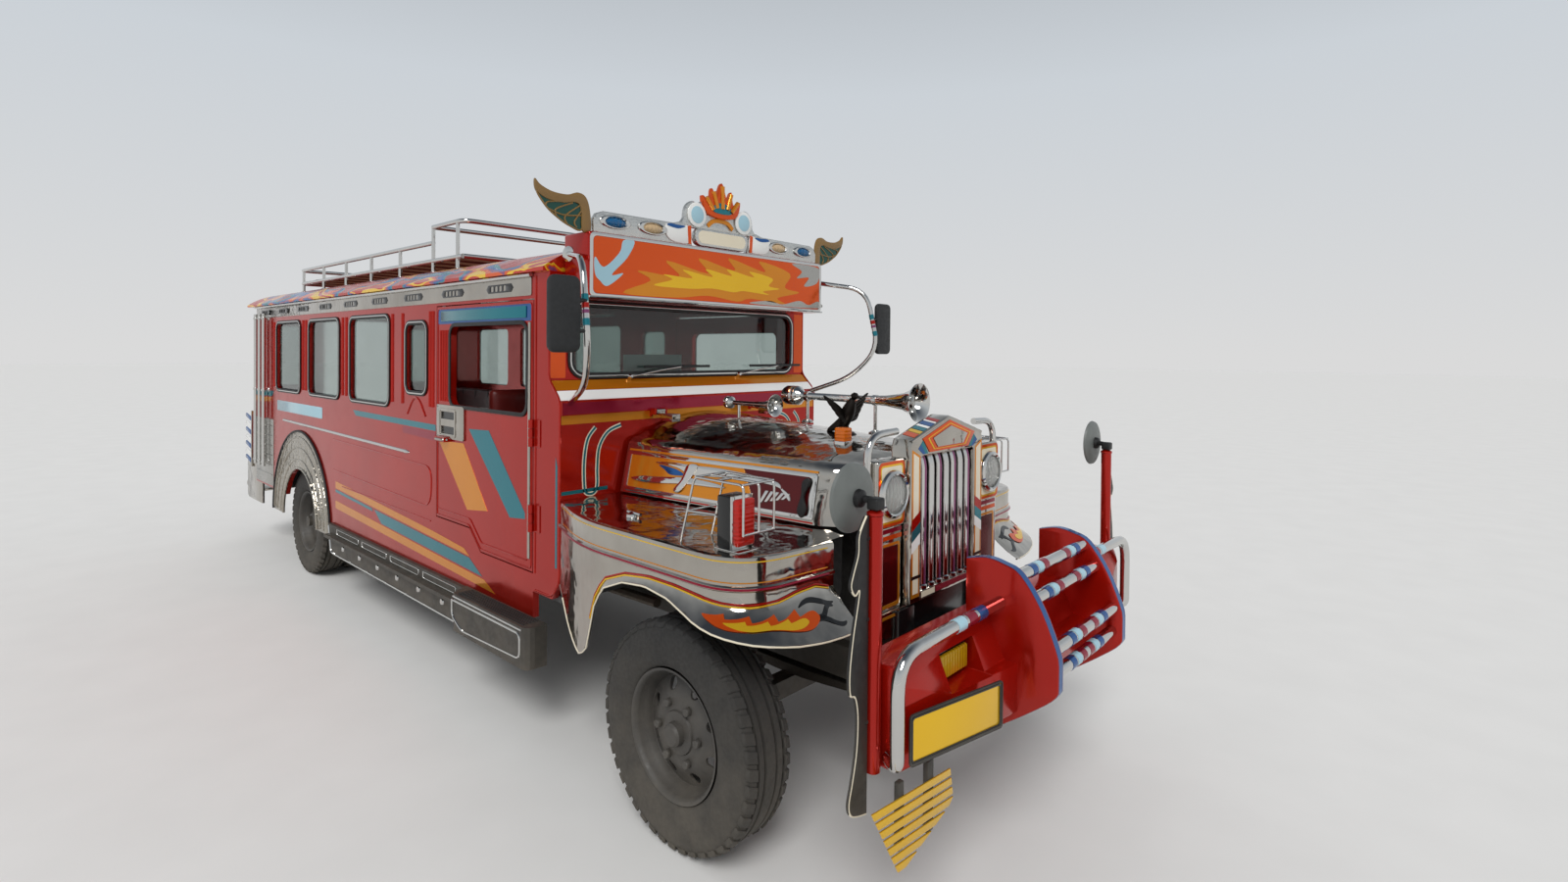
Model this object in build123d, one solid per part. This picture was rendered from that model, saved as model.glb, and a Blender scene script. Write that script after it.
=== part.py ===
from build123d import *
import math
import os

os.makedirs("parts", exist_ok=True)

# Frame: X forward, Y to the vehicle's left, Z up, millimetres, ground at z = 0.
# The stations below place the origin under the middle of the whole vehicle.

# Body shell
body_half = 840
wall = 30
inner_half = body_half - wall
body_rear_x = -3120
door_rear_x = 470
door_front_x = 1480
screen_x = 1610
cowl_front_x = 1700

# Chassis and running gear
rail_front_x = 3300
rail_rear_x = body_rear_x - 330
rail_in_y = 280
rail_out_y = 340
front_axle_x = 2570
rear_axle_x = -1900
axle_z = 390
tyre_width = 205
twin_tyre_width = 190
rim_radius = 225
front_tyre_mid_y = 848
kingpin_y = 680
twin_outer_mid_y = 705
twin_inner_mid_y = 490

# Levels
rail_low_z = 480
rail_top_z = 600
floor_top_z = 630
wall_low_z = 500
sill_z = 1370
window_top_z = 1890
eaves_z = 2046
crown_z = 2210
fender_top_z = 1055

# Front end
grille_back_x = 3000
grille_front_x = 3090
bumper_reach = 350
front_tip_x = rail_front_x + bumper_reach
step_reach = 480

# Clearances of moving pieces
door_gap = 6
bore_gap = 1

# Flat facets: sides of thin tubes, of rims and of the large rings, and steps in a rounded corner
tube_sides = 8
rim_sides = 24
tread_sides = 40
corner_steps = 3


# Corners rounded by a few steps along an arc; radius is one value, or a list with one per point
def rounded(points, radius, steps=corner_steps, closed=True):
    spots = [Vector(*point) for point in points]
    radii = radius if isinstance(radius, list) else [radius] * len(spots)
    out = []
    for n, corner in enumerate(spots):
        if radii[n] == 0 or (not closed and n in (0, len(spots) - 1)):
            out.append(corner)
            continue
        to_last = (spots[n - 1] - corner).normalized()
        to_next = (spots[(n + 1) % len(spots)] - corner).normalized()
        half_angle = math.radians(to_last.get_angle(to_next)) / 2
        set_back = radii[n] / math.tan(half_angle)
        start = corner + to_last * set_back
        end = corner + to_next * set_back
        for step in range(steps + 1):
            t = step / steps
            pull = 2 * t * (1 - t) * math.sin(half_angle)
            weight = (1 - t) ** 2 + pull + t**2
            out.append((start * (1 - t) ** 2 + corner * pull + end * t**2) * (1 / weight))
    return out


def outline(points, radius, steps=corner_steps):
    return make_face(Polyline(*rounded(points, radius, steps), close=True))


def side_plate(points, y0, y1, radius=0):
    return extrude(outline([(x, y0, z) for x, z in points], radius), amount=y1 - y0, dir=(0, 1, 0))


def front_plate(points, x0, x1, radius=0):
    return extrude(outline([(x0, y, z) for y, z in points], radius), amount=x1 - x0, dir=(1, 0, 0))


def plan_plate(points, z0, z1, radius=0):
    return extrude(outline([(x, y, z0) for x, y in points], radius), amount=z1 - z0, dir=(0, 0, 1))


def block(x0, x1, y0, y1, z0, z1):
    middle = Pos((x0 + x1) / 2, (y0 + y1) / 2, (z0 + z1) / 2)
    return middle * Box(abs(x1 - x0), abs(y1 - y0), abs(z1 - z0))


def box_points(a0, a1, b0, b1):
    return [(a0, b0), (a1, b0), (a1, b1), (a0, b1)]


# The same corners cut off at 45 degrees, for thin rubber sections
def cut_corners(points, cut):
    out = []
    for n, (px, pz) in enumerate(points):
        for qx, qz in (points[n - 1], points[(n + 1) % len(points)]):
            length = math.hypot(qx - px, qz - pz)
            out.append((px + (qx - px) * cut / length, pz + (qz - pz) * cut / length))
    return out


# Straight round bar, straight many-sided tube, and a tube with mitred bends
def pin(start, end, radius):
    run = Vector(*end) - Vector(*start)
    plane = Plane(origin=start, z_dir=run)
    return plane * Cylinder(radius, run.length, align=(Align.CENTER, Align.CENTER, Align.MIN))


def tube(start, end, radius, sides=tube_sides):
    run = Vector(*end) - Vector(*start)
    return extrude(Plane(origin=start, z_dir=run) * RegularPolygon(radius, sides), amount=run.length)


def bent_tube(points, radius, bend, sides=tube_sides):
    path = Polyline(*rounded(points, bend, 2, closed=False))
    section = Plane(origin=path @ 0, z_dir=path % 0) * RegularPolygon(radius, sides)
    return sweep(section, path=path, transition=Transition.RIGHT)


# A disc round the Y axis at an axle, round or with flat sides, one of them downwards
def disc(x, y0, y1, radius, sides=0):
    plane = Plane(origin=(x, min(y0, y1), axle_z), x_dir=(1, 0, 0), z_dir=(0, 1, 0))
    face = Circle(radius)
    if sides:
        face = RegularPolygon(radius, sides, major_radius=False, rotation=180 / sides)
    return extrude(plane * face, amount=abs(y1 - y0), dir=(0, 1, 0))


# An upright oval in a plane across the vehicle, with flat sides
def oval(x0, x1, y, z, half_width, half_height, lean=0, sides=20):
    plane = Plane(origin=(x0, y, z), x_dir=(0, 1, 0), z_dir=(1, 0, 0)) * Rot(0, 0, -lean)
    turns = [2 * math.pi * n / sides for n in range(sides)]
    edge = [(half_width * math.cos(turn), half_height * math.sin(turn)) for turn in turns]
    return extrude(plane * make_face(Polyline(*edge, close=True)), amount=x1 - x0)


def both(shape):
    return [shape, mirror(shape, about=Plane.XZ)]


def fuse(shapes):
    out = shapes[0]
    for shape in shapes[1:]:
        out = out + shape
    return out


def cut(shape, tools):
    for tool in tools:
        shape = shape - tool
    return shape


# A ruled loft through closed sections of the same number of points, each strip two flat triangles
def faceted(sections):
    faces = [make_face(Polyline(*ends, close=True)) for ends in (sections[0], sections[-1])]
    for near, far in zip(sections, sections[1:]):
        for n in range(len(near)):
            m = (n + 1) % len(near)
            faces.append(make_face(Polyline(near[n], near[m], far[m], close=True)))
            faces.append(make_face(Polyline(near[n], far[m], far[n], close=True)))
    return Solid(Shell(faces))


pieces = {}


def keep(name, shapes):
    solids = []
    for shape in shapes if isinstance(shapes, list) else [shapes]:
        solids.extend(shape.solids())
    pieces[name] = Compound(children=solids) if len(solids) > 1 else solids[0]


# Chassis: two straight rails with cross members
rails = both(block(rail_rear_x, rail_front_x, -rail_out_y, -rail_in_y, rail_low_z, rail_top_z))
cross_half = 30
cross_stations = [rail_rear_x + 50, -2550, -1150, -250, 700, 2090, 2700, rail_front_x - 60]
for x in cross_stations:
    rails.append(block(x - cross_half, x + cross_half, -rail_in_y, rail_in_y, rail_low_z + 20, rail_top_z))
keep("chassis_frame", fuse(rails))

# Beam axle at the front, with an eye for each kingpin
beam_top_z = axle_z + 30
beam_low_z = axle_z - 40
beam_half = 35
eye_radius = 38
eye_half = 45
pin_radius = 15
beam = block(front_axle_x - beam_half, front_axle_x + beam_half, -kingpin_y, kingpin_y, beam_low_z,
    beam_top_z)
for side in (-1, 1):
    at_pin = Pos(front_axle_x, side * kingpin_y, axle_z)
    eye = tube((front_axle_x, side * kingpin_y, axle_z - eye_half),
        (front_axle_x, side * kingpin_y, axle_z + eye_half),
        eye_radius, 16)
    beam = beam + eye
    beam = beam - at_pin * Cylinder(pin_radius + bore_gap, 4 * eye_half)
keep("front_axle", beam)

# Rear axle tube with its round drive housing
axle_tube_radius = 50
spindle_radius = 38
housing_radius = 150
housing_half = 110
spindle_end_y = twin_outer_mid_y + 85
tube_end_y = twin_inner_mid_y - twin_tyre_width / 2 - 20
rear_axle = disc(rear_axle_x, -tube_end_y, tube_end_y, axle_tube_radius, 12)
rear_axle = rear_axle + disc(rear_axle_x, -housing_half, housing_half, housing_radius, 20)
for side in (-1, 1):
    rear_axle = rear_axle + disc(rear_axle_x, side * (tube_end_y - 5), side * spindle_end_y, spindle_radius)
keep("rear_axle", rear_axle)

# Leaf springs: packs of leaves, thickest over the axle, curved up to both rail hangers
spring_table = [
    # axle station, seat height, half length
    (front_axle_x, beam_top_z, 560),
    (rear_axle_x, axle_z + axle_tube_radius, 640),
]
leaf_end = 14
pack_height = 36
seat_half = 70


def spring_pack(x, seat_z, reach):
    lower = ThreePointArc(
        (x - reach, -rail_in_y, rail_low_z - leaf_end),
        (x - reach / 2, -rail_in_y, seat_z + 0.35 * (rail_low_z - leaf_end - seat_z)),
        (x - seat_half, -rail_in_y, seat_z),
    )
    seat = Line(lower @ 1, (x + seat_half, -rail_in_y, seat_z))
    rise = mirror(lower, about=Plane.YZ.offset(x))
    hanger = Line(rise @ 0, (x + reach, -rail_in_y, rail_low_z))
    crown = ThreePointArc(hanger @ 1, (x, -rail_in_y, seat_z + pack_height),
        (x - reach, -rail_in_y, rail_low_z))
    close = Line(crown @ 1, lower @ 0)
    face = make_face([lower, seat, rise, hanger, crown, close])
    return extrude(face, amount=rail_out_y - rail_in_y, dir=(0, -1, 0))


springs = []
for x, seat_z, reach in spring_table:
    springs.extend(both(spring_pack(x, seat_z, reach)))
keep("leaf_springs", springs)

# Engine and gearbox as one plain block, drive shaft, exhaust and tank
gearbox_rear_x = 1250
gearbox_low_z = 430
engine = block(cowl_front_x + 100, front_axle_x + 190, -190, 190, rail_top_z, 1120)
engine = engine + block(gearbox_rear_x, cowl_front_x + 280, -130, 130, gearbox_low_z, rail_top_z)
keep("engine_block", engine)
shaft_rear = (rear_axle_x + housing_radius - 6, 0, axle_z + 12)
shaft = tube(shaft_rear, (gearbox_rear_x, 0, gearbox_low_z + 20), 25)
keep("drive_shaft", shaft - pieces["rear_axle"] - pieces["engine_block"])
muffler_y = -rail_out_y - 75
muffler_z = 500
pipe_radius = 24
tail_x = -1120
muffler = tube((-700, muffler_y, muffler_z), (0, muffler_y, muffler_z), 75, 16)
muffler = muffler + tube((-5, muffler_y, muffler_z), (1790, muffler_y + 30, muffler_z + 30), pipe_radius)
tail = [(-695, muffler_y, muffler_z), (-900, muffler_y, muffler_z), (tail_x, 80 - body_half, muffler_z - 120)]
keep("exhaust_pipe", muffler + bent_tube(tail, pipe_radius, 120))
tank_outline = box_points(rail_out_y, rail_out_y + 360, 400, rail_top_z - 10)
keep("fuel_tank", front_plate(tank_outline, -620, 330, 45))

# Floor with a raised aisle strip, and a box over each pair of rear wheels
house_half = 440
house_top_z = 870
house_in_y = twin_inner_mid_y - twin_tyre_width / 2 - 23
house_skin = 12
aisle_half = 325
aisle_front_x = door_rear_x + 90
aisle_rise = 4
floor = block(body_rear_x, cowl_front_x - wall, -inner_half, inner_half, rail_top_z, floor_top_z)
house_x0 = rear_axle_x - house_half
house_x1 = rear_axle_x + house_half
for side in (-1, 1):
    out_y = side * inner_half
    floor = floor + block(house_x0, house_x1, side * house_in_y, out_y, rail_top_z, house_top_z)
    hollow_in = side * (house_in_y + house_skin)
    hollow_top = house_top_z - house_skin
    floor = floor - block(house_x0 + house_skin, house_x1 - house_skin, hollow_in, out_y, rail_top_z,
        hollow_top)
aisle_rear_x = body_rear_x + wall + 5
aisle = block(aisle_rear_x, aisle_front_x, -aisle_half, aisle_half, floor_top_z, floor_top_z + aisle_rise)
keep("floor_pan", floor + aisle)

# Side walls: windows from one table, a wheel opening and a door opening
side_windows = [
    # label, rear edge, front edge, bottom, top
    ("rear window", -2510, -1910, sill_z, window_top_z),
    ("middle window", -1690, -1060, sill_z, window_top_z),
    ("front window", -840, -190, sill_z, window_top_z),
    ("narrow window", 70, 340, sill_z + 90, window_top_z - 50),
]
window_radius = 45
door_low_z = 800
door_drop_z = 700
door_top_z = 1930
door_step = [(door_rear_x + 390, door_low_z), (door_rear_x + 510, door_drop_z)]
arch_radius = axle_z + 10
wall_tuck_x = -1300
wall_points = [
    (body_rear_x, wall_low_z + 60),
    (wall_tuck_x, wall_low_z + 40),
    (wall_tuck_x, wall_low_z),
    (door_front_x, wall_low_z),
    (door_front_x, eaves_z),
    (body_rear_x, eaves_z),
]
side_wall = side_plate(wall_points, -body_half, -inner_half)
for label, x0, x1, z0, z1 in side_windows:
    side_wall = side_wall - side_plate(box_points(x0, x1, z0, z1), -body_half, -inner_half, window_radius)
door_opening = [(door_rear_x, door_low_z)] + door_step + [(door_front_x + 1, door_drop_z)]
door_opening = door_opening + [(door_front_x + 1, door_top_z), (door_rear_x, door_top_z)]
side_wall = side_wall - side_plate(door_opening, -body_half, -inner_half)
side_wall = side_wall - disc(rear_axle_x, -body_half, -inner_half, arch_radius, tread_sides)
keep("side_wall_right", side_wall)
keep("side_wall_left", mirror(side_wall, about=Plane.XZ))

# Cowl with the windscreen frame: one bent panel across the front and two side returns
slope_rise = 90
ledge_z = 1480
cowl_foot_z = 620
cowl_profile = [
    (door_front_x, cowl_foot_z),
    (cowl_front_x - 60, cowl_foot_z),
    (cowl_front_x, cowl_foot_z + 80),
    (cowl_front_x, ledge_z),
    (screen_x, ledge_z + slope_rise),
    (screen_x, eaves_z),
    (door_front_x, eaves_z),
]
cowl_hollow = [
    (door_front_x, cowl_foot_z),
    (cowl_front_x - wall, cowl_foot_z),
    (cowl_front_x - wall, ledge_z - 13),
    (screen_x - wall, ledge_z + slope_rise - 13),
    (screen_x - wall, eaves_z),
    (door_front_x, eaves_z),
]
screen_half = body_half - 110
screen_low_z = 1592
screen_top_z = 1905
screen_radius = 60
cowl = side_plate(cowl_profile, -body_half, body_half)
cowl = cowl - side_plate(cowl_hollow, -inner_half, inner_half)
screen_points = box_points(-screen_half, screen_half, screen_low_z, screen_top_z)
cowl = cowl - front_plate(screen_points, screen_x - wall, screen_x, screen_radius)
ledge_reach = 12
cowl = cowl + block(cowl_front_x, cowl_front_x + ledge_reach, -body_half, body_half, ledge_z - 60, ledge_z)

# Door hinges: two barrels on the cowl with a pin through them, one barrel on the door between
hinge_y = -(body_half + 14)
hinge_radius = 12
hinge_pin = 6
hinge_levels = [950, 1330]
leaf = 4
leaf_half = 60
barrel_half = 22
barrel_gap = 3
door_leaves = []
leaf_y = -body_half - leaf
for z in hinge_levels:
    at_hinge = Pos(door_front_x, hinge_y, z)
    slot_low = z - barrel_half
    slot_high = z + barrel_half
    fixed = block(door_front_x, door_front_x + leaf_half, leaf_y, -body_half, z - leaf_half, z + leaf_half)
    fixed = fixed + tube((door_front_x, hinge_y, z - leaf_half), (door_front_x, hinge_y, z + leaf_half),
        hinge_radius)
    slot_front = door_front_x + hinge_radius + barrel_gap
    fixed = fixed - block(door_front_x - leaf_half, slot_front, hinge_y - leaf_half, -body_half, slot_low,
        slot_high)
    for half in both(fixed + at_hinge * Cylinder(hinge_pin, 2 * leaf_half)):
        cowl = cowl + half
    slot_low = slot_low + barrel_gap
    slot_high = slot_high - barrel_gap
    door_leaf = block(door_front_x - leaf_half - door_gap, door_front_x - 16, leaf_y, -body_half,
        z - leaf_half,
        z + leaf_half)
    door_leaf = door_leaf + block(door_front_x - 20, door_front_x, leaf_y, -body_half, slot_low, slot_high)
    door_leaf = door_leaf + tube((door_front_x, hinge_y, slot_low), (door_front_x, hinge_y, slot_high),
        hinge_radius)
    door_leaves.append(door_leaf - at_hinge * Cylinder(hinge_pin + bore_gap, 2 * leaf_half))

# Doors fill their openings with an even gap
door_window = (door_rear_x + 170, door_front_x - 60, sill_z + 40, window_top_z - 70)
door_shape = [
    (door_rear_x + door_gap, door_low_z + door_gap),
    (door_step[0][0] + 0.6 * door_gap, door_low_z + door_gap),
    (door_step[1][0] + 0.6 * door_gap, door_drop_z + door_gap),
    (door_front_x - door_gap, door_drop_z + door_gap),
    (door_front_x - door_gap, door_top_z - door_gap),
    (door_rear_x + door_gap, door_top_z - door_gap),
]
door = side_plate(door_shape, -body_half, -inner_half)
door = door - side_plate(box_points(*door_window), -body_half, -inner_half, window_radius)
door = fuse([door] + door_leaves)
handle_z = 1215
door = door + block(door_rear_x + 40, door_rear_x + 160, -body_half - 30, -body_half, handle_z, handle_z + 25)
keep("door_right", door)
keep("door_left", mirror(door, about=Plane.XZ))


# Roof: a flat crown arc between two tighter shoulder arcs, over an upright drip lip
eave_half = body_half + 28
lip_rise = 16
shoulder_in = 220
shoulder_drop = 45
roof_skin = 21
roof_rear_x = body_rear_x - 180
roof_front_x = screen_x - 10


def roof_section(x, half, base_z, lip, knee_y, knee_z, inset):
    shoulder_y = body_half - shoulder_in - inset / 2
    shoulder_z = crown_z - shoulder_drop - inset
    edges = [Line((x, -half, base_z), (x, half, base_z)), Line((x, half, base_z), (x, half, base_z + lip))]
    edges.append(ThreePointArc(edges[-1] @ 1, (x, knee_y, knee_z), (x, shoulder_y, shoulder_z)))
    edges.append(ThreePointArc(edges[-1] @ 1, (x, 0, crown_z - inset), (x, -shoulder_y, shoulder_z)))
    edges.append(ThreePointArc(edges[-1] @ 1, (x, -knee_y, knee_z), (x, -half, base_z + lip)))
    edges.append(Line(edges[-1] @ 1, edges[0] @ 0))
    return make_face(edges)


def roof_solid(x0, x1, section):
    return extrude(roof_section(x0, *section), amount=x1 - x0, dir=(1, 0, 0))


outer_roof = (eave_half, eaves_z, lip_rise, body_half - 70, eaves_z + 78, 0)
inner_roof = (inner_half, eaves_z, lip_rise - 6, inner_half - 60, eaves_z + 58, roof_skin)
full_roof = roof_solid(roof_rear_x, roof_front_x, outer_roof)
roof_hollow = roof_solid(roof_rear_x + roof_skin, roof_front_x - roof_skin, inner_roof)
keep("roof_shell", full_roof - roof_hollow)

# Rear wall with an open doorway, and a pane each side of it
doorway_half = 330
doorway_top_z = 1950
pane_inset = 70
rear_wall = block(body_rear_x, body_rear_x + wall, -inner_half, inner_half, floor_top_z, eaves_z)
rear_wall = rear_wall - block(body_rear_x, body_rear_x + wall, -doorway_half, doorway_half, floor_top_z,
    doorway_top_z)
rear_pane = box_points(doorway_half + pane_inset + 10, inner_half - pane_inset, sill_z, window_top_z)
rear_wall = cut(rear_wall, both(front_plate(rear_pane, body_rear_x, body_rear_x + wall, window_radius)))
keep("rear_wall", rear_wall)

# Panes of glass in the middle of each wall, and the black rubber that frames each opening
seal_width = 22
seal_lap = 8
pane_half = 3
seal_cut = window_radius - 5
middle_y = -(body_half + inner_half) / 2
panes = []
seals = []
for label, x0, x1, z0, z1 in side_windows:
    panes.extend(both(side_plate(box_points(x0, x1, z0, z1), middle_y - pane_half, middle_y + pane_half,
        window_radius)))
    wide = box_points(x0 - seal_width, x1 + seal_width, z0 - seal_width, z1 + seal_width)
    tight = box_points(x0 + seal_lap, x1 - seal_lap, z0 + seal_lap, z1 - seal_lap)
    frame = side_plate(cut_corners(wide, seal_cut), -body_half - seal_lap, -body_half)
    frame = frame - side_plate(cut_corners(tight, seal_cut), -body_half - seal_lap, -body_half)
    seals.extend(both(frame))
glass_x = screen_x - wall / 2
panes.append(front_plate(screen_points, glass_x - pane_half, glass_x + pane_half, screen_radius))
rear_glass_x = body_rear_x + wall / 2
panes.extend(both(front_plate(rear_pane, rear_glass_x - pane_half, rear_glass_x + pane_half, window_radius)))
wide = box_points(-screen_half - seal_width, screen_half + seal_width, screen_low_z - 18, screen_top_z + 18)
tight = box_points(-screen_half + seal_lap, screen_half - seal_lap, screen_low_z + seal_lap,
    screen_top_z - seal_lap)
frame = front_plate(cut_corners(wide, seal_cut), screen_x, screen_x + seal_lap)
seals.append(frame - front_plate(cut_corners(tight, seal_cut), screen_x, screen_x + seal_lap))
keep("glazing", panes)
keep("window_seals", seals)

# Benches along both sides, with padded seats and backs, and two front seats
bench_x0 = body_rear_x + 160
bench_x1 = door_rear_x - 210
bench_width = 380
bench_in_y = inner_half - bench_width
bench_top_z = 960
bench_sheet = 25
cushion_height = 80
cushion_width = 295
back_width = 65
pad_gap = 5
pad_count = 3
benches = []
pads = []
for side in (-1, 1):
    in_y = side * bench_in_y
    top = block(bench_x0, bench_x1, in_y, side * inner_half, bench_top_z - bench_sheet, bench_top_z)
    front = block(bench_x0, bench_x1, in_y, side * (bench_in_y + 20), floor_top_z, bench_top_z - bench_sheet)
    front = front - block(house_x0, house_x1, side * house_in_y, side * inner_half, floor_top_z, house_top_z)
    benches.append(top + front)
    for n in range(pad_count):
        pad_length = (bench_x1 - bench_x0 - 20) / pad_count
        x0 = bench_x0 + 10 + n * pad_length + pad_gap
        x1 = x0 + pad_length - 2 * pad_gap
        pads.append(block(x0, x1, in_y, side * (bench_in_y + cushion_width), bench_top_z,
            bench_top_z + cushion_height))
        pads.append(block(x0, x1, side * (inner_half - back_width), side * inner_half, bench_top_z,
            sill_z - 30))
seat_x0 = door_rear_x + 250
seat_length = 460
seat_half = 230
seat_mid_y = inner_half - 380
seat_low_z = 900
seat_back = 90
seat_height = 110
back_top_z = 1500
seat_frames = []
for y in (-seat_mid_y, seat_mid_y):
    x1 = seat_x0 + seat_length
    seat_frames.append(block(seat_x0 + 30, x1 - 30, y - seat_half + 40, y + seat_half - 40, floor_top_z,
        seat_low_z))
    pads.append(block(seat_x0, x1, y - seat_half, y + seat_half, seat_low_z, seat_low_z + seat_height))
    pads.append(block(seat_x0 - seat_back, seat_x0 - 0.3, y - seat_half, y + seat_half, seat_low_z,
        back_top_z))
keep("seat_frames", benches + seat_frames)
keep("seat_cushions", pads)

# Dashboard as one shaped panel, with the steering column and wheel on the left
dash_rear_x = door_front_x + 20
dash_low_z = 1180
dash_top_z = 1390
dash_front_x = cowl_front_x - wall
dash_points = [(dash_rear_x, dash_low_z + 30), (dash_rear_x + 40, dash_low_z), (dash_front_x, dash_low_z)]
dash_points = dash_points + [(dash_front_x, dash_top_z), (dash_rear_x + 30, dash_top_z),
    (dash_rear_x, dash_top_z - 50)]
keep("dashboard", side_plate(dash_points, -inner_half, inner_half, [10, 10, 0, 0, 25, 25]))
driver_y = seat_mid_y
column_z = 1300
wheel_x = dash_rear_x - 210
wheel_z = 1400
hand_radius = 195
grip_radius = 13
column = tube((dash_rear_x, driver_y, column_z), (wheel_x, driver_y, wheel_z), 22)
column = column - block(dash_rear_x, dash_rear_x + 60, driver_y - 60, driver_y + 60, dash_low_z, dash_top_z)
tilt = math.degrees(math.atan2(dash_rear_x - wheel_x, wheel_z - column_z))
at_wheel = Pos(wheel_x, driver_y, wheel_z) * Rot(0, -tilt, 0)
grip_face = RegularPolygon(hand_radius + grip_radius, 20) - RegularPolygon(hand_radius - grip_radius, 20)
grip = extrude(grip_face, amount=grip_radius, both=True)
grip = chamfer(grip.edges().filter_by(Axis.Z, reverse=True), 0.6 * grip_radius)
spokes = Box(24, 2 * hand_radius - grip_radius, 12) + Box(2 * hand_radius - grip_radius, 24, 12)
keep("steering_wheel", column + at_wheel * (grip + spokes + extrude(RegularPolygon(38, 12), amount=15,
    both=True)))

# Bonnet: upright sides, rolled shoulders and a low crown, narrowing and sinking to the grille.
# Its front lower edge is cut back so that it swings up clear of the grille.
bonnet_low_z = fender_top_z + 7
bonnet_rear_x = cowl_front_x + 22
bonnet_front_x = grille_back_x - 15
bonnet_skin = 14
shoulder_roll = 58
bonnet_stations = [
    # station, half width at the bottom, half width at the shoulder, shoulder height, crown height
    (bonnet_rear_x, 545, 505, 1300, 1398),
    (grille_back_x - 200, 445, 405, 1284, 1340),
    (bonnet_front_x, 330, 295, 1272, 1322),
]


def bonnet_section(x, half_low, half_top, shoulder, crown, inset):
    low = bonnet_low_z - (1 if inset else 0)
    side_y = half_top - inset
    turn_y = side_y - shoulder_roll + inset / 3
    edge = [
        (half_low - inset, low),
        (side_y, shoulder - 45),
        (side_y - 0.3 * shoulder_roll, shoulder - 9 - 0.7 * inset),
        (turn_y, shoulder + 7 - inset),
        (0.5 * turn_y, shoulder + 7 + 0.75 * (crown - shoulder - 7) - inset),
        (0, crown - inset),
    ]
    other = [(-y, z) for y, z in reversed(edge[:-1])]
    return [Vector(x, y, z) for y, z in edge + other]


def bonnet_solid(inset):
    return faceted([bonnet_section(*station, inset) for station in bonnet_stations])


hood_core = bonnet_solid(0)
bonnet = hood_core - bonnet_solid(bonnet_skin)
swing_cut = [
    (bonnet_front_x - 55, bonnet_low_z - 22),
    (bonnet_front_x - 45, bonnet_low_z),
    (bonnet_front_x - 7, bonnet_low_z + 178),
    (bonnet_front_x, bonnet_low_z + 268),
    (bonnet_front_x, bonnet_low_z + 400),
    (bonnet_front_x + 100, bonnet_low_z + 400),
    (bonnet_front_x + 100, bonnet_low_z - 22),
]
bonnet = bonnet - side_plate(swing_cut, -600, 600)

# Bonnet hinges: a strap and an eye on the bonnet, and two ears with a pin on the cowl's ledge
hinge_x = cowl_front_x + 34
hinge_z = ledge_z - 62
strap_half = 25
ear_gap = 2
ear = 10
bonnet_hinges = [-330, 330]
ears = []
for y in bonnet_hinges:
    y0 = y - strap_half
    y1 = y + strap_half
    strap = block(hinge_x - 6, hinge_x + 130, y0, y1, hinge_z - 22, hinge_z - 12)
    strap = strap + tube((hinge_x, y0, hinge_z), (hinge_x, y1, hinge_z), ear)
    strap = strap + block(hinge_x - ear, hinge_x + ear, y0, y1, hinge_z - 22, hinge_z)
    strap = strap + block(hinge_x + 20, hinge_x + 130, y0, y1, hinge_z - 78, hinge_z - 18)
    bonnet = bonnet + (strap - pin((hinge_x, y0 - ear, hinge_z), (hinge_x, y1 + ear, hinge_z), 5))
    for near, far in ((y0 - ear_gap - ear, y0 - ear_gap), (y1 + ear_gap, y1 + ear_gap + ear)):
        ears.append(block(cowl_front_x + ledge_reach, hinge_x + 8, near, far, ledge_z - 80, ledge_z - 50))
        ears.append(block(cowl_front_x, cowl_front_x + ledge_reach + 1, near, far, ledge_z - 90,
            ledge_z - 60))
    ends = strap_half + ear_gap + ear
    ears.append(pin((hinge_x, y - ends, hinge_z), (hinge_x, y + ends, hinge_z), 4))
keep("bonnet", bonnet)
keep("cowl", fuse([cowl] + ears))

# Trumpet horn on two posts, winged figure, and marker lamps, all standing on the bonnet
horn_y = 200
horn_z = 1488
horn_x0 = bonnet_rear_x + 338
bell_x = bonnet_rear_x + 958
bell_length = 150
bell_radius = 84
horn = tube((horn_x0 + 50, horn_y, horn_z), (bell_x, horn_y, horn_z), 16)
bell_plane = Plane(origin=(bell_x, horn_y, horn_z), x_dir=(0, 1, 0), z_dir=(1, 0, 0))
bell_steps = [(0, 17), (0.7 * bell_length, 38), (bell_length, bell_radius)]
bell_rings = [bell_plane.offset(step) * RegularPolygon(radius, 16) for step, radius in bell_steps]
horn = horn + loft(bell_rings, ruled=True)
horn = horn + tube((horn_x0, horn_y, horn_z), (horn_x0 + 75, horn_y, horn_z), 46, 12)
for x in (horn_x0 + 140, horn_x0 + 540):
    horn = horn + tube((x, horn_y, horn_z - 190), (x, horn_y, horn_z), 12)
figure_x = bonnet_rear_x + 868
figure_z = 1350
figure_body = [(-45, 0), (-38, 60), (-10, 102), (22, 118), (50, 150), (84, 158), (100, 140), (76, 126),
    (60, 88), (38, 0)]
figure_wing = [(0, 90), (50, 122), (95, 150), (150, 152), (128, 122), (100, 98), (60, 72), (0, 66)]
figure = side_plate([(figure_x + x, figure_z + z) for x, z in figure_body], -14, 14)
for side in (-1, 1):
    wing = [(side * y, figure_z + z) for y, z in figure_wing]
    figure = figure + front_plate(wing, figure_x - 10, figure_x + 14)
figure = figure + block(figure_x - 40, figure_x + 40, -30, 30, figure_z - 60, figure_z + 10)
keep("bonnet_ornaments", [horn - hood_core, figure - hood_core])
marker_half = 28
marker_spots = [(bonnet_front_x - 285, -165, 1340), (bonnet_front_x - 50, 262, 1330)]
markers = []
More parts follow.
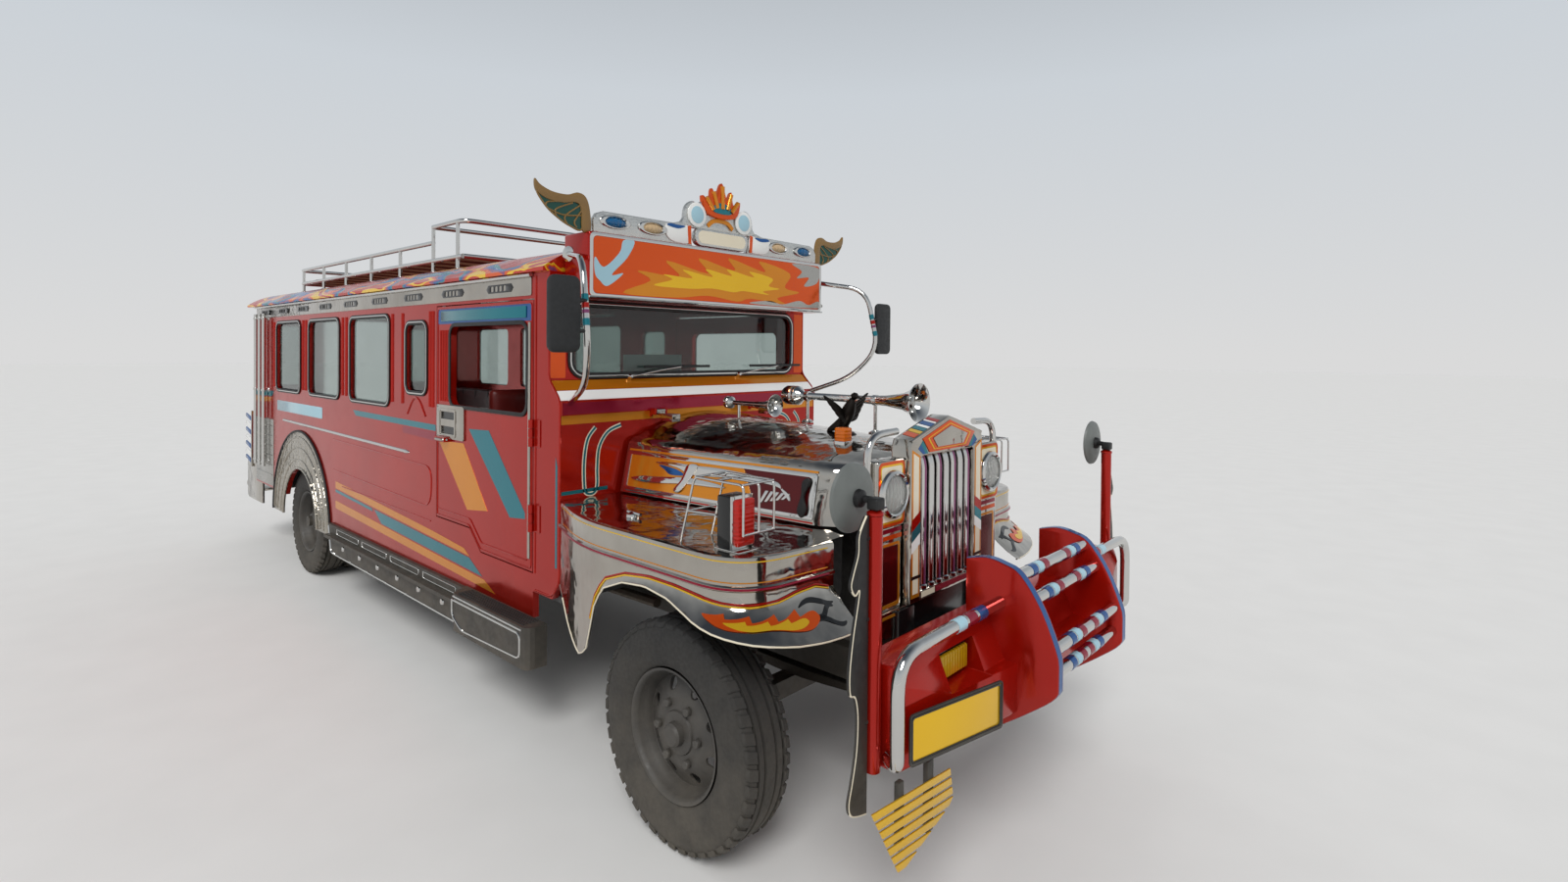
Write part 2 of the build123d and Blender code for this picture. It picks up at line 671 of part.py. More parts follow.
for x, y, z in marker_spots:
    marker = block(x - marker_half, x + marker_half, y - marker_half, y + marker_half, z - 60, z + 60)
    markers.append(marker - hood_core)
keep("marker_lamps", markers)

# Grille shell with a peaked, rounded top, and seven tubes that bend back into it
shell_half = 270
opening_half = 192
opening_low_z = 825
opening_top_z = 1325
shell_low_z = 790
shell_side_z = 1385
peak_z = 1465
shell_points = [(-shell_half, shell_low_z), (shell_half, shell_low_z), (shell_half, shell_side_z),
    (0, peak_z)]
shell_points = shell_points + [(-shell_half, shell_side_z)]
shell = front_plate(shell_points, grille_back_x, grille_front_x, [12, 12, 30, 40, 30])
opening = box_points(-opening_half, opening_half, opening_low_z, opening_top_z)
shell = shell - front_plate(opening, grille_back_x, grille_front_x, 16)
apron_half = 240
shell = shell + block(grille_back_x, grille_front_x, -apron_half, apron_half, rail_top_z, shell_low_z)
for side in (-1, 1):
    skirt_out = side * rail_out_y
    shell = shell + block(grille_front_x - 15, grille_front_x, side * apron_half, skirt_out, rail_top_z,
        shell_low_z)
keep("grille_shell", shell)
bar_count = 7
bar_pitch = 54
bar_radius = 15
bar_x = grille_front_x - 28
bars = []
for n in range(bar_count):
    y = (n - (bar_count - 1) / 2) * bar_pitch
    low = (bar_x, y, opening_low_z)
    bars.append(bent_tube([low, (bar_x, y, opening_top_z - 20), (bar_x - 45, y, opening_top_z)],
        bar_radius, 22))
top_lid = block(grille_back_x, grille_front_x, -shell_half, shell_half, opening_top_z, peak_z)
keep("grille_tubes", [bar - top_lid for bar in bars])
keep("radiator", block(grille_back_x - 50, grille_back_x, -210, 210, rail_top_z, opening_top_z - 100))

# Headlamps in square pods on slim columns, with a hoop over each side
pod_in = shell_half + 5
pod_out = 450
pod_front_x = grille_front_x - 18
pod_low_z = 1080
pod_top_z = 1328
column_front_x = pod_front_x - 12
pods = []
for side in (-1, 1):
    pod = front_plate(box_points(side * pod_in, side * pod_out, pod_low_z, pod_top_z), grille_back_x,
        pod_front_x, 22)
    column = block(grille_back_x + 20, column_front_x, side * pod_in, side * pod_out, shell_low_z,
        pod_low_z + 30)
    base = block(grille_back_x, pod_front_x, side * (apron_half + 5), side * pod_out, rail_top_z, shell_low_z)
    pods.append(fuse([pod, column, base]))
keep("headlamp_boxes", pods)
lamp_y = (pod_in + pod_out) / 2
lamp_z = 1205
lamp_radius = 76
lamps = []
for side in (-1, 1):
    face = Plane(origin=(pod_front_x, side * lamp_y, lamp_z), x_dir=(0, 1, 0), z_dir=(1, 0, 0))
    rings = [face.offset(step) * RegularPolygon(radius, 16) for step, radius in ((0, lamp_radius), (22, 46))]
    lamps.append(loft(rings, ruled=True))
hoop_x = (grille_back_x + pod_front_x) / 2
hoop_y = pod_out + 14
hoop_top_z = 1416
guards = []
for side in (-1, 1):
    hoop = [(hoop_x, side * hoop_y, shell_low_z), (hoop_x, side * hoop_y, hoop_top_z)]
    guards.append(bent_tube(hoop + [(hoop_x, side * (shell_half + 14), hoop_top_z)], 14, 70))

# Fenders: a flat top, a wall that turns round the front corner, and a waved lip that flares out
fender_out = body_half + 130
fender_sheet = 12
fender_edge = [
    (cowl_front_x, -body_half),
    (cowl_front_x + 350, -fender_out),
    (2925, -fender_out),
    (grille_back_x - 32, -560),
]
fender_inner_edge = [(grille_back_x - 60, -470), (grille_back_x - 200, -425), (cowl_front_x, -525)]
edge_radii = [400, 270]
corner_radii = [0] + edge_radii + [30, 30, 30, 0]
wheel_arch = [(2010, 400), (2120, 620), (2140, 740), (2210, 830), (2340, 880), (3300, 890), (3300, 400)]
arch_radii = [0, 150, 120, 120, 200, 0, 0]
rear_foot = [(1600, 400), (1600, 700), (1700, 700), (1900, 560), (2010, 520), (2010, 400)]
plan = outline([(x, y, wall_low_z) for x, y in fender_edge + fender_inner_edge], corner_radii, 5)
fender = extrude(plan, amount=fender_top_z - wall_low_z, dir=(0, 0, 1))
hollow = offset(plan, -fender_sheet, kind=Kind.INTERSECTION)
fender = fender - extrude(hollow, amount=fender_top_z - wall_low_z - fender_sheet, dir=(0, 0, 1))
fender = fender - side_plate(wheel_arch, -1.3 * fender_out, -300, arch_radii)
fender = fender - side_plate(rear_foot, -1.3 * fender_out, -300)
lip_table = [
    # distance along the edge, how far the lip reaches out, height of its crease, height of its rim
    (640, 14, 915, 880),
    (800, 18, 922, 893),
    (940, 30, 922, 884),
    (1050, 50, 915, 862),
    (1150, 75, 905, 835),
    (1250, 100, 900, 812),
    (1340, 120, 905, 797),
    (1420, 132, 920, 790),
    (1500, 137, 925, 790),
    (1560, 137, 905, 792),
]
edge_line = FilletPolyline(*fender_edge, radius=edge_radii)
lip_sections = []
for distance, reach, crease, rim_z in lip_table:
    spot = edge_line.position_at(distance, position_mode=PositionMode.LENGTH)
    run = edge_line.tangent_at(distance, position_mode=PositionMode.LENGTH)
    out = Vector(run.Y, -run.X, 0)
    middle = crease - 0.5 * (crease - rim_z)
    shape = [(-4, crease), (0.4 * reach, middle), (reach, rim_z), (reach - 8, rim_z - 7), (-9, crease - 16)]
    lip_sections.append([spot + out * away + Vector(0, 0, z) for away, z in shape])
fender = fender + faceted(lip_sections)
keep("fender_right", fender)
keep("fender_left", mirror(fender, about=Plane.XZ))

# Square lamps on the fenders, each inside a cage of bent wire
cage_y = fender_out - 120
cage_half = 70
cage_rear_x = 2590
cage_front_x = 2893
cage_top_z = fender_top_z + 230
cage_low_z = fender_top_z + 65
wire = 5
for side in (-1, 1):
    y_mid = side * cage_y
    lamps.append(block(2740, 2850, y_mid - 48, y_mid + 48, fender_top_z, fender_top_z + 180))
    wires = []
    for y in (y_mid - cage_half, y_mid + cage_half):
        bow = [(cage_rear_x, y, fender_top_z - 10), (cage_rear_x + 66, y, cage_top_z),
            (cage_front_x, y, cage_top_z)]
        wires.append(bent_tube(bow + [(cage_front_x, y, cage_low_z)], wire, 18, 6))
    for x, z in ((cage_rear_x + 90, cage_top_z), (cage_front_x - 120, cage_top_z),
        (cage_front_x, cage_low_z + 10)):
        wires.append(tube((x, y_mid - cage_half, z), (x, y_mid + cage_half, z), wire, 6))
    wires.append(tube((cage_rear_x + 90, y_mid, cage_top_z), (cage_front_x, y_mid, cage_top_z), wire, 6))
    wires.append(tube((cage_front_x, y_mid, cage_low_z + 10), (cage_front_x, y_mid, cage_top_z), wire, 6))
    wires.append(tube((2845, y_mid, fender_top_z + 145), (cage_front_x + 4, y_mid, fender_top_z + 145),
        wire, 6))
    guards.append(cut(fuse(wires), [pieces["fender_right"], pieces["fender_left"], lamps[-1]]))
keep("lamp_guards", guards)

# Front bumper: a swept box beam with a sloping face and a recess for each fog lamp
bumper_half = body_half + 30
bumper_low_z = 560
bumper_top_z = 850
beam_end_x = rail_front_x + 135
beam_front_x = rail_front_x + 220
plate_in = 268
plate_out = 310
fog_low_z = 715
fog_y = (440, 640)
beam_plan = [(rail_front_x, -bumper_half), (beam_end_x, -bumper_half), (beam_front_x, -300),
    (beam_front_x, 300)]
beam_plan = beam_plan + [(beam_end_x, bumper_half), (rail_front_x, bumper_half)]
bumper = plan_plate(beam_plan, bumper_low_z, bumper_top_z, [0, 25, 200, 200, 25, 0])
slope = [(beam_front_x + 80, 700), (beam_front_x - 50, 720), (rail_front_x + 100, 880),
    (beam_front_x + 80, 900)]
bumper = bumper - side_plate(slope, -bumper_half - 30, bumper_half + 30)
fogs = []
for side in (-1, 1):
    y0 = side * fog_y[0]
    y1 = side * fog_y[1]
    bumper = bumper - block(rail_front_x + 80, front_tip_x, y0, y1, fog_low_z, fog_low_z + 105)
    fog = block(rail_front_x + 80, rail_front_x + 125, y0 + side * 10, y1 - side * 10, fog_low_z + 7,
        fog_low_z + 97)
    fogs.append(fog)

# Two upright plates through the beam, tied by four tubes, and a bent tube round each end
plate_profile = [
    (rail_front_x + 30, 1020),
    (rail_front_x + 100, 1035),
    (beam_front_x, 1000),
    (front_tip_x, 760),
    (front_tip_x - 5, 650),
    (rail_front_x + 170, 505),
    (rail_front_x + 30, 505),
]
uprights = []
for side in (-1, 1):
    uprights.append(side_plate(plate_profile, side * plate_in, side * plate_out, [0, 90, 110, 90, 90, 40, 0]))
keep("bumper_beam", cut(bumper, uprights))
keep("bumper_plates", uprights)
tie_radius = 22
tie_table = [
    # how far behind the tip, height
    (150, 985),
    (105, 915),
    (35, 775),
    (40, 690),
]
front_tubes = []
for behind, z in tie_table:
    x = front_tip_x - behind
    front_tubes.append(tube((x, -plate_in, z), (x, plate_in, z), tie_radius))
guard_x = beam_end_x + 20
guard_top_z = 895
guard_y = bumper_half + 30
for side in (-1, 1):
    guard = [(guard_x, side * plate_out, guard_top_z), (guard_x, side * guard_y, guard_top_z)]
    guard = guard + [(guard_x, side * guard_y, 600), (rail_front_x + 90, side * (bumper_half - 25), 600)]
    front_tubes.append(bent_tube(guard, 20, [0, 90, 30, 0]))
trimmed = []
for part in front_tubes:
    part = part - bumper
    trimmed.append(part.solids().sort_by(SortBy.VOLUME)[-1])
keep("bumper_tubes", trimmed)

# Tail lamps on the rear wall complete the lamps
tail_low_z = floor_top_z + 90
tail_lamps = both(block(body_rear_x - 25, body_rear_x, 20 - inner_half, 120 - inner_half, tail_low_z,
    tail_low_z + 160))
keep("lamps", lamps + fogs + tail_lamps)

# Upright posts, plates with a curled edge, and round mirrors on clamps
post_x = rail_front_x + 72
post_y = bumper_half + 22
post_top_z = 1270
scroll_in = post_y + 26
scroll_edge = [
    # how far out from the plate's inner edge, height
    (0, 450),
    (72, 470),
    (47, 640),
    (82, 820),
    (57, 1000),
    (77, 1090),
    (22, 1265),
    (0, 1265),
]
scroll_radii = [0, 25, 120, 60, 90, 25, 18, 0]
mirror_x = post_x - 72
mirror_z = post_top_z + 30
posts = []
scrolls = []
mirrors = []
for side in (-1, 1):
    post = tube((post_x, side * post_y, bumper_low_z), (post_x, side * post_y, post_top_z), 22, 12)
    edge = [(side * (scroll_in + out), z) for out, z in scroll_edge]
    scroll = front_plate(edge, post_x - 15, post_x, scroll_radii)
    scroll = scroll + block(post_x - 15, post_x, side * post_y, side * (scroll_in + 1), 600, 700)
    posts.append(post)
    scrolls.append(scroll - post)
    y = side * (post_y + 13)
    glass = tube((mirror_x, y, mirror_z), (mirror_x + 18, y, mirror_z), 98, 20)
    glass = glass + tube((mirror_x + 18, side * post_y, mirror_z - 12),
        (post_x, side * post_y, mirror_z - 12), 10)
    glass = glass + tube((post_x, side * post_y, post_top_z), (post_x, side * post_y, mirror_z), 18)
    mirrors.append(glass)
keep("bumper_posts", posts + scrolls)

# Number plate left plain, and a slatted plate below it
board_spot = Pos(beam_front_x - 17, -660, 655) * Rot(0, 0, -12)
stay = block(rail_front_x + 140, beam_front_x - 20, -690, -650, 640, 665)
board = board_spot * Box(8, 390, 140) + stay
slat_count = 6
slatted = block(beam_front_x - 80, beam_front_x - 50, -860, -820, 360, bumper_low_z)
slatted = slatted + block(beam_front_x - 80, beam_front_x - 50, -760, -720, 420, bumper_low_z)
for n in range(slat_count):
    z = 345 + 30 * n
    left_y = -1010 + 18 * (slat_count - 1 - n)
    right_y = -640 - max(0, 55 * (2 - n))
    slat = [(left_y, z + 14), (right_y, z), (right_y, z + 20), (left_y, z + 34)]
    slatted = slatted + front_plate(slat, beam_front_x - 52, beam_front_x - 44)
keep("number_plates", [board - pieces["bumper_beam"], slatted])

# Header sign over the windscreen
sign_half = body_half - 66
sign_low_z = screen_top_z + 21
sign_top_z = crown_z - 1
sign_depth = 200
sign_outline = box_points(-sign_half, sign_half, sign_low_z, sign_top_z)
keep("header_sign", front_plate(sign_outline, screen_x, screen_x + sign_depth, 14))

# Crest on the sign: a panel with four oval lamps, a cartouche, two ovals and a lobed crown
crest_x = screen_x + 145
crest_panel = 30
crest_half = sign_half - 34
panel_top_z = sign_top_z + 98
crest_points = [(-crest_half, sign_top_z), (crest_half, sign_top_z), (crest_half, panel_top_z - 20)]
crest_points = crest_points + [(crest_half - 50, panel_top_z), (-crest_half + 50, panel_top_z)]
crest_points = crest_points + [(-crest_half, panel_top_z - 20)]
crest = front_plate(crest_points, crest_x, crest_x + crest_panel, [0, 0, 12, 30, 30, 12])
oval_table = [
    # how far from the middle, height above the sign, half width, half height, how far it stands out
    (0.815 * sign_half, 54, 70, 27, 14),
    (0.55 * sign_half, 54, 72, 28, 14),
    (158, 152, 58, 60, 4),
]
for y, rise, half_width, half_height, out in oval_table:
    for side in (-1, 1):
        front_x = crest_x + crest_panel + out
        crest = crest + oval(crest_x, front_x, side * y, sign_top_z + rise, half_width, half_height)
cartouche = box_points(-178, 178, sign_top_z, sign_top_z + 92)
crest = crest + front_plate(cartouche, crest_x, crest_x + crest_panel + 14, [0, 0, 38, 38])
crown_foot_z = sign_top_z + 90
backing = box_points(-110, 110, crown_foot_z, crown_foot_z + 140)
crest = crest + front_plate(backing, crest_x, crest_x + crest_panel, [0, 0, 30, 30])
lobe_count = 5
lobe_length = 150
for n in range(lobe_count):
    lean = (n - (lobe_count - 1) / 2) * 24
    reach = lobe_length - 0.35 * abs(lean)
    y = (reach / 2 + 5) * math.sin(math.radians(lean))
    z = sign_top_z + 174 + (reach / 2 + 5) * math.cos(math.radians(lean))
    crest = crest + oval(crest_x, crest_x + crest_panel, y, z, 24, reach / 2 + 7, lean, 12)

# Wings at the sign's ends: a bow with three feathers below it
wing_root_y = sign_half - 30
bow = [
    # how far out from the root, height above the sign
    (0, 0),
    (36, 0),
    (40, 60),
    (82, 98),
    (150, 100),
    (266, 186),
    (226, 176),
    (140, 142),
    (60, 160),
    (14, 140),
    (0, 80),
]
bow_radii = [0, 0, 20, 30, 60, 0, 20, 60, 30, 20, 0]
feathers = [
    # tip out, tip height, root height, width
    (90, 8, 66, 26),
    (162, 40, 88, 28),
    (222, 88, 100, 26),
]
wings = []
for side in (-1, 1):
    edge = [(side * (wing_root_y + out), sign_top_z + z) for out, z in bow]
    wing = front_plate(edge, crest_x + 7, crest_x + 31, bow_radii)
    for tip_out, tip_z, root_z, width in feathers:
        blade = [(20, root_z), (tip_out - 20, tip_z), (tip_out, tip_z + 14),
            (tip_out - 12, tip_z + 14 + width)]
        blade = blade + [(20, root_z + width)]
        blade = [(side * (wing_root_y + out), sign_top_z + z) for out, z in blade]
        wing = wing + front_plate(blade, crest_x + 10, crest_x + 26)
    wings.append(wing)
keep("sign_crest", [cut(crest, wings)] + wings)

# Roof rack: bent rails on posts, with a higher bay at the front and a slatted floor
rack_rear_x = body_rear_x + 420
rack_front_x = 300
rack_bay = 400
rack_step_x = rack_front_x - rack_bay
rack_half = body_half - 220
rack_floor_z = crown_z + 25
rack_low_top_z = rack_floor_z + 110
rack_high_top_z = rack_floor_z + 205
rack_tube = 14
rack_sides = 6
rack_bend = 70
post_tube = 11
rear_posts = 5
rack_parts = []
for z, x0, x1 in ((rack_floor_z, rack_rear_x, rack_front_x), (rack_low_top_z, rack_rear_x, rack_step_x)):
    hoop = [(x1, -rack_half, z), (x0, -rack_half, z), (x0, rack_half, z), (x1, rack_half, z)]
    rack_parts.append(bent_tube(hoop, rack_tube, rack_bend, rack_sides))
rack_parts.append(tube((rack_front_x, -rack_half, rack_floor_z), (rack_front_x, rack_half, rack_floor_z),
    rack_tube, rack_sides))
high = [(rack_step_x, -rack_half, rack_high_top_z), (rack_front_x, -rack_half, rack_high_top_z)]
high = high + [(rack_front_x, rack_half, rack_high_top_z), (rack_step_x, rack_half, rack_high_top_z)]
rack_parts.append(bent_tube(high, rack_tube, rack_bend, rack_sides))
rack_parts.append(tube(high[0], high[-1], rack_tube, rack_sides))
post_foot_z = eaves_z + 95
for side in (-1, 1):
    y = side * rack_half
    for n in range(rear_posts):
        x = rack_rear_x + rack_bend + n * (rack_step_x - rack_rear_x - rack_bend) / rear_posts
        rack_parts.append(tube((x, y, post_foot_z), (x, y, rack_low_top_z), post_tube, rack_sides))
    for x in (rack_step_x, rack_front_x - rack_bend):
        rack_parts.append(tube((x, y, post_foot_z), (x, y, rack_high_top_z), post_tube, rack_sides))
rack = fuse(rack_parts) - full_roof
keep("roof_rack", rack)
slat_pitch = 225
slat_half = 55
slat_end_y = rack_half - 8
slats = []
for n in range(13):
    x = rack_rear_x + 130 + n * slat_pitch
    slats.append(block(x - slat_half, x + slat_half, -slat_end_y, slat_end_y, rack_floor_z - 12,
        rack_floor_z + 8))
for y in (-0.55 * rack_half, 0.55 * rack_half):
    slats.append(block(rack_rear_x + 14, rack_front_x - 14, y - 15, y + 15, crown_z - 40, rack_floor_z - 12))
keep("rack_floor", fuse(slats) - full_roof - rack)

# Rear step: a tread with a raised pad between side plates, slatted corner panels and a tube bumper
step_rear_x = body_rear_x - step_reach
step_z = rail_low_z
step_half = body_half - 60
step_plate = 20
tread = 25
pad_rise = 6
pad_half = rail_in_y - 10
rear_step = block(step_rear_x, body_rear_x, -step_half, step_half, step_z - tread, step_z)
rear_step = rear_step + block(step_rear_x + 20, body_rear_x - 20, -pad_half, pad_half, step_z,
    step_z + pad_rise)
bar_radius_rear = 22
rear_bar_x = step_rear_x - 28
rear_bar_z = step_z - 12
fin_count = 7
fin_pitch = 62
fin_low_z = 705
for side in (-1, 1):
    side_y = side * step_half
    out_y = side * (step_half + step_plate)
    cheek = [(step_rear_x, 350), (body_rear_x, 350), (body_rear_x, 700), (step_rear_x, 700)]
    rear_step = rear_step + side_plate(cheek, side_y, out_y, [60, 0, 0, 40])
    fin_y = out_y + side * 15
    for n in range(fin_count):
        z = fin_low_z + n * fin_pitch
        fin = [(step_rear_x, z), (step_rear_x + 180, z - 35), (step_rear_x + 180, z), (step_rear_x, z + 30)]
        rear_step = rear_step + side_plate(fin, out_y, fin_y)
    stile_x = step_rear_x + 175
    rear_step = rear_step + block(stile_x, stile_x + 20, out_y, fin_y, 640, fin_low_z + fin_count * fin_pitch)
rear_bar = tube((rear_bar_x, -step_half - 10, rear_bar_z), (rear_bar_x, step_half + 10, rear_bar_z),
    bar_radius_rear, 12)
for y in (-500, 500):
    rear_bar = rear_bar + block(rear_bar_x, step_rear_x + 10, y - 30, y + 30, rear_bar_z - 12,
        rear_bar_z + 12)
keep("rear_step", rear_step + rear_bar)

# Corner tubes outside the rear corners, grab poles at the doorway and ceiling rails
corner_y = body_half + 34
corner_low_z = 720
corner_top_z = 1980
rail_level_z = 1940
pole_x = body_rear_x - 120
pole_y = doorway_half + 32
rails_in = []
for side in (-1, 1):
    y = side * corner_y
    for x in (body_rear_x + 120, body_rear_x + 240, body_rear_x + 360):
        upright = tube((x, y, corner_low_z), (x, y, corner_top_z), 15)
        for z in (corner_low_z + 40, 1350, corner_top_z - 40):
            upright = upright + tube((x, side * body_half, z), (x, y, z), 9, 4)
        rails_in.append(upright)
    y = side * pole_y
    pole = tube((pole_x, y, step_z), (pole_x, y, crown_z + 30), 17) - full_roof
    rails_in.append(pole.solids().sort_by(Axis.Z)[0])
    ceiling = tube((body_rear_x + 170, y, rail_level_z), (door_rear_x - 120, y, rail_level_z), 14)
    for x in (body_rear_x + 220, -1300, door_rear_x - 170):
        hanger = tube((x, y, rail_level_z), (x, y, crown_z + 90), 9, 4)
        ceiling = ceiling + hanger - full_roof + (hanger & roof_hollow)
    rails_in.append(ceiling.solids().sort_by(SortBy.VOLUME)[-1])
keep("grab_rails", rails_in)

# Side steps and skirts below the walls, and the polished discs around the rear wheels
skirt_low_z = 300
skirt_x0 = wall_tuck_x + 100
board_x0 = door_rear_x + 410
skirts = []
for side in (-1, 1):
    in_y = side * (body_half - 24)
    mid_y = side * (body_half + 22)
    out_y = side * (body_half + 120)
    profile = [(skirt_x0, wall_low_z), (skirt_x0 + 60, skirt_low_z), (door_front_x - 40, skirt_low_z)]
    skirt = side_plate(profile + [(door_front_x - 40, wall_low_z)], in_y, mid_y, [0, 40, 20, 0])
    board = [(board_x0, mid_y), (board_x0 + 60, out_y), (screen_x + 30, out_y), (screen_x + 30, mid_y)]
    skirt = skirt + plan_plate(board, skirt_low_z + 40, wall_low_z + 20, [0, 40, 40, 0])
    skirt = skirt + block(skirt_x0 + 40, board_x0, mid_y, side * (body_half + 60), 420, 440)
    skirts.append(skirt)
keep("running_boards", skirts)
flare_radius = 690
flare_out = 18
flares = []
for side in (-1, 1):
    near = side * body_half
    far = side * (body_half + flare_out)
    full = disc(rear_axle_x, near, far, flare_radius, tread_sides)
    full = full - disc(rear_axle_x, near, far, arch_radius, tread_sides)
    above = block(rear_axle_x - 800, rear_axle_x + 800, near, far, axle_z + 10, 1200)
    flares.append((full & above).solids()[0])
keep("wheel_flares", flares)

# Side mirrors on bent tubes from the sign's ends down to the cowl's ledge
arm_radius = 14
arm_table = [
    # station, how far out from the body side, height
    (screen_x + 45, sign_half - body_half, 2120),
    (screen_x + 400, 95, 2060),
    (screen_x + 470, 115, 1720),
    (screen_x + 340, 40, 1560),
    (cowl_front_x + 12, -40, ledge_z - 10),
]
mirror_in = body_half + 132
mirror_out = body_half + 270
arms = []
for side in (-1, 1):
    path = [(x, side * (body_half + out), z) for x, out, z in arm_table]
    arm = cut(bent_tube(path, arm_radius, 90), [pieces["header_sign"], pieces["cowl"]])
    arms.append(arm.solids().sort_by(SortBy.VOLUME)[-1])
    face = front_plate(box_points(side * mirror_in, side * mirror_out, 1690, 1985), 2035, 2065, 24)
    bracket = block(2040, 2060, side * (body_half + 104), side * (mirror_in + 2), 1880, 1905)
    mirrors.append(face + bracket - arms[-1])
keep("mirror_arms", arms)
keep("mirrors", mirrors)

# Steering knuckles: a fork round the axle's eye, kingpin, spindle and arm
fork_half = 30
fork_gap = 3
fork_sheet = 18
fork_top_z = axle_z + eye_half + fork_gap
fork_low_z = axle_z - eye_half - fork_gap
fork_out_y = kingpin_y + 58
spindle_end = front_tyre_mid_y + 82
wheel_spindle = 25
arm_back = 150
arm_top_z = axle_z - 60
link_pin = 7
knuckle_parts = []
for low, high in ((fork_top_z, fork_top_z + fork_sheet), (fork_low_z - fork_sheet, fork_low_z)):
    knuckle_parts.append(block(front_axle_x - fork_half, front_axle_x + fork_half, -fork_out_y,
        fork_half - kingpin_y, low, high))
cheek_in = -kingpin_y - eye_radius - 4
knuckle_parts.append(block(front_axle_x - fork_half, front_axle_x + fork_half, -fork_out_y, cheek_in,
    fork_low_z - fork_sheet, fork_top_z + fork_sheet))
pin_low = (front_axle_x, -kingpin_y, fork_low_z - fork_sheet)
knuckle_parts.append(pin(pin_low, (front_axle_x, -kingpin_y, fork_top_z + fork_sheet), pin_radius))
knuckle_parts.append(pin((front_axle_x, -spindle_end, axle_z), (front_axle_x, 8 - fork_out_y, axle_z),
    wheel_spindle))
knuckle_parts.append(block(front_axle_x - arm_back - 22, front_axle_x, -kingpin_y - 22, -kingpin_y + 22,
    arm_top_z - fork_sheet, arm_top_z))
link_x = front_axle_x - arm_back
knuckle = fuse(knuckle_parts) - Pos(link_x, -kingpin_y, arm_top_z) * Cylinder(link_pin + bore_gap, 60)
keep("knuckle_right", knuckle)
keep("knuckle_left", mirror(knuckle, about=Plane.XZ))

# Tie rod between the two arms, with a pin up into each
link_z = arm_top_z - 35
tie = tube((link_x, -kingpin_y, link_z), (link_x, kingpin_y, link_z), 13)
for side in (-1, 1):
    tie = tie + tube((link_x, side * kingpin_y, link_z - 11), (link_x, side * kingpin_y, link_z + 11), 22, 12)
    tie = tie + pin((link_x, side * kingpin_y, link_z), (link_x, side * kingpin_y, arm_top_z - 2), link_pin)
keep("tie_rod", tie)

# Tyres have bevelled shoulders; rims have a barrel, a dished disc and a hub
shoulder_bevel = 16
barrel_inset = 12
barrel_wall = 10
disc_half = 6
hub_radius = 80


def tyre_at(x, y, width):
    tyre = disc(x, y - width / 2, y + width / 2, axle_z, tread_sides)
    tyre = chamfer(tyre.edges().filter_by(Axis.Y, reverse=True), shoulder_bevel)
    return tyre - disc(x, y - width / 2, y + width / 2, rim_radius, rim_sides)


def rim_at(x, y, width, dish_y):
    half = width / 2 - barrel_inset
    barrel = disc(x, y - half, y + half, rim_radius, rim_sides)
    barrel = barrel - disc(x, y - half, y + half, rim_radius - barrel_wall, rim_sides)
    return barrel + disc(x, dish_y - disc_half, dish_y + disc_half, rim_radius - barrel_wall / 2, rim_sides)


for side, name in ((-1, "right"), (1, "left")):
    mid_y = side * front_tyre_mid_y
    keep("tyre_front_" + name, tyre_at(front_axle_x, mid_y, tyre_width))
    rim = rim_at(front_axle_x, mid_y, tyre_width, mid_y + side * disc_half * 2)
    rim = rim + disc(front_axle_x, mid_y - side * 73, mid_y + side * 77, hub_radius, 12)
    keep("rim_front_" + name, rim - disc(front_axle_x, 0, side * 1000, wheel_spindle + bore_gap))
    twin_mid = (twin_outer_mid_y, twin_inner_mid_y)
    keep("tyres_rear_" + name, [tyre_at(rear_axle_x, side * y, twin_tyre_width) for y in twin_mid])
    rims = disc(rear_axle_x, side * (twin_inner_mid_y - 50), side * (twin_outer_mid_y + 50), hub_radius, 12)
    for y in twin_mid:
        rims = rims + rim_at(rear_axle_x, side * y, twin_tyre_width, side * (y - 25))
    keep("rims_rear_" + name, rims - disc(rear_axle_x, 0, side * 1000, spindle_radius + bore_gap))

for name, shape in pieces.items():
    shape.label = name
    export_step(shape, "parts/" + name + ".step")
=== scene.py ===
# %% [markdown]
# A long passenger jeepney, dressed around its fixed frame.
# The frame already holds every structural piece at its real size and place. This lesson gives each
# surface its real finish and models the pieces whose beauty is in their shape: the mirror polished
# bonnet and fenders, the tube grille, the lamps, the painted stripes, the sign with its crest and
# wings, the padded benches and the tyres. Lengths are metres, X is forward, Y is to the vehicle's
# left and Z is up, with the ground at zero.

# %% Load the frame
import math

import bpy
from mathutils import Matrix, Vector


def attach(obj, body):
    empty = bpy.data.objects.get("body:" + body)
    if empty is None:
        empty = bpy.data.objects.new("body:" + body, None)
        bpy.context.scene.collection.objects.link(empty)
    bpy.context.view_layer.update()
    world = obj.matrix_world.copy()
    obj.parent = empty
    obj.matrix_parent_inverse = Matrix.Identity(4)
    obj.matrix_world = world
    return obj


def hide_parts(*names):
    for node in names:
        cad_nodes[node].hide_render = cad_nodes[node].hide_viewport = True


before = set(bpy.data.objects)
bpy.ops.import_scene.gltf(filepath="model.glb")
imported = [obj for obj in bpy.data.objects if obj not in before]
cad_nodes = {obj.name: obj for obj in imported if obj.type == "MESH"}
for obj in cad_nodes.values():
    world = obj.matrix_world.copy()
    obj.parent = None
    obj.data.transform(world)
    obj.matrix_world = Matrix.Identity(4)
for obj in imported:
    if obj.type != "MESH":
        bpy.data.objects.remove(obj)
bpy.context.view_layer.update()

sides = ((-1, "right"), (1, "left"))

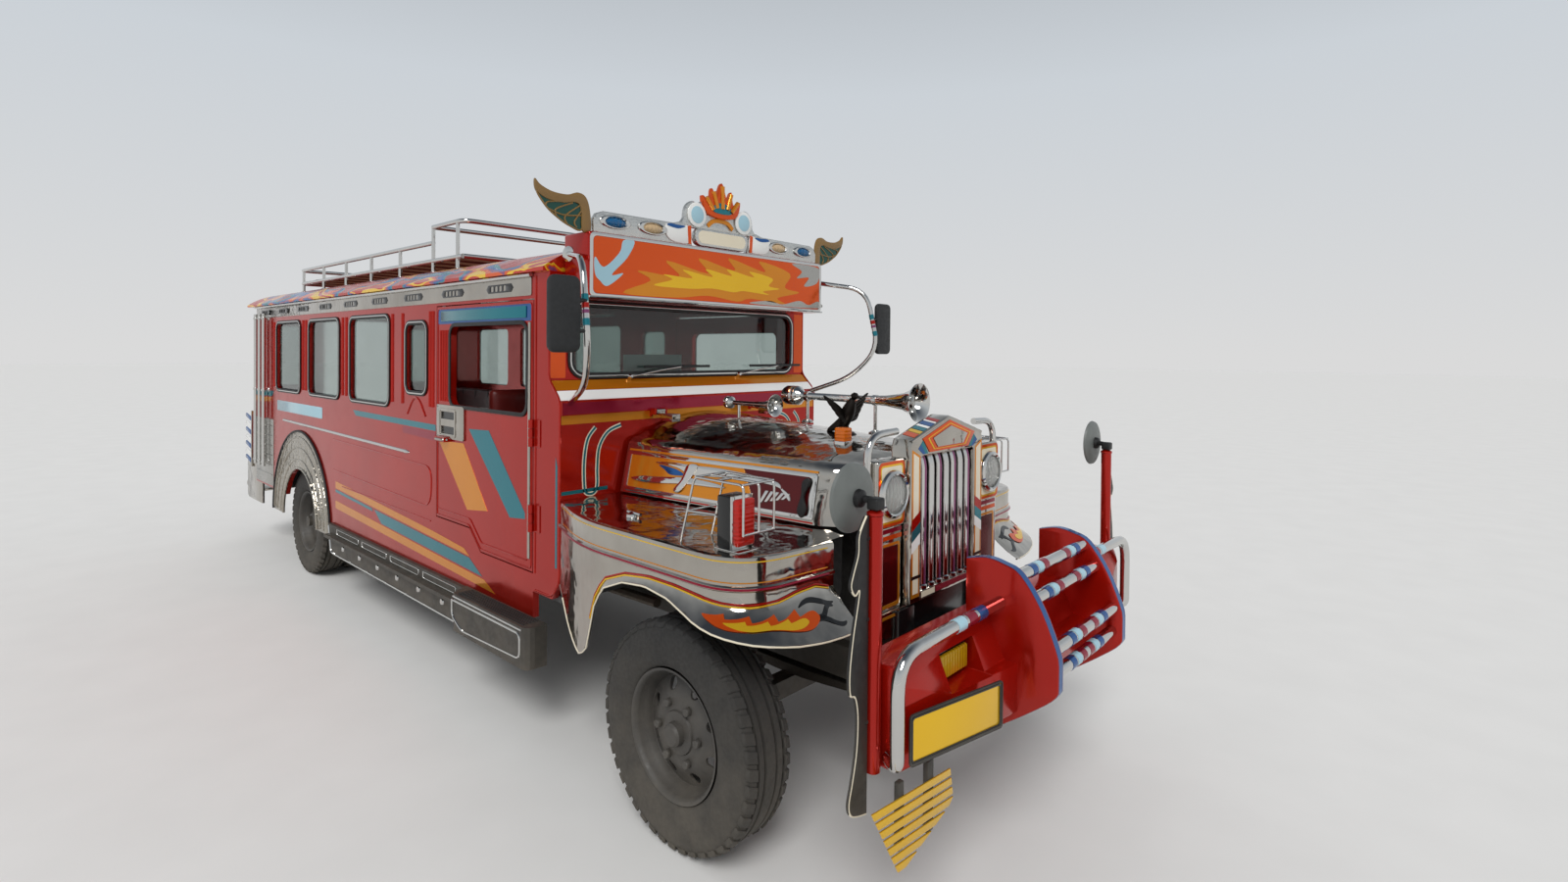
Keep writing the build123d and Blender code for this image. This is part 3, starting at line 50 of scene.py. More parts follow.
# %% [markdown]
# The camera comes first, because every later choice is judged through it. It stands where the
# photographer stood: just above eye height, close to the right front corner, with a wide lens. The
# small downward shift keeps the level of the horizon where the photograph has it.

# %% The photographer's camera
eye = Vector((4.552, -2.570, 1.703))
yaw_deg = 42.17
pitch_deg = -0.611
roll_deg = 0.49
view = bpy.data.cameras.new("camera")
view.lens = 17.21
view.sensor_width = 36
view.shift_y = -0.052
camera = bpy.data.objects.new("camera", view)
bpy.context.scene.collection.objects.link(camera)
aim = Matrix.Rotation(math.radians(yaw_deg), 4, "Z") @ Matrix.Rotation(math.radians(90 + pitch_deg), 4, "X")
camera.matrix_world = Matrix.Translation(eye) @ aim @ Matrix.Rotation(math.radians(roll_deg), 4, "Z")
bpy.context.scene.camera = camera
bpy.context.scene.view_settings.view_transform = "Standard"
print("camera at", tuple(eye), "with a lens of", view.lens, "mm")

# %% [markdown]
# Colours are picked as sRGB hex values, as on a paint card, and turned to linear light once. One
# small function adds a shader node with its settings and its links, so a material reads from top to
# bottom as the recipe that it is.


# %% Colour and node helpers
def linear(hex_colour):
    channels = [int(hex_colour[n:n + 2], 16) / 255 for n in (1, 3, 5)]
    return tuple(c / 12.92 if c <= 0.04045 else ((c + 0.055) / 1.055) ** 2.4 for c in channels) + (1,)


def add(tree, kind, settings=None, links=None):
    node = tree.nodes.new(kind)
    for key, value in (settings or {}).items():
        if isinstance(key, str) and hasattr(node, key):
            setattr(node, key, value)
        else:
            node.inputs[key].default_value = value
    for key, socket in (links or {}).items():
        tree.links.new(socket, node.inputs[key])
    return node


# %% [markdown]
# A plain studio: a pale matt floor, a soft sun as wide as a large softbox, and an even sky. Mirror
# metal is only as good as what it reflects, so the backdrop darkens gently towards the zenith, and
# rays that reflect or pass through glass see the same backdrop as the camera does.

# %% Floor, backdrop and lights
bpy.ops.object.select_all(action="DESELECT")
bpy.ops.mesh.primitive_circle_add(vertices=96, radius=90, fill_type="NGON", location=(0, 0, 0))
floor = bpy.context.object
floor.name = "studio_floor"
floor_paint = bpy.data.materials.new("matt_floor_paint")
floor_paint.use_nodes = True
tree = floor_paint.node_tree
place = add(tree, "ShaderNodeTexCoord")
speckle = add(tree, "ShaderNodeTexNoise", {"Scale": 3.0, "Detail": 6.0},
    {"Vector": place.outputs["Object"]})
shade = add(tree, "ShaderNodeMix", {"data_type": "RGBA", 6: linear("#E4E3E0"), 7: linear("#DCDBD8")},
    {0: speckle.outputs["Fac"]})
tree.links.new(shade.outputs[2], tree.nodes["Principled BSDF"].inputs["Base Color"])
tree.nodes["Principled BSDF"].inputs["Roughness"].default_value = 0.85
tree.nodes["Principled BSDF"].inputs["Specular IOR Level"].default_value = 0.2
floor.data.materials.append(floor_paint)

sky = bpy.data.worlds.new("studio_sky")
bpy.context.scene.world = sky
sky.use_nodes = True
tree = sky.node_tree
tree.nodes.clear()
place = add(tree, "ShaderNodeTexCoord")
height = add(tree, "ShaderNodeSeparateXYZ", None, {"Vector": place.outputs["Generated"]})
rise = add(tree, "ShaderNodeValToRGB", None, {"Fac": height.outputs["Z"]})
rise.color_ramp.elements[0].position = 0.0
rise.color_ramp.elements[0].color = linear("#DADADA")
rise.color_ramp.elements[1].position = 0.95
rise.color_ramp.elements[1].color = linear("#4A525E")
middle_sky = rise.color_ramp.elements.new(0.32)
middle_sky.color = linear("#CBD1D7")
seen_sky = add(tree, "ShaderNodeBackground", {"Strength": 1.0}, {"Color": rise.outputs["Color"]})
lit_sky = add(tree, "ShaderNodeBackground", {"Color": linear("#F4F6FA"), "Strength": 0.62})
ray = add(tree, "ShaderNodeLightPath")
mirror_ray = add(tree, "ShaderNodeMath", {"operation": "MAXIMUM"}, {0: ray.outputs["Is Camera Ray"],
    1: ray.outputs["Is Glossy Ray"]})
seen_ray = add(tree, "ShaderNodeMath", {"operation": "MAXIMUM"}, {0: mirror_ray.outputs["Value"],
    1: ray.outputs["Is Transmission Ray"]})
both_skies = add(tree, "ShaderNodeMixShader", None, {0: seen_ray.outputs["Value"],
    1: lit_sky.outputs["Background"], 2: seen_sky.outputs["Background"]})
add(tree, "ShaderNodeOutputWorld", None, {"Surface": both_skies.outputs["Shader"]})

sun_data = bpy.data.lights.new("soft_sun", "SUN")
sun_data.energy = 1.7
sun_data.angle = math.radians(26)
sun = bpy.data.objects.new("soft_sun", sun_data)
bpy.context.scene.collection.objects.link(sun)
sun_from = Vector((0.45, -0.62, 0.80))
sun.matrix_world = sun_from.to_track_quat("Z", "Y").to_matrix().to_4x4()
print("studio floor, sky and sun are set")

# %% [markdown]
# Most finishes are one recipe with different numbers: two close tones that drift from patch to patch,
# a roughness that wanders as a cloth leaves it, and a fine relief. Road dust sits on what is near the
# ground. Patterns read Object coordinates, which are metres on every piece here, so a scale is simply
# 1000 divided by the size in millimetres.


# %% The common finish
def surface(name, tones, patch_mm=180, rough=(0.3, 0.45), smear_mm=40, relief_mm=2.0, relief=0.1,
        metallic=0.0, coat=0.0, coat_rough=0.05, dust=0.0, dust_top=0.75, stretch=(1, 1, 1)):
    material = bpy.data.materials.new(name)
    material.use_nodes = True
    tree = material.node_tree
    shader = tree.nodes["Principled BSDF"]
    place = add(tree, "ShaderNodeTexCoord")
    turned_place = add(tree, "ShaderNodeMapping", {"Scale": stretch}, {"Vector": place.outputs["Object"]})
    vector = {"Vector": turned_place.outputs["Vector"]}
    drift = add(tree, "ShaderNodeTexNoise", {"Scale": 1000 / patch_mm, "Detail": 3.0}, vector)
    colour = add(tree, "ShaderNodeMix", {"data_type": "RGBA", 6: linear(tones[0]), 7: linear(tones[1])},
        {0: drift.outputs["Fac"]})
    base = colour.outputs[2]
    smear = add(tree, "ShaderNodeTexNoise", {"Scale": 1000 / smear_mm, "Detail": 5.0}, vector)
    gloss = add(tree, "ShaderNodeMapRange", {"From Min": 0.35, "From Max": 0.68, "To Min": rough[0],
        "To Max": rough[1]}, {"Value": smear.outputs["Fac"]})
    roughness = gloss.outputs["Result"]
    if dust:
        low = add(tree, "ShaderNodeSeparateXYZ", None, {"Vector": place.outputs["Object"]})
        fall = add(tree, "ShaderNodeMapRange", {"From Min": dust_top, "From Max": 0.0, "To Min": 0.0,
            "To Max": dust}, {"Value": low.outputs["Z"]})
        clumps = add(tree, "ShaderNodeTexNoise", {"Scale": 9.0, "Detail": 7.0, "Roughness": 0.65},
            {"Vector": place.outputs["Object"]})
        share = add(tree, "ShaderNodeMath", {"operation": "MULTIPLY", "use_clamp": True},
            {0: fall.outputs["Result"], 1: clumps.outputs["Fac"]})
        dusty = add(tree, "ShaderNodeMix", {"data_type": "RGBA", 7: linear("#8E8474")},
            {0: share.outputs["Value"], 6: base})
        base = dusty.outputs[2]
        dulled = add(tree, "ShaderNodeMix", {"data_type": "FLOAT", 3: 0.9}, {0: share.outputs["Value"],
            2: roughness})
        roughness = dulled.outputs[0]
    tree.links.new(base, shader.inputs["Base Color"])
    tree.links.new(roughness, shader.inputs["Roughness"])
    if relief:
        grain = add(tree, "ShaderNodeTexNoise", {"Scale": 1000 / relief_mm, "Detail": 2.0}, vector)
        bump = add(tree, "ShaderNodeBump", {"Strength": relief, "Distance": relief_mm / 1000},
            {"Height": grain.outputs["Fac"]})
        tree.links.new(bump.outputs["Normal"], shader.inputs["Normal"])
    shader.inputs["Metallic"].default_value = metallic
    shader.inputs["Coat Weight"].default_value = coat
    shader.inputs["Coat Roughness"].default_value = coat_rough
    if not metallic:
        shader.inputs["IOR"].default_value = 1.5
    return material


# %% [markdown]
# Body colour is candy enamel, sprayed by hand over bright stainless sheet. The steel shines through
# strong colours, so these are half metallic and tint what they mirror. White, cream, pale blue, black
# and bronze are opaque. All have a wet gloss and a faint orange peel of about 4 mm.

# %% Enamel colours
paint_card = {
    "red": ("#B71A0A", "#991307"),
    "pillar": ("#B81F0E", "#9E170A"),
    "orange": ("#DF5A14", "#CF480D"),
    "amber": ("#DD8F22", "#CC7A18"),
    "yellow": ("#EFC22A", "#E2AE1C"),
    "teal": ("#23808C", "#1A6E7B"),
    "blue": ("#1F5C9E", "#184B86"),
    "pale_blue": ("#A9CBD6", "#94BCCB"),
    "green": ("#27544A", "#1C443C"),
    "mauve": ("#8C4A72", "#7B3C62"),
    "magenta": ("#9C1A38", "#88122C"),
    "maroon": ("#5C0C10", "#4A080C"),
    "cream": ("#E8DFC9", "#DBD0B6"),
    "white": ("#EDEDEA", "#E0E0DC"),
    "black": ("#101112", "#0B0C0D"),
    "bronze": ("#8A6A36", "#75572A"),
}
enamel = {}
opaque_colours = ("white", "cream", "pale_blue", "black", "bronze")
for colour_name, tones in paint_card.items():
    shine_through = 0.0 if colour_name in opaque_colours else 0.55
    enamel[colour_name] = surface(colour_name + "_enamel", tones, patch_mm=420, rough=(0.10, 0.22),
        smear_mm=120, relief_mm=4.0, relief=0.03, metallic=shine_through, coat=0.12, coat_rough=0.04,
        dust=0.35, dust_top=0.7)
print("paint shop holds", len(enamel), "enamels")

# %% [markdown]
# The bright work is thin stainless sheet, beaten over formers and buffed to a mirror: it keeps slow
# waves a hand's width long, fine wiping haze, and no colour of its own. Tubes and lamp rims are
# plated, so they are smoother and a little brighter.

# %% Metals
mirror_steel = surface("mirror_polished_stainless", ("#C8C3BA", "#98928A"), patch_mm=240,
    rough=(0.05, 0.14), smear_mm=60, relief_mm=130, relief=0.075, metallic=1.0, dust=0.25, dust_top=0.6)
hammered_steel = surface("hammered_stainless", ("#BDB7AC", "#9C9588"), patch_mm=90, rough=(0.07, 0.20),
    smear_mm=25, relief_mm=38, relief=0.32, metallic=1.0, dust=0.3, dust_top=0.6)
chrome = surface("chrome_plate", ("#D6D5D2", "#C6C5C2"), patch_mm=200, rough=(0.04, 0.10), smear_mm=30,
    relief_mm=60, relief=0.015, metallic=1.0)
brushed_steel = surface("brushed_stainless", ("#B9B7B2", "#A5A39E"), patch_mm=160, rough=(0.24, 0.38),
    smear_mm=6, relief_mm=1.5, relief=0.06, metallic=1.0, stretch=(0.08, 1, 1))
aluminium = surface("mill_aluminium_sheet", ("#B8B9B9", "#A2A4A5"), patch_mm=90, rough=(0.30, 0.46),
    smear_mm=20, relief_mm=3, relief=0.05, metallic=1.0)
spring_steel = surface("spring_steel", ("#3B3733", "#2A2725"), patch_mm=40, rough=(0.5, 0.75),
    smear_mm=12, relief_mm=3, relief=0.25, metallic=0.7, dust=0.6)
cast_iron = surface("cast_iron", ("#353330", "#262422"), patch_mm=60, rough=(0.6, 0.8), smear_mm=15,
    relief_mm=2.5, relief=0.4, metallic=0.5, dust=0.5)
exhaust_steel = surface("aluminised_exhaust", ("#6E665C", "#544A40"), patch_mm=70, rough=(0.4, 0.65),
    smear_mm=18, relief_mm=4, relief=0.2, metallic=0.85, dust=0.6)
print("metals are mixed")

# %% [markdown]
# Paint on the chassis is brushed on thick and stays satin under dust. Rubber is dark grey rather
# than black, with almost no shine. Seat vinyl has a small leather-like grain, and the floor of the
# roof rack is painted wood whose grain runs along each slat.

# %% Chassis paint, rubber, vinyl and wood
# Besides the chassis, this black is painted shade on the skirts, which are bright metal lying in shadow.
chassis_black_and_skirt_shade = surface("chassis_black_paint_and_skirt_shade", ("#1A1A1A", "#111111"), patch_mm=80, rough=(0.42, 0.62),
    smear_mm=25, relief_mm=5, relief=0.12, dust=0.75, dust_top=0.9)
floor_sheet = surface("floor_sheet_paint", ("#4A4B4A", "#3A3B3B"), patch_mm=120, rough=(0.4, 0.6),
    smear_mm=30, relief_mm=6, relief=0.15)
tyre_rubber = surface("tyre_rubber", ("#262626", "#1C1C1C"), patch_mm=60, rough=(0.72, 0.92),
    smear_mm=14, relief=0.2, dust=0.55, dust_top=0.8)
seal_rubber = surface("seal_rubber", ("#161616", "#0F0F0F"), patch_mm=50, rough=(0.45, 0.6), smear_mm=10)
wheel_paint = surface("wheel_silver_black", ("#2B2C2E", "#1D1E20"), patch_mm=60, rough=(0.38, 0.55),
    smear_mm=14, relief_mm=4, dust=0.6, dust_top=0.9)
seat_vinyl = surface("seat_vinyl", ("#6A1A15", "#571410"), patch_mm=140, rough=(0.34, 0.48),
    smear_mm=22, relief_mm=2.2, relief=0.35, coat=0.1)
dash_plastic = surface("dash_vinyl", ("#232425", "#191A1B"), patch_mm=120, rough=(0.5, 0.65),
    smear_mm=18, relief_mm=2.5, relief=0.25)
slat_wood = surface("painted_wood_slats", ("#7A4A2C", "#5C3520"), patch_mm=26, rough=(0.5, 0.7),
    smear_mm=20, relief_mm=6, relief=0.3, stretch=(1, 0.06, 1))
radiator_black = surface("radiator_black", ("#141516", "#0D0E0F"), patch_mm=20, rough=(0.5, 0.7),
    smear_mm=8, relief_mm=3, relief=0.35, stretch=(1, 1, 0.1))
print("paints, rubbers and vinyl are mixed")

# %% [markdown]
# Window glass is a thin green-grey sheet that lets light through. Lamp lenses are moulded plastic or
# glass whose flutes, a few millimetres apart, scatter the light, so they get a wave relief.


# %% Glass and lenses
def glass(name, tint, rough=0.02, flute_mm=0, clear=1.0, flute_axis="Z"):
    material = bpy.data.materials.new(name)
    material.use_nodes = True
    tree = material.node_tree
    shader = tree.nodes["Principled BSDF"]
    place = add(tree, "ShaderNodeTexCoord")
    cloud = add(tree, "ShaderNodeTexNoise", {"Scale": 5.0, "Detail": 4.0},
        {"Vector": place.outputs["Object"]})
    darker = tuple(0.82 * c for c in linear(tint)[:3]) + (1,)
    colour = add(tree, "ShaderNodeMix", {"data_type": "RGBA", 6: linear(tint), 7: darker},
        {0: cloud.outputs["Fac"]})
    tree.links.new(colour.outputs[2], shader.inputs["Base Color"])
    haze = add(tree, "ShaderNodeMapRange", {"To Min": rough, "To Max": rough + 0.05},
        {"Value": cloud.outputs["Fac"]})
    tree.links.new(haze.outputs["Result"], shader.inputs["Roughness"])
    if flute_mm:
        flutes = add(tree, "ShaderNodeTexWave", {"bands_direction": flute_axis,
            "Scale": 1000 / flute_mm / 6.28}, {"Vector": place.outputs["Object"]})
        bump = add(tree, "ShaderNodeBump", {"Strength": 0.22, "Distance": flute_mm / 1000},
            {"Height": flutes.outputs["Fac"]})
        tree.links.new(bump.outputs["Normal"], shader.inputs["Normal"])
    shader.inputs["Transmission Weight"].default_value = clear
    shader.inputs["IOR"].default_value = 1.46
    return material


window_glass = glass("tinted_window_glass", "#A9B8B4")
lamp_glass = glass("fluted_lamp_glass", "#E4E6E2", 0.03, 9, 0.75, "Y")
red_lens = glass("red_lens", "#D6200E", 0.08, 7, 0.35)
amber_lens = glass("amber_lens", "#F07A10", 0.08, 7, 0.35)
yellow_lens = glass("yellow_fog_lens", "#E8B818", 0.06, 8, 0.4, "Y")
blue_lens = glass("blue_lens", "#1C6FA8", 0.05, 12, 0.4, "Y")
print("glass and lenses are cast")

# %% [markdown]
# The roof is sprayed freehand: tongues of teal, blue, mauve, orange and yellow lick along a red skin.
# Noise that is stretched along the roof and read through a hard-edged ramp gives such tongues, and
# they stay near the eaves, where the painter could reach.

# %% Flame paint on the roof
roof_paint = surface("roof_flame_enamel", ("#B4200E", "#98170B"), patch_mm=420, rough=(0.18, 0.34),
    smear_mm=120, relief_mm=4.0, relief=0.03, metallic=0.4, coat=0.2)
tree = roof_paint.node_tree
shader = tree.nodes["Principled BSDF"]
place = add(tree, "ShaderNodeTexCoord")
long_place = add(tree, "ShaderNodeMapping", {"Scale": (1.5, 3.2, 7.0)}, {"Vector": place.outputs["Object"]})
lick = add(tree, "ShaderNodeTexNoise", {"Scale": 1.0, "Detail": 2.5, "Distortion": 0.9},
    {"Vector": long_place.outputs["Vector"]})
tongues = add(tree, "ShaderNodeValToRGB", None, {"Fac": lick.outputs["Fac"]})
tongues.color_ramp.interpolation = "CONSTANT"
tongues.color_ramp.elements[0].color = linear("#B4200E")
tongues.color_ramp.elements[1].position = 0.46
tongues.color_ramp.elements[1].color = linear("#23808C")
for start, shade_hex in ((0.49, "#1F5C9E"), (0.52, "#8C4A72"), (0.545, "#DF5A14"), (0.57, "#EFC22A"),
        (0.60, "#C02A12")):
    step = tongues.color_ramp.elements.new(start)
    step.color = linear(shade_hex)
spot = add(tree, "ShaderNodeSeparateXYZ", None, {"Vector": place.outputs["Object"]})
near_eaves = add(tree, "ShaderNodeMapRange", {"From Min": 2.175, "From Max": 2.12, "To Min": 0.0,
    "To Max": 1.0}, {"Value": spot.outputs["Z"]})
plain_red = shader.inputs["Base Color"].links[0].from_socket
flamed = add(tree, "ShaderNodeMix", {"data_type": "RGBA"}, {0: near_eaves.outputs["Result"],
    6: plain_red, 7: tongues.outputs["Color"]})
tree.links.new(flamed.outputs[2], shader.inputs["Base Color"])
print("roof paint has", len(tongues.color_ramp.elements), "tones")

# %% [markdown]
# The structural pieces keep their shape and get these finishes. A table says which piece is made of
# what, with the left and right pieces of a pair on one line.

# %% Finishes of the frame's own pieces
frame_finishes = [
    (chassis_black_and_skirt_shade, ["chassis_frame", "front_axle", "rear_axle", "drive_shaft", "fuel_tank",
        "knuckle_right", "knuckle_left", "tie_rod"]),
    (spring_steel, ["leaf_springs"]),
    (cast_iron, ["engine_block"]),
    (exhaust_steel, ["exhaust_pipe"]),
    (floor_sheet, ["floor_pan", "seat_frames"]),
    (enamel["red"], ["side_wall_right", "side_wall_left", "rear_wall", "door_right", "door_left", "cowl"]),
    (roof_paint, ["roof_shell"]),
    (window_glass, ["glazing"]),
    (seal_rubber, ["window_seals"]),
    (seat_vinyl, ["seat_cushions"]),
    (dash_plastic, ["dashboard", "steering_wheel"]),
    (mirror_steel, ["grille_shell", "headlamp_boxes", "fender_right", "fender_left", "bonnet", "rear_step",
        "wheel_flares"]),
    (chrome, ["grille_tubes", "lamp_guards", "bumper_tubes", "mirror_arms", "roof_rack", "grab_rails",
        "bonnet_ornaments"]),
    (radiator_black, ["radiator"]),
    (red_lens, ["lamps"]),
    (amber_lens, ["marker_lamps"]),
    (enamel["red"], ["bumper_beam", "bumper_plates", "bumper_posts"]),
    (dash_plastic, ["mirrors"]),
    (enamel["yellow"], ["number_plates"]),
    (enamel["orange"], ["header_sign"]),
    (aluminium, ["sign_crest"]),
    (slat_wood, ["rack_floor"]),
    # The skirts and foot board are black as painted shade: the skirts are bright metal that lies in shadow.
    (chassis_black_and_skirt_shade, ["running_boards"]),
    (tyre_rubber, ["tyre_front_right", "tyre_front_left", "tyres_rear_right", "tyres_rear_left"]),
    (wheel_paint, ["rim_front_right", "rim_front_left", "rims_rear_right", "rims_rear_left"]),
]
for finish, node_names in frame_finishes:
    for node_name in node_names:
        cad_nodes[node_name].data.materials.clear()
        cad_nodes[node_name].data.materials.append(finish)
print("finished", sum(len(names) for finish, names in frame_finishes), "of", len(cad_nodes), "frame pieces")

# %% [markdown]
# Modelling is done with the same few moves that a hand would make: select one piece, press a
# modifier, cut a flat shape from sheet, bend a tube, turn a profile on a lathe, or bridge ribs with a
# skin. Each move is a short function, and each leaves its object at the origin with its place in
# its mesh, as the frame's own pieces are.


# %% Selecting, applying and joining
def only(*pieces):
    if bpy.context.object and bpy.context.object.mode != "OBJECT":
        bpy.ops.object.mode_set(mode="OBJECT")
    bpy.ops.object.select_all(action="DESELECT")
    for piece in pieces:
        piece.select_set(True)
    bpy.context.view_layer.objects.active = pieces[0]


def settle(piece):
    only(piece)
    bpy.ops.object.transform_apply(location=True, rotation=True, scale=True)
    return piece


def press(piece, kind, **settings):
    only(piece)
    modifier = piece.modifiers.new(kind.lower(), kind)
    for key, value in settings.items():
        setattr(modifier, key, value)
    bpy.ops.object.modifier_apply(modifier=modifier.name)
    return piece


def clean(piece):
    only(piece)
    bpy.ops.object.mode_set(mode="EDIT")
    bpy.ops.mesh.select_all(action="SELECT")
    bpy.ops.mesh.remove_doubles(threshold=0.00002)
    bpy.ops.mesh.normals_make_consistent(inside=False)
    bpy.ops.object.mode_set(mode="OBJECT")
    return piece


def join(name, pieces):
    only(*pieces)
    if len(pieces) > 1:
        bpy.ops.object.join()
    piece = bpy.context.object
    piece.name = name
    piece.data.name = name
    return piece


def copy_of(piece, name, shift=(0, 0, 0), flip=False):
    twin = piece.copy()
    twin.data = piece.data.copy()
    twin.name = name
    bpy.context.scene.collection.objects.link(twin)
    across = Matrix.Diagonal((1, -1, 1, 1)) if flip else Matrix.Identity(4)
    twin.matrix_world = Matrix.Translation(shift) @ across
    settle(twin)
    return clean(twin) if flip else twin


def fit(piece, finish, *stands_for, body="body", slot=None, angle_deg=38):
    only(piece)
    bpy.ops.object.shade_smooth_by_angle(angle=math.radians(angle_deg))
    material = enamel[finish] if isinstance(finish, str) else finish
    piece.data.materials.clear()
    piece.data.materials.append(material)
    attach(piece, body)
    for node_name in stands_for:
        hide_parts(node_name)
    return piece


def fit_colours(start, shapes_by_colour, slot="body_paint"):
    for colour_name, shapes in shapes_by_colour.items():
        fit(join(start + colour_name, shapes), colour_name, slot=slot)


def fit_pair(piece, name, finish):
    twin = copy_of(piece, name + "_left", flip=True)
    fit(piece, finish)
    fit(twin, finish)

# %% [markdown]
# Flat shapes are lists of points, in metres. Straight-edged ones are listed point by point. Round corners
# are worked out, and soft outlines are a smooth line through a few listed points, which is quicker to
# correct than dozens of them.


# %% Outlines
def quad(a0, a1, b0, b1):
    a0, a1 = sorted((a0, a1))
    return [(a0, b0), (a1, b0), (a1, b1), (a0, b1)]


def mirrored(outline, side):
    return [(side * a, b) for a, b in outline]


def rounded_box(a0, a1, b0, b1, radius, steps=5):
    a0, a1 = sorted((a0, a1))
    outline = []
    corners = ((a1 - radius, b1 - radius, 0), (a0 + radius, b1 - radius, 90), (a0 + radius, b0 + radius,
        180), (a1 - radius, b0 + radius, 270))
    for a, b, start in corners:
        for n in range(steps + 1):
            angle = math.radians(start + 90 * n / steps)
            outline.append((a + radius * math.cos(angle), b + radius * math.sin(angle)))
    return outline


def ellipse(a, b, half_a, half_b, count=32):
    turns = [2 * math.pi * n / count for n in range(count)]
    return [(a + half_a * math.cos(t), b + half_b * math.sin(t)) for t in turns]


def smooth(points, steps=6, closed=True):
    points = [Vector(p) for p in points]
    count = len(points)
    out = []
    spans = range(count) if closed else range(count - 1)
    for n in spans:
        if closed:
            before, start, end, after = (points[(n + k) % count] for k in (-1, 0, 1, 2))
        else:
            before, start, end, after = (points[min(max(n + k, 0), count - 1)] for k in (-1, 0, 1, 2))
        for k in range(steps):
            t = k / steps
            squared = (2 * before - 5 * start + 4 * end - after) * t * t
            cubed = (3 * start - before - 3 * end + after) * t ** 3
            spot = 0.5 * ((2 * start) + (end - before) * t + squared + cubed)
            out.append(tuple(spot))
    if not closed:
        out.append(tuple(points[-1]))
    return out


def with_bends(path, bend, steps=6):
    path = [Vector(p) for p in path]
    out = [path[0]]
    for before, corner, after in zip(path, path[1:], path[2:]):
        reach = min(bend, (before - corner).length * 0.48, (after - corner).length * 0.48)
        start = corner + (before - corner).normalized() * reach
        end = corner + (after - corner).normalized() * reach
        for n in range(steps + 1):
            t = n / steps
            out.append(start * (1 - t) ** 2 + corner * 2 * t * (1 - t) + end * t * t)
    return out + [path[-1]]

# %% [markdown]
# Four moves make nearly every piece: a flat outline becomes sheet with softened edges, a path becomes
# tube, a half profile is spun round its axis, and neighbouring ribs are bridged to a skin. Sheet and
# tube start as a curve, whose bevel gives an even edge, and are made a mesh at once.


# %% Cutting sheet, bending tube, turning and bridging
def from_curve(name, splines, flat, closed, **settings):
    curve = bpy.data.curves.new(name, "CURVE")
    curve.dimensions = "2D" if flat else "3D"
    if flat:
        curve.fill_mode = "BOTH"
    for key, value in settings.items():
        setattr(curve, key, value)
    for points in splines:
        spline = curve.splines.new("POLY")
        spline.points.add(len(points) - 1)
        for point, spot in zip(spline.points, points):
            point.co = (spot[0], spot[1], spot[2] if len(spot) > 2 else 0, 1)
        spline.use_cyclic_u = closed
    piece = bpy.data.objects.new(name, curve)
    bpy.context.scene.collection.objects.link(piece)
    only(piece)
    bpy.ops.object.convert(target="MESH")
    return bpy.context.object


def sheet(name, outlines, origin, along, up, depth=0.001, edge=0.0):
    piece = from_curve(name, outlines, True, True, extrude=max(depth / 2 - edge, 0.00005),
        bevel_depth=edge, bevel_resolution=1, offset=-edge)
    along = Vector(along).normalized()
    out = along.cross(Vector(up)).normalized()
    turn = Matrix((along, out.cross(along), out)).transposed().to_4x4()
    piece.matrix_world = Matrix.Translation(Vector(origin) + out * depth / 2) @ turn
    return clean(settle(piece))


def pipe(name, path, radius, bend=0.06, sides=3, closed=False):
    points = path if closed else with_bends(path, bend)
    piece = from_curve(name, [points], False, closed, bevel_depth=radius, bevel_resolution=sides,
        use_fill_caps=not closed)
    return clean(piece)


def turned(name, profile, centre, axis, steps=48):
    piece = from_curve(name, [[(r, 0, h) for r, h in profile]], False, False)
    only(piece)
    bpy.ops.object.mode_set(mode="EDIT")
    bpy.ops.mesh.select_all(action="SELECT")
    bpy.ops.mesh.spin(steps=steps, angle=2 * math.pi, center=(0, 0, 0), axis=(0, 0, 1))
    bpy.ops.object.mode_set(mode="OBJECT")
    turn = Vector((0, 0, 1)).rotation_difference(Vector(axis)).to_matrix().to_4x4()
    piece.matrix_world = Matrix.Translation(centre) @ turn
    return clean(settle(piece))


def skin(name, ribs, closed=False):
    strips = []
    for rib, next_rib in zip(ribs, ribs[1:]):
        pair = join(name, [from_curve("rib", [rib], False, closed), from_curve("rib", [next_rib], False,
            closed)])
        bpy.ops.object.mode_set(mode="EDIT")
        bpy.ops.mesh.select_all(action="SELECT")
        bpy.ops.mesh.bridge_edge_loops()
        bpy.ops.object.mode_set(mode="OBJECT")
        strips.append(pair)
    return clean(join(name, strips))


def brick(name, low, high, edge=0.003, segments=2):
    low, high = Vector(low), Vector(high)
    bpy.ops.object.select_all(action="DESELECT")
    bpy.ops.mesh.primitive_cube_add(size=1, location=(low + high) / 2)
    piece = bpy.context.object
    piece.name = name
    piece.scale = [abs(s) for s in high - low]
    settle(piece)
    return press(piece, "BEVEL", width=edge, segments=segments, limit_method="ANGLE")


print("the workshop is ready")

# %% [markdown]
# A truck tyre is a carcass with two bulging walls, circumferential ribs and a row of shoulder lugs.
# The carcass is a closed profile turned on the axle line. One pair of lugs is modelled and copied
# round the shoulders, because copies of one shape are what a mould makes.

# %% Tyres
axle_z = 0.390
tyre_radius = 0.390
rim_radius = 0.225
front_axle_x = 2.57
rear_axle_x = -1.90
lug_count = 44


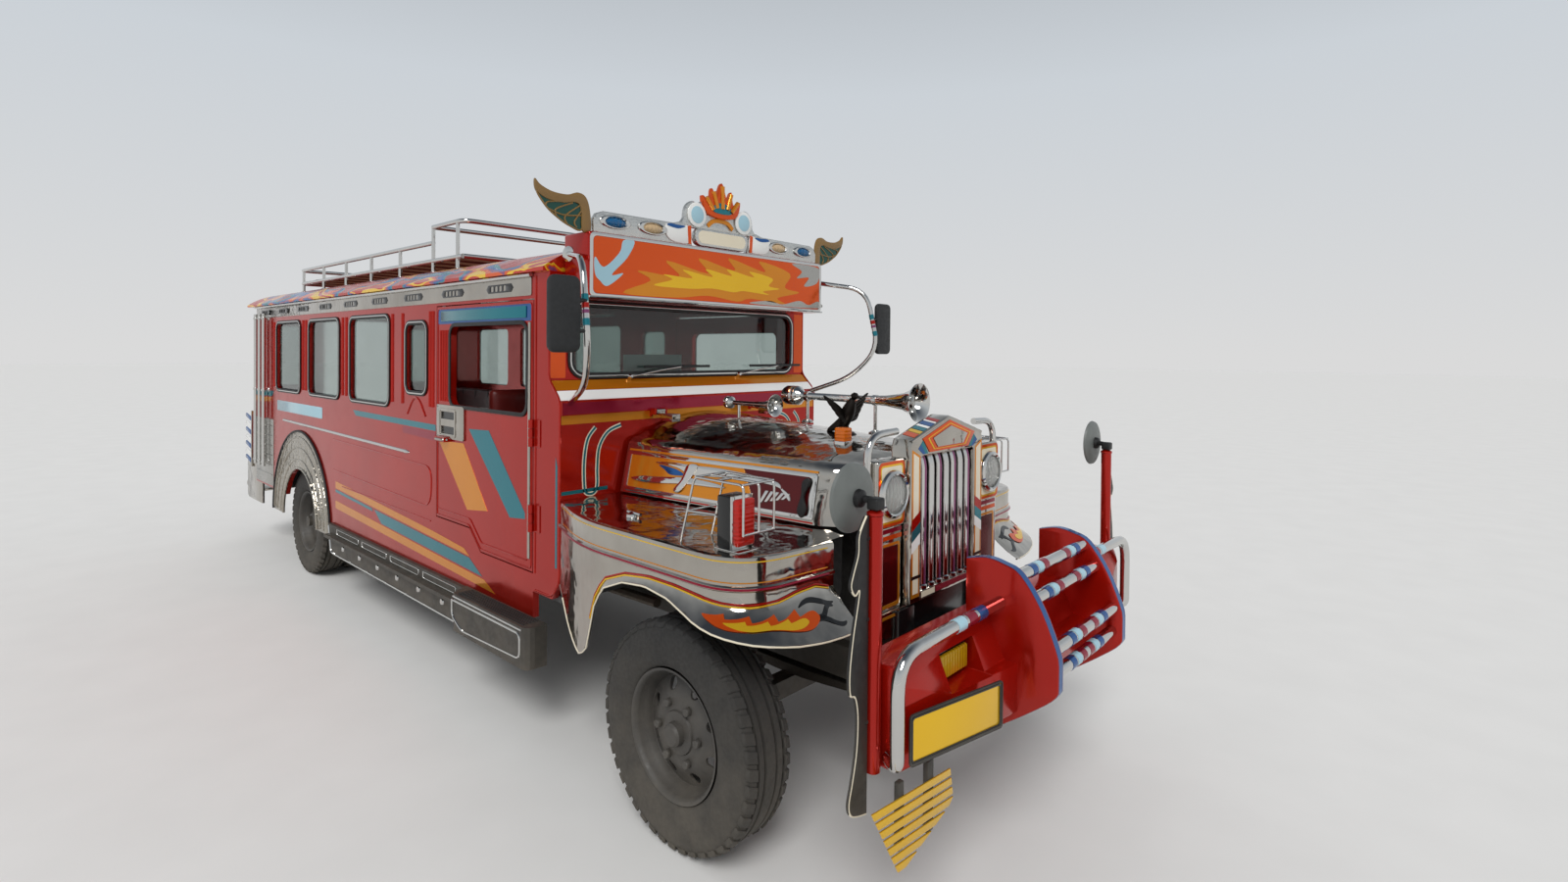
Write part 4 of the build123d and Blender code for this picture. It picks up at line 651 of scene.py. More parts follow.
def tyre(name, x, y, width):
    half = width / 2
    wall = [(rim_radius, half - 0.022), (rim_radius + 0.012, half - 0.008), (0.268, half - 0.001),
        (0.305, half), (0.340, half - 0.002), (0.362, half - 0.008), (0.377, half - 0.020)]
    ribs = [(0.3795, half - 0.028)]
    for spot in (0.058, 0.026):
        ribs.extend([(0.3835, spot + 0.006), (0.373, spot + 0.004), (0.373, spot - 0.004),
            (0.3845, spot - 0.006)])
    half_profile = wall + ribs
    profile = half_profile + [(r, -w) for r, w in reversed(half_profile)]
    profile = profile + [(rim_radius + 0.004, -half + 0.05), (rim_radius + 0.004, half - 0.05), profile[0]]
    carcass = turned(name + "_carcass", profile, (x, y, axle_z), (0, 1, 0), steps=88)
    lugs = []
    for side in (-1, 1):
        lug = brick(name + "_lug", (-0.019, side * 0.062, 0.372), (0.019, side * (half - 0.006),
            tyre_radius - 0.0004), segments=1)
        for corner in lug.data.vertices:
            shoulder = (abs(corner.co.y) - 0.062) / (half - 0.068)
            corner.co.z -= 0.012 * max(shoulder - 0.45, 0) / 0.55
            corner.co.x += 0.010 * side * shoulder
        lugs.append(lug)
    both_lugs = join(name + "_lugs", lugs)
    row = []
    for n in range(lug_count):
        angle = 2 * math.pi * n / lug_count
        one = copy_of(both_lugs, name + "_lug_copy")
        one.matrix_world = Matrix.Translation((x, y, axle_z)) @ Matrix.Rotation(angle, 4, "Y")
        settle(one)
        row.append(one)
    bpy.data.objects.remove(both_lugs)
    return join(name, [carcass] + row)


front_tyre = tyre("front_tyre_right", front_axle_x, -0.848, 0.205)
rear_outer = tyre("rear_tyre_outer_right", rear_axle_x, -0.705, 0.190)
rear_inner = copy_of(rear_outer, "rear_tyre_inner_right", (0, 0.215, 0))
rear_pair = join("rear_tyres_right", [rear_outer, rear_inner])
front_left = copy_of(front_tyre, "front_tyre_left", flip=True)
rear_left = copy_of(rear_pair, "rear_tyres_left", flip=True)
fit(front_tyre, tyre_rubber, "tyre_front_right", body="wheel_front_right")
fit(front_left, tyre_rubber, "tyre_front_left", body="wheel_front_left")
fit(rear_pair, tyre_rubber, "tyres_rear_right", body="wheels_rear_right")
fit(rear_left, tyre_rubber, "tyres_rear_left", body="wheels_rear_left")
print("tyres:", len(front_tyre.data.polygons), "faces on a front tyre")

# %% [markdown]
# The wheels are pressed steel: a rolled rim with a deep well, and a dished disc with round hand
# holes, bolted to the hub. The holes are cut with one ring of cutters, and the nuts are small
# hexagons copied round the hub.

# %% Wheels
hole_count = 8
nut_count = 6
hole_ring = 0.158
nut_ring = 0.103


def wheel(name, x, rim_mid, width, side, disc_profile, hub_profile):
    half = width / 2 - 0.012
    well = [(0.2245, half), (0.218, half - 0.004), (0.212, half - 0.02), (0.206, half - 0.045),
        (0.196, half - 0.06), (0.196, -half + 0.06), (0.206, -half + 0.045), (0.212, -half + 0.02),
        (0.218, -half + 0.004), (0.2245, -half)]
    inside = [(r - 0.005, w) for r, w in reversed(well)]
    barrel = turned(name + "_barrel", well + inside + [well[0]], (x, rim_mid, axle_z), (0, 1, 0), 64)
    disc = turned(name + "_disc", [(r, side * w) for r, w in disc_profile], (x, 0, axle_z), (0, 1, 0), 64)
    cutters = []
    for n in range(hole_count):
        angle = 2 * math.pi * (n + 0.5) / hole_count
        spot = (x + hole_ring * math.cos(angle), disc_profile[3][1] * side,
            axle_z + hole_ring * math.sin(angle))
        bpy.ops.object.select_all(action="DESELECT")
        bpy.ops.mesh.primitive_cylinder_add(vertices=20, radius=0.021, depth=0.2, location=spot,
            rotation=(math.pi / 2, 0, 0))
        cutters.append(settle(bpy.context.object))
    cutter = join(name + "_cutter", cutters)
    press(disc, "BOOLEAN", operation="DIFFERENCE", object=cutter, solver="EXACT")
    bpy.data.objects.remove(cutter)
    hub = turned(name + "_hub", [(r, side * w) for r, w in hub_profile], (x, 0, axle_z), (0, 1, 0), 40)
    nuts = []
    for n in range(nut_count):
        angle = 2 * math.pi * n / nut_count
        spot = (x + nut_ring * math.cos(angle), side * (disc_profile[1][1] + 0.006),
            axle_z + nut_ring * math.sin(angle))
        bpy.ops.object.select_all(action="DESELECT")
        bpy.ops.mesh.primitive_cylinder_add(vertices=6, radius=0.016, depth=0.022, location=spot,
            rotation=(math.pi / 2, 0, 0))
        nuts.append(press(settle(bpy.context.object), "BEVEL", width=0.002, segments=1))
    return join(name, [barrel, disc, hub] + nuts)


front_disc = [(0.070, 0.905), (0.110, 0.905), (0.128, 0.898), (0.160, 0.878), (0.190, 0.868),
    (0.197, 0.880), (0.197, 0.872), (0.190, 0.860), (0.160, 0.870), (0.128, 0.890), (0.110, 0.897),
    (0.070, 0.897), (0.070, 0.905)]
front_hub = [(0, 0.945), (0.032, 0.944), (0.040, 0.936), (0.042, 0.915), (0.072, 0.912), (0.078, 0.900),
    (0.078, 0.780), (0.0, 0.780)]
rear_disc = [(0.070, 0.660), (0.110, 0.660), (0.128, 0.667), (0.160, 0.690), (0.190, 0.700),
    (0.197, 0.690), (0.197, 0.698), (0.190, 0.708), (0.160, 0.698), (0.128, 0.675), (0.110, 0.668),
    (0.070, 0.668), (0.070, 0.660)]
rear_hub = [(0, 0.770), (0.050, 0.768), (0.062, 0.755), (0.066, 0.700), (0.078, 0.690), (0.078, 0.440),
    (0.0, 0.440)]
inner_disc = [(r, w - 0.215) for r, w in rear_disc]
inner_hub = [(0, 0.450), (0.07, 0.450), (0.07, 0.430), (0, 0.430)]
for side, word in sides:
    fit(wheel("front_wheel_" + word, front_axle_x, side * 0.848, 0.205, side, front_disc, front_hub),
        wheel_paint, "rim_front_" + word, body="wheel_front_" + word)
    outer = wheel("rear_wheel_outer_" + word, rear_axle_x, side * 0.705, 0.190, side, rear_disc, rear_hub)
    inner = wheel("rear_wheel_inner_" + word, rear_axle_x, side * 0.490, 0.190, side, inner_disc, inner_hub)
    fit(join("rear_wheels_" + word, [outer, inner]), wheel_paint, "rims_rear_" + word,
        body="wheels_rear_" + word)
print("wheels: 4 bodies with", hole_count, "hand holes a disc")

# %% [markdown]
# Sign painters lay stripes with tape, so a stripe here is a flat shape of enamel under a millimetre
# thick, lying on the panel that it decorates. Three small helpers put such shapes on the sides, on
# faces that look forward, and along a drawn line of even width.

# %% Stripes on the body's planes
body_half = 0.840


def side_sheet(name, side, outlines, out=0.0, depth=0.0008, edge=0.0):
    shapes = [[(-side * x, z) for x, z in outline] for outline in outlines]
    return sheet(name, shapes, (0, side * (body_half + out), 0), (-side, 0, 0), (0, 0, 1), depth, edge)


def front_sheet(name, outlines, x, depth=0.0008, edge=0.0):
    return sheet(name, outlines, (x, 0, 0), (0, 1, 0), (0, 0, 1), depth, edge)


def band(path, width):
    left = []
    right = []
    count = len(path)
    for n in range(count):
        before = Vector(path[max(n - 1, 0)])
        after = Vector(path[min(n + 1, count - 1)])
        run = (after - before).normalized()
        normal = Vector((-run.y, run.x)) * width / 2
        spot = Vector(path[n])
        left.append(tuple(spot + normal))
        right.append(tuple(spot - normal))
    return left + right[::-1]


side_stripes = [
    ("lower amber stripe", "amber",
        [(-1.12, 0.795), (0.44, 0.715), (0.80, 0.690), (0.86, 0.660), (-1.12, 0.748)]),
    ("lower teal stripe", "teal", [(-0.42, 0.706), (0.86, 0.652), (1.00, 0.585), (-0.30, 0.636)]),
    ("long lower teal line", "teal", [(-1.12, 0.740), (-0.46, 0.709), (-0.44, 0.690), (-1.12, 0.722)]),
    ("bottom amber stripe", "amber", [(-1.12, 0.664), (1.02, 0.574), (1.13, 0.528), (-1.12, 0.612)]),
    ("waist teal stripe", "teal", [(-0.79, 1.300), (0.462, 1.292), (0.462, 1.258), (-0.74, 1.266)]),
    ("waist magenta stripe", "magenta", [(0.02, 1.255), (0.462, 1.252), (0.462, 1.205), (0.02, 1.218)]),
    ("rear quarter teal stripe", "teal", [(-3.10, 1.345), (-2.60, 1.345), (-2.66, 1.300), (-3.10, 1.300)]),
    ("rear quarter amber stripe", "amber",
        [(-3.10, 1.292), (-2.67, 1.292), (-2.72, 1.255), (-3.10, 1.255)]),
]
stripe_count = 0
for side, word in sides:
    for label, colour_name, outline in side_stripes:
        stripe = side_sheet(label.replace(" ", "_") + "_" + word, side, [outline])
        fit(stripe, colour_name)
        stripe_count += 1
    fit(side_sheet("plain_notice_strip_" + word, side, [rounded_box(-2.50, -1.40, 1.20, 1.28, 0.012)],
        0, 0.0015, 0.0004), "pale_blue")
print("laid", stripe_count, "side stripes")

# %% [markdown]
# Sheet metal sides are stiffened by pressed ribs between the windows and by rolled mouldings. The
# ribs are half-round swellings in nearly the same red; the rub strip and the gutter are bright trim.
# Under the gutter runs a polished fascia with dark, pierced plates.

# %% Ribs, mouldings and fascia
rib_spots = (-2.585, -1.835, -1.765, -0.985, -0.915, -0.135, 0.015, 0.390, 0.425)
fascia_low = 1.945
fascia_high = 2.030
for side, word in sides:
    y_skin = side * body_half
    ribs = []
    for x in rib_spots:
        ribs.append(pipe("pressed_rib", [(x, y_skin, 1.385), (x, y_skin, 1.905)], 0.009, sides=2))
    crease = [(0.085, y_skin, 1.330), (0.150, y_skin, 1.405), (0.205, y_skin, 1.435),
        (0.262, y_skin, 1.405), (0.330, y_skin, 1.330)]
    ribs.append(pipe("crease", crease, 0.006, 0.03, sides=2))
    loop_path = with_bends([(-1.16, y_skin, 0.870), (0.400, y_skin, 0.840), (0.415, y_skin, 1.060),
        (-1.16, y_skin, 1.078)], 0.09)
    ribs.append(pipe("pressed_loop", loop_path, 0.0045, 0.001, sides=2))
    ribs.append(pipe("pressed_line", [(-0.99, y_skin, 0.775), (0.40, y_skin, 0.765)], 0.004, sides=2))
    fit(join("pressed_ribs_" + word, ribs), "pillar")
    rub = pipe("rub", [(-2.32, y_skin, 1.132), (0.06, y_skin, 1.112)], 0.010)
    tip = turned("rub_tip", [(0, 0), (0.011, 0), (0.010, 0.02), (0.004, 0.05), (0, 0.06)],
        (0.06, y_skin, 1.112), (1, 0, -0.01), 16)
    gutter = pipe("gutter", [(-3.11, side * (body_half + 0.012), 2.036),
        (1.47, side * (body_half + 0.012), 2.036)], 0.010)
    fit(join("side_mouldings_" + word, [rub, tip, gutter]), chrome)
    fit(side_sheet("eaves_fascia_" + word, side, [rounded_box(-3.10, 1.46, fascia_low, fascia_high,
        0.01)], 0, 0.004, 0.001), mirror_steel)
    inserts = []
    for n in range(9):
        x = -2.83 + n * 0.50
        hexagon = [(x - 0.13, 1.988), (x - 0.11, 2.008), (x + 0.11, 2.008), (x + 0.13, 1.988),
            (x + 0.11, 1.968), (x - 0.11, 1.968)]
        slots = [rounded_box(x - 0.085 + k * 0.04, x - 0.060 + k * 0.04, 1.975, 2.001, 0.006, 3)
            for k in range(4)]
        inserts.append(side_sheet("insert", side, [hexagon] + slots, 0.004, 0.002, 0.0005))
    fit(join("fascia_inserts_" + word, inserts), "black")
print("side trim is on")

# %% [markdown]
# Every pane sits in a black rubber section with a bright filler strip let into it. Both follow the
# opening's rounded outline, so each is one ring cut from sheet with softened edges.

# %% Window rubbers
side_windows = (
    (-2.510, -1.910, 1.370, 1.890),
    (-1.690, -1.060, 1.370, 1.890),
    (-0.840, -0.190, 1.370, 1.890),
    (0.070, 0.340, 1.460, 1.840),
)
corner = 0.050


def ring_outlines(a0, a1, b0, b1, outside, inside, radius):
    outer = rounded_box(a0 - outside, a1 + outside, b0 - outside, b1 + outside, radius + outside)
    inner = rounded_box(a0 + inside, a1 - inside, b0 + inside, b1 - inside, max(radius - inside, 0.01))
    return [outer, inner]


rubbers = []
fillers = []
for side, word in sides:
    for x0, x1, z0, z1 in side_windows:
        rubbers.append(side_sheet("rubber", side, ring_outlines(x0, x1, z0, z1, 0.022, 0.006, corner),
            0, 0.008, 0.003))
        fillers.append(side_sheet("filler", side, ring_outlines(x0, x1, z0, z1, 0.013, -0.006, corner),
            0.0072, 0.0016, 0.0005))
screen_x = 1.610
screen = (-0.730, 0.730, 1.592, 1.905)
rubbers.append(front_sheet("rubber", ring_outlines(*screen, 0.022, 0.008, 0.06), screen_x, 0.008, 0.003))
fillers.append(front_sheet("filler", ring_outlines(*screen, 0.012, -0.005, 0.06), screen_x + 0.0072,
    0.0016, 0.0005))
fit(join("window_rubbers", rubbers), seal_rubber, "window_seals")
fit(join("window_filler_strips", fillers), chrome)
print("rubbers and fillers:", len(side_windows) * 2 + 1, "openings")

# %% [markdown]
# The front doors carry the boldest stripes, an amber and a teal one leaning together, and a teal
# board above the window. The handle sits in a polished box, and a bright channel runs down the front
# edge. All of it rides on the door, so it swings with it.

# %% Doors
grip_in = 0.850
grip_out = 0.874
grip_z = 1.2275
door_rear, door_front = 0.476, 1.474
door_low, door_step, door_top = 0.706, 0.806, 1.924
bead_gap = 0.012
for side, word in sides:
    body_name = "door_" + word
    paint_shapes = [
        ("amber_slash", "amber", [[(0.505, 1.212), (0.790, 1.222), (1.050, 0.915), (0.835, 0.890)]]),
        ("teal_slash", "teal", [[(0.850, 1.300), (1.060, 1.308), (1.432, 0.935), (1.268, 0.918)]]),
        ("teal_board_frame", "blue", [[(0.490, 1.832), (1.455, 1.832), (1.455, 1.914), (0.490, 1.914)]]),
    ]
    for label, colour_name, outlines in paint_shapes:
        shape = side_sheet("door_" + label + "_" + word, side, outlines)
        fit(shape, colour_name, body=body_name)
    board = side_sheet("door_teal_board_" + word, side,
        [rounded_box(0.530, 1.415, 1.846, 1.900, 0.006)], 0.0008, 0.004, 0.001)
    fit(board, "teal", body=body_name)
    line_rear, line_front = door_rear + bead_gap, door_front - bead_gap
    line_low, line_step, line_top = door_low + bead_gap, door_step + bead_gap, door_top - bead_gap
    door_line = [(line_rear, line_step), (0.858, line_step), (0.978, line_low), (line_front, line_low),
        (line_front, line_top), (line_rear, line_top), (line_rear, line_step)]
    bead = pipe("bead", [(x, side * (body_half + 0.0005), z) for x, z in door_line], 0.0035, 0.02, sides=2)
    inner_line = [(0.505, 0.850), (0.868, 0.850), (0.990, 0.750), (1.425, 0.750)]
    bead_two = pipe("bead", [(x, side * (body_half + 0.0005), z) for x, z in inner_line], 0.0035, 0.02,
        sides=2)
    ribs = [pipe("bead", [(x, side * body_half, 1.425), (x, side * body_half, 1.800)], 0.006, sides=2)
        for x in (0.520, 0.548, 0.576, 0.604)]
    fit(join("door_pressed_lines_" + word, [bead, bead_two] + ribs), "pillar", body=body_name)
    channel = side_sheet("channel", side, [rounded_box(1.436, 1.456, 0.760, 1.826, 0.004)], 0, 0.006, 0.002)
    plate_outline = rounded_box(0.492, 0.806, 1.232, 1.408, 0.012)
    slot_one = rounded_box(0.545, 0.700, 1.335, 1.372, 0.008)
    slot_two = rounded_box(0.545, 0.700, 1.258, 1.296, 0.008)
    handle_plate = side_sheet("handle_plate", side, [plate_outline, slot_one, slot_two], 0, 0.010, 0.003)
    ridge = side_sheet("handle_ridge", side, [ring_outlines(0.530, 0.715, 1.246, 1.384, 0.006, 0.0,
        0.01)[0], rounded_box(0.538, 0.707, 1.252, 1.378, 0.01)], 0.010, 0.003, 0.001)
    grip = pipe("grip", [(0.525, side * grip_in, grip_z), (0.535, side * grip_out, grip_z),
        (0.615, side * grip_out, grip_z), (0.628, side * grip_in, grip_z)], 0.0075, 0.012)
    fit(join("door_bright_work_" + word, [channel, handle_plate, ridge, grip]), mirror_steel,
        body=body_name)
    # Black sheet seen through the handle plate's slots: painted shade inside the recess.
    fit(side_sheet("door_handle_recess_shade_" + word, side, [rounded_box(0.540, 0.705, 1.254, 1.376, 0.006)],
        0, 0.0012), "black", body=body_name)
    fit(side_sheet("door_window_rubber_" + word, side, ring_outlines(0.640, 1.420, 1.410, 1.820, 0.016,
        0.004, 0.05), 0, 0.007, 0.0025), seal_rubber, body=body_name)
    lining = rounded_box(0.520, 1.430, 0.860, 1.340, 0.03)
    pad = sheet("door_lining_" + word, [[(side * x, z) for x, z in lining]], (0, side * 0.810, 0),
        (side, 0, 0), (0, 0, 1), 0.006, 0.002)
    fit(pad, seat_vinyl, body=body_name)
print("doors are dressed")

# %% [markdown]
# The cowl between bonnet and windscreen is a stack of bands: amber under the glass, a white ledge that
# is a painted highlight where light falls on the slope, a magenta strip and a second amber one. Beside
# the bonnet a cream line and a teal one in its middle curl downwards, the way brush lines finish a corner.

# %% Cowl bands and curls
cowl_half = 0.836
bead_y = body_half + 0.0005
cowl_x = 1.700
slope_up = (-0.7071, 0, 0.7071)


def slope_sheet(name, b0, b1, half, depth=0.001):
    return sheet(name, [quad(-half, half, b0, b1)], (cowl_x, 0, 1.480), (0, 1, 0), slope_up, depth)


cowl_bands = [
    # The white ledge is a painted highlight: white stands in for light on the top of the slope.
    ("cowl_white_ledge", "white", slope_sheet("band", 0.004, 0.060, cowl_half, 0.002)),
    ("cowl_amber_band", "amber", slope_sheet("band", 0.063, 0.122, 0.838)),
    ("cowl_magenta_band", "magenta",
        front_sheet("band", [quad(-cowl_half, cowl_half, 1.424, 1.474)], cowl_x + 0.012)),
    ("cowl_yellow_band", "amber", front_sheet("band", [quad(-cowl_half, cowl_half, 1.380, 1.418)], cowl_x)),
]
for label, colour_name, piece in cowl_bands:
    fit(piece, colour_name)
for side, word in sides:
    outer_curl = smooth([(0.53, 1.362), (0.60, 1.335), (0.645, 1.27), (0.655, 1.18), (0.655, 1.10),
        (0.675, 1.068), (0.712, 1.075), (0.722, 1.12), (0.722, 1.22), (0.705, 1.31), (0.665, 1.360)], 6,
        False)
    curl = mirrored(outer_curl, side)
    cream_line = front_sheet("cowl_cream_curl_" + word, [band(curl, 0.020)], cowl_x, 0.0006)
    teal_line = front_sheet("cowl_teal_curl_" + word, [band(curl, 0.010)], cowl_x + 0.0006, 0.0006)
    fit(cream_line, "cream")
    fit(teal_line, "teal")
    edge_line = quad(side * 0.600, side * 0.834, 1.076, 1.092)
    fit(front_sheet("cowl_teal_edge_" + word, [edge_line], cowl_x, 0.0006), "teal")
    fit(side_sheet("cowl_teal_side_line_" + word, side,
        [[(1.664, 0.760), (1.678, 0.760), (1.678, 1.200), (1.664, 1.240)]]), "teal")
    fit(front_sheet("screen_jamb_" + word, [[(side * 0.762, 1.578), (side * cowl_half, 1.578),
        (side * cowl_half, 1.922), (side * 0.762, 1.922)]], screen_x, 0.001), "orange")
    corner_bead = pipe("bead", [(1.4975, side * bead_y, 0.705), (1.4975, side * bead_y, 2.030)], 0.004,
        sides=2)
    front_bead = pipe("bead", [(1.608, side * bead_y, 2.03), (1.608, side * bead_y, 1.575),
        (1.697, side * bead_y, 1.486), (1.697, side * bead_y, 0.705), (1.640, side * bead_y, 0.630),
        (1.500, side * bead_y, 0.630)], 0.005, 0.03, sides=2)
    fit(join("cowl_edge_beads_" + word, [corner_bead, front_bead]), "pillar")
print("cowl has", len(cowl_bands), "bands")

# %% [markdown]
# Two wipers rest on the windscreen rubber. Each is a driven spindle, a bent arm and a blade, all small
# but plain to see against the glass. Inside, a blank route card stands on the dashboard.

# %% Wipers and route card
wiper_parts = []
blades = []
for y in (-0.42, 0.30):
    wiper_parts.append(turned("spindle", [(0, 0), (0.013, 0), (0.013, 0.012), (0.007, 0.022),
        (0, 0.024)], (screen_x + 0.001, y, 1.578), (1, 0, 0), 16))
    wiper_parts.append(pipe("arm", [(screen_x + 0.020, y, 1.578), (screen_x + 0.026, y + 0.17, 1.606),
        (screen_x + 0.024, y + 0.30, 1.622)], 0.0035, 0.04))
    blades.append(brick("blade", (screen_x + 0.010, y + 0.08, 1.617), (screen_x + 0.020, y + 0.50,
        1.630), 0.002))
fit(join("wiper_arms", wiper_parts), chrome)
fit(join("wiper_blades", blades), seal_rubber)
fit(brick("blank_route_card", (1.560, -0.42, 1.596), (1.563, -0.06, 1.682), 0.001), "white",
    slot="trim_plastic")
print("wipers:", len(blades))

# %% [markdown]
# The head sign is a shallow box with a rolled frame. Its face is left without any name: amber and
# yellow flames on orange, a pale blaze at one end, two silver ones at the other and a chrome border
# fill it.

# %% Head sign
sign_x = 1.810
sign_half = 0.774
sign_low = 1.926
sign_high = 2.209
flame_x = sign_x - 0.0012
fit(brick("sign_box", (1.612, -sign_half, sign_low), (sign_x - 0.002, sign_half, sign_high), 0.012, 3),
    "red", "header_sign", slot="sign_paint")
fit(front_sheet("sign_face", [rounded_box(-0.752, 0.752, 1.946, 2.190, 0.02)], sign_x - 0.002),
    "orange", slot="sign_paint")
fit(front_sheet("sign_frame", [rounded_box(-0.770, 0.770, 1.930, 2.205, 0.022),
    rounded_box(-0.754, 0.754, 1.944, 2.191, 0.02)], sign_x - 0.0025, 0.0025, 0.0008), chrome)
amber_flame = smooth([(-0.60, 1.955), (-0.45, 2.02), (-0.52, 2.06), (-0.28, 2.05), (-0.36, 2.12),
    (-0.10, 2.08), (-0.16, 2.15), (0.08, 2.11), (0.04, 2.17), (0.30, 2.12), (0.26, 2.175), (0.50, 2.13),
    (0.46, 2.05), (0.58, 2.03), (0.40, 1.99), (0.46, 1.96), (0.20, 1.975), (0.10, 1.955),
    (-0.10, 1.972), (-0.30, 1.952)], 4)
yellow_flame = [(y * 0.72, (z - 2.06) * 0.52 + 2.055) for y, z in amber_flame]
for label, colour_name, outline, lift in (("sign_amber_flame", "amber", amber_flame, 0.0),
        ("sign_yellow_flame", "yellow", yellow_flame, 0.0006)):
    fit(front_sheet(label, [outline], flame_x + lift, 0.0006), colour_name, slot="sign_paint")
pale_blaze = smooth([(-0.745, 2.10), (-0.70, 2.06), (-0.62, 2.13), (-0.60, 2.185), (-0.54, 2.187),
    (-0.58, 2.11), (-0.66, 2.03), (-0.60, 2.04), (-0.68, 1.98), (-0.72, 2.00), (-0.745, 2.03)], 5)
dark_blaze = smooth([(0.52, 2.186), (0.60, 2.15), (0.56, 2.11), (0.66, 2.12), (0.62, 2.07),
    (0.70, 2.08), (0.745, 2.11), (0.745, 2.18)], 5)
low_blaze = smooth([(0.20, 1.950), (0.34, 1.972), (0.44, 1.958), (0.58, 1.985), (0.66, 1.966),
    (0.74, 1.99), (0.745, 1.952)], 5)
fit(front_sheet("sign_pale_blaze", [pale_blaze], flame_x, 0.0006), "pale_blue", slot="sign_paint")
fit(front_sheet("sign_silver_blaze_high", [dark_blaze], flame_x, 0.0006), brushed_steel, slot="sign_paint")
fit(front_sheet("sign_silver_blaze_low", [low_blaze], flame_x, 0.0006), brushed_steel, slot="sign_paint")
fit(pipe("sign_visor_lip", [(1.812, -sign_half, 1.930), (1.812, sign_half, 1.930)], 0.005, sides=2), chrome)
print("head sign is", 2 * sign_half, "m wide")

# %% [markdown]
# Above the sign stands a crest of embossed sheet. Punched dimples, some fourteen millimetres apart,
# show as a texture of small domes, so that sheet has its own finish. Oval lamps sit in plated rims,
# and the middle holds a blank cartouche, two plain ovals and a five-pointed crown.

# %% Embossed sheet
embossed = surface("embossed_aluminium", ("#D2D2CF", "#BDBDB9"), patch_mm=70, rough=(0.22, 0.36),
    smear_mm=18, relief_mm=3, relief=0.05, metallic=0.9)
tree = embossed.node_tree
place = add(tree, "ShaderNodeTexCoord")
dimples = add(tree, "ShaderNodeTexVoronoi", {"feature": "SMOOTH_F1", "Scale": 1000 / 14,
    "Randomness": 0.55}, {"Vector": place.outputs["Object"]})
dimple_bump = add(tree, "ShaderNodeBump", {"Strength": 0.7, "Distance": 0.004, "invert": True},
    {"Height": dimples.outputs["Distance"]})
tree.links.new(dimple_bump.outputs["Normal"], tree.nodes["Principled BSDF"].inputs["Normal"])

# %% [markdown]
# The crest is cut in flat layers, as its maker does it, each a few millimetres in front of the last.
# The layers keep painted shapes crisp, and one of them can be corrected without the others.

# %% Crest
crest_x = 1.760
crest_top = 2.306
panels = []
for side, word in sides:
    outline = mirrored([(0.740, 2.209), (0.742, 2.262), (0.722, 2.292), (0.690, 2.304),
        (0.30, crest_top), (0.255, 2.318), (0.205, 2.300), (0.185, 2.209)], side)
    panels.append(front_sheet("panel", [outline], crest_x, 0.030, 0.005))
fit(join("crest_panels", panels), embossed, "sign_crest")
crest_face = crest_x + 0.030
crest_lamp_z = 2.262
rims = []
domes = {"blue": [], "amber": []}
for y, half_y, half_z, glow in ((-0.63, 0.070, 0.026, "blue"), (-0.425, 0.072, 0.027, "amber"),
        (0.425, 0.072, 0.027, "amber"), (0.63, 0.070, 0.026, "blue")):
    lamp_spot = Matrix.Translation((crest_face, y, crest_lamp_z))
    ring = turned("rim", [(0.74, 0.0), (1.12, 0.0), (1.16, 0.12), (1.08, 0.26), (0.94, 0.30),
        (0.80, 0.20), (0.74, 0.0)], (0, 0, 0), (1, 0, 0), 40)
    ring.matrix_world = lamp_spot @ Matrix.Diagonal((0.034, half_y, half_z, 1))
    rims.append(settle(ring))
    dome = turned("dome", [(0, 0.34), (0.30, 0.31), (0.58, 0.20), (0.80, 0.0), (0, 0)], (0, 0, 0),
        (1, 0, 0), 40)
    dome.matrix_world = lamp_spot @ Matrix.Diagonal((0.040, half_y, half_z, 1))
    domes[glow].append(settle(dome))
fit(join("crest_lamp_rims", rims), chrome)
fit(join("crest_blue_lamps", domes["blue"]), blue_lens)
fit(join("crest_amber_lamps", domes["amber"]), glass("pale_amber_lens", "#E8C79A", 0.06, 10, 0.3, "Y"),
    slot="amber_lens")
tails = []
tail_edges = []
for side, word in sides:
    tail = smooth([(0.205, 2.222), (0.30, 2.216), (0.345, 2.240), (0.355, 2.285), (0.325, 2.300),
        (0.275, 2.292), (0.205, 2.300)], 4)
    tails.append(front_sheet("tail", [mirrored(tail, side)], crest_face, 0.006, 0.002))
    edge_shape = mirrored([(0.198, 2.214), (0.216, 2.214), (0.222, 2.300), (0.200, 2.304)], side)
    tail_edges.append(front_sheet("tail_edge", [edge_shape], crest_face + 0.006, 0.001))
fit(join("crest_painted_tails", tails), "white", slot="sign_paint")
fit(join("crest_orange_edges", tail_edges), "orange", slot="sign_paint")
blue_tips = []
for side, word in sides:
    tip = smooth([(0.235, 2.296), (0.28, 2.280), (0.345, 2.288), (0.33, 2.299), (0.28, 2.297)], 4)
    blue_tips.append(front_sheet("tip", [mirrored(tip, side)], crest_face + 0.006, 0.001))
fit(join("crest_blue_tips", blue_tips), "blue", slot="sign_paint")

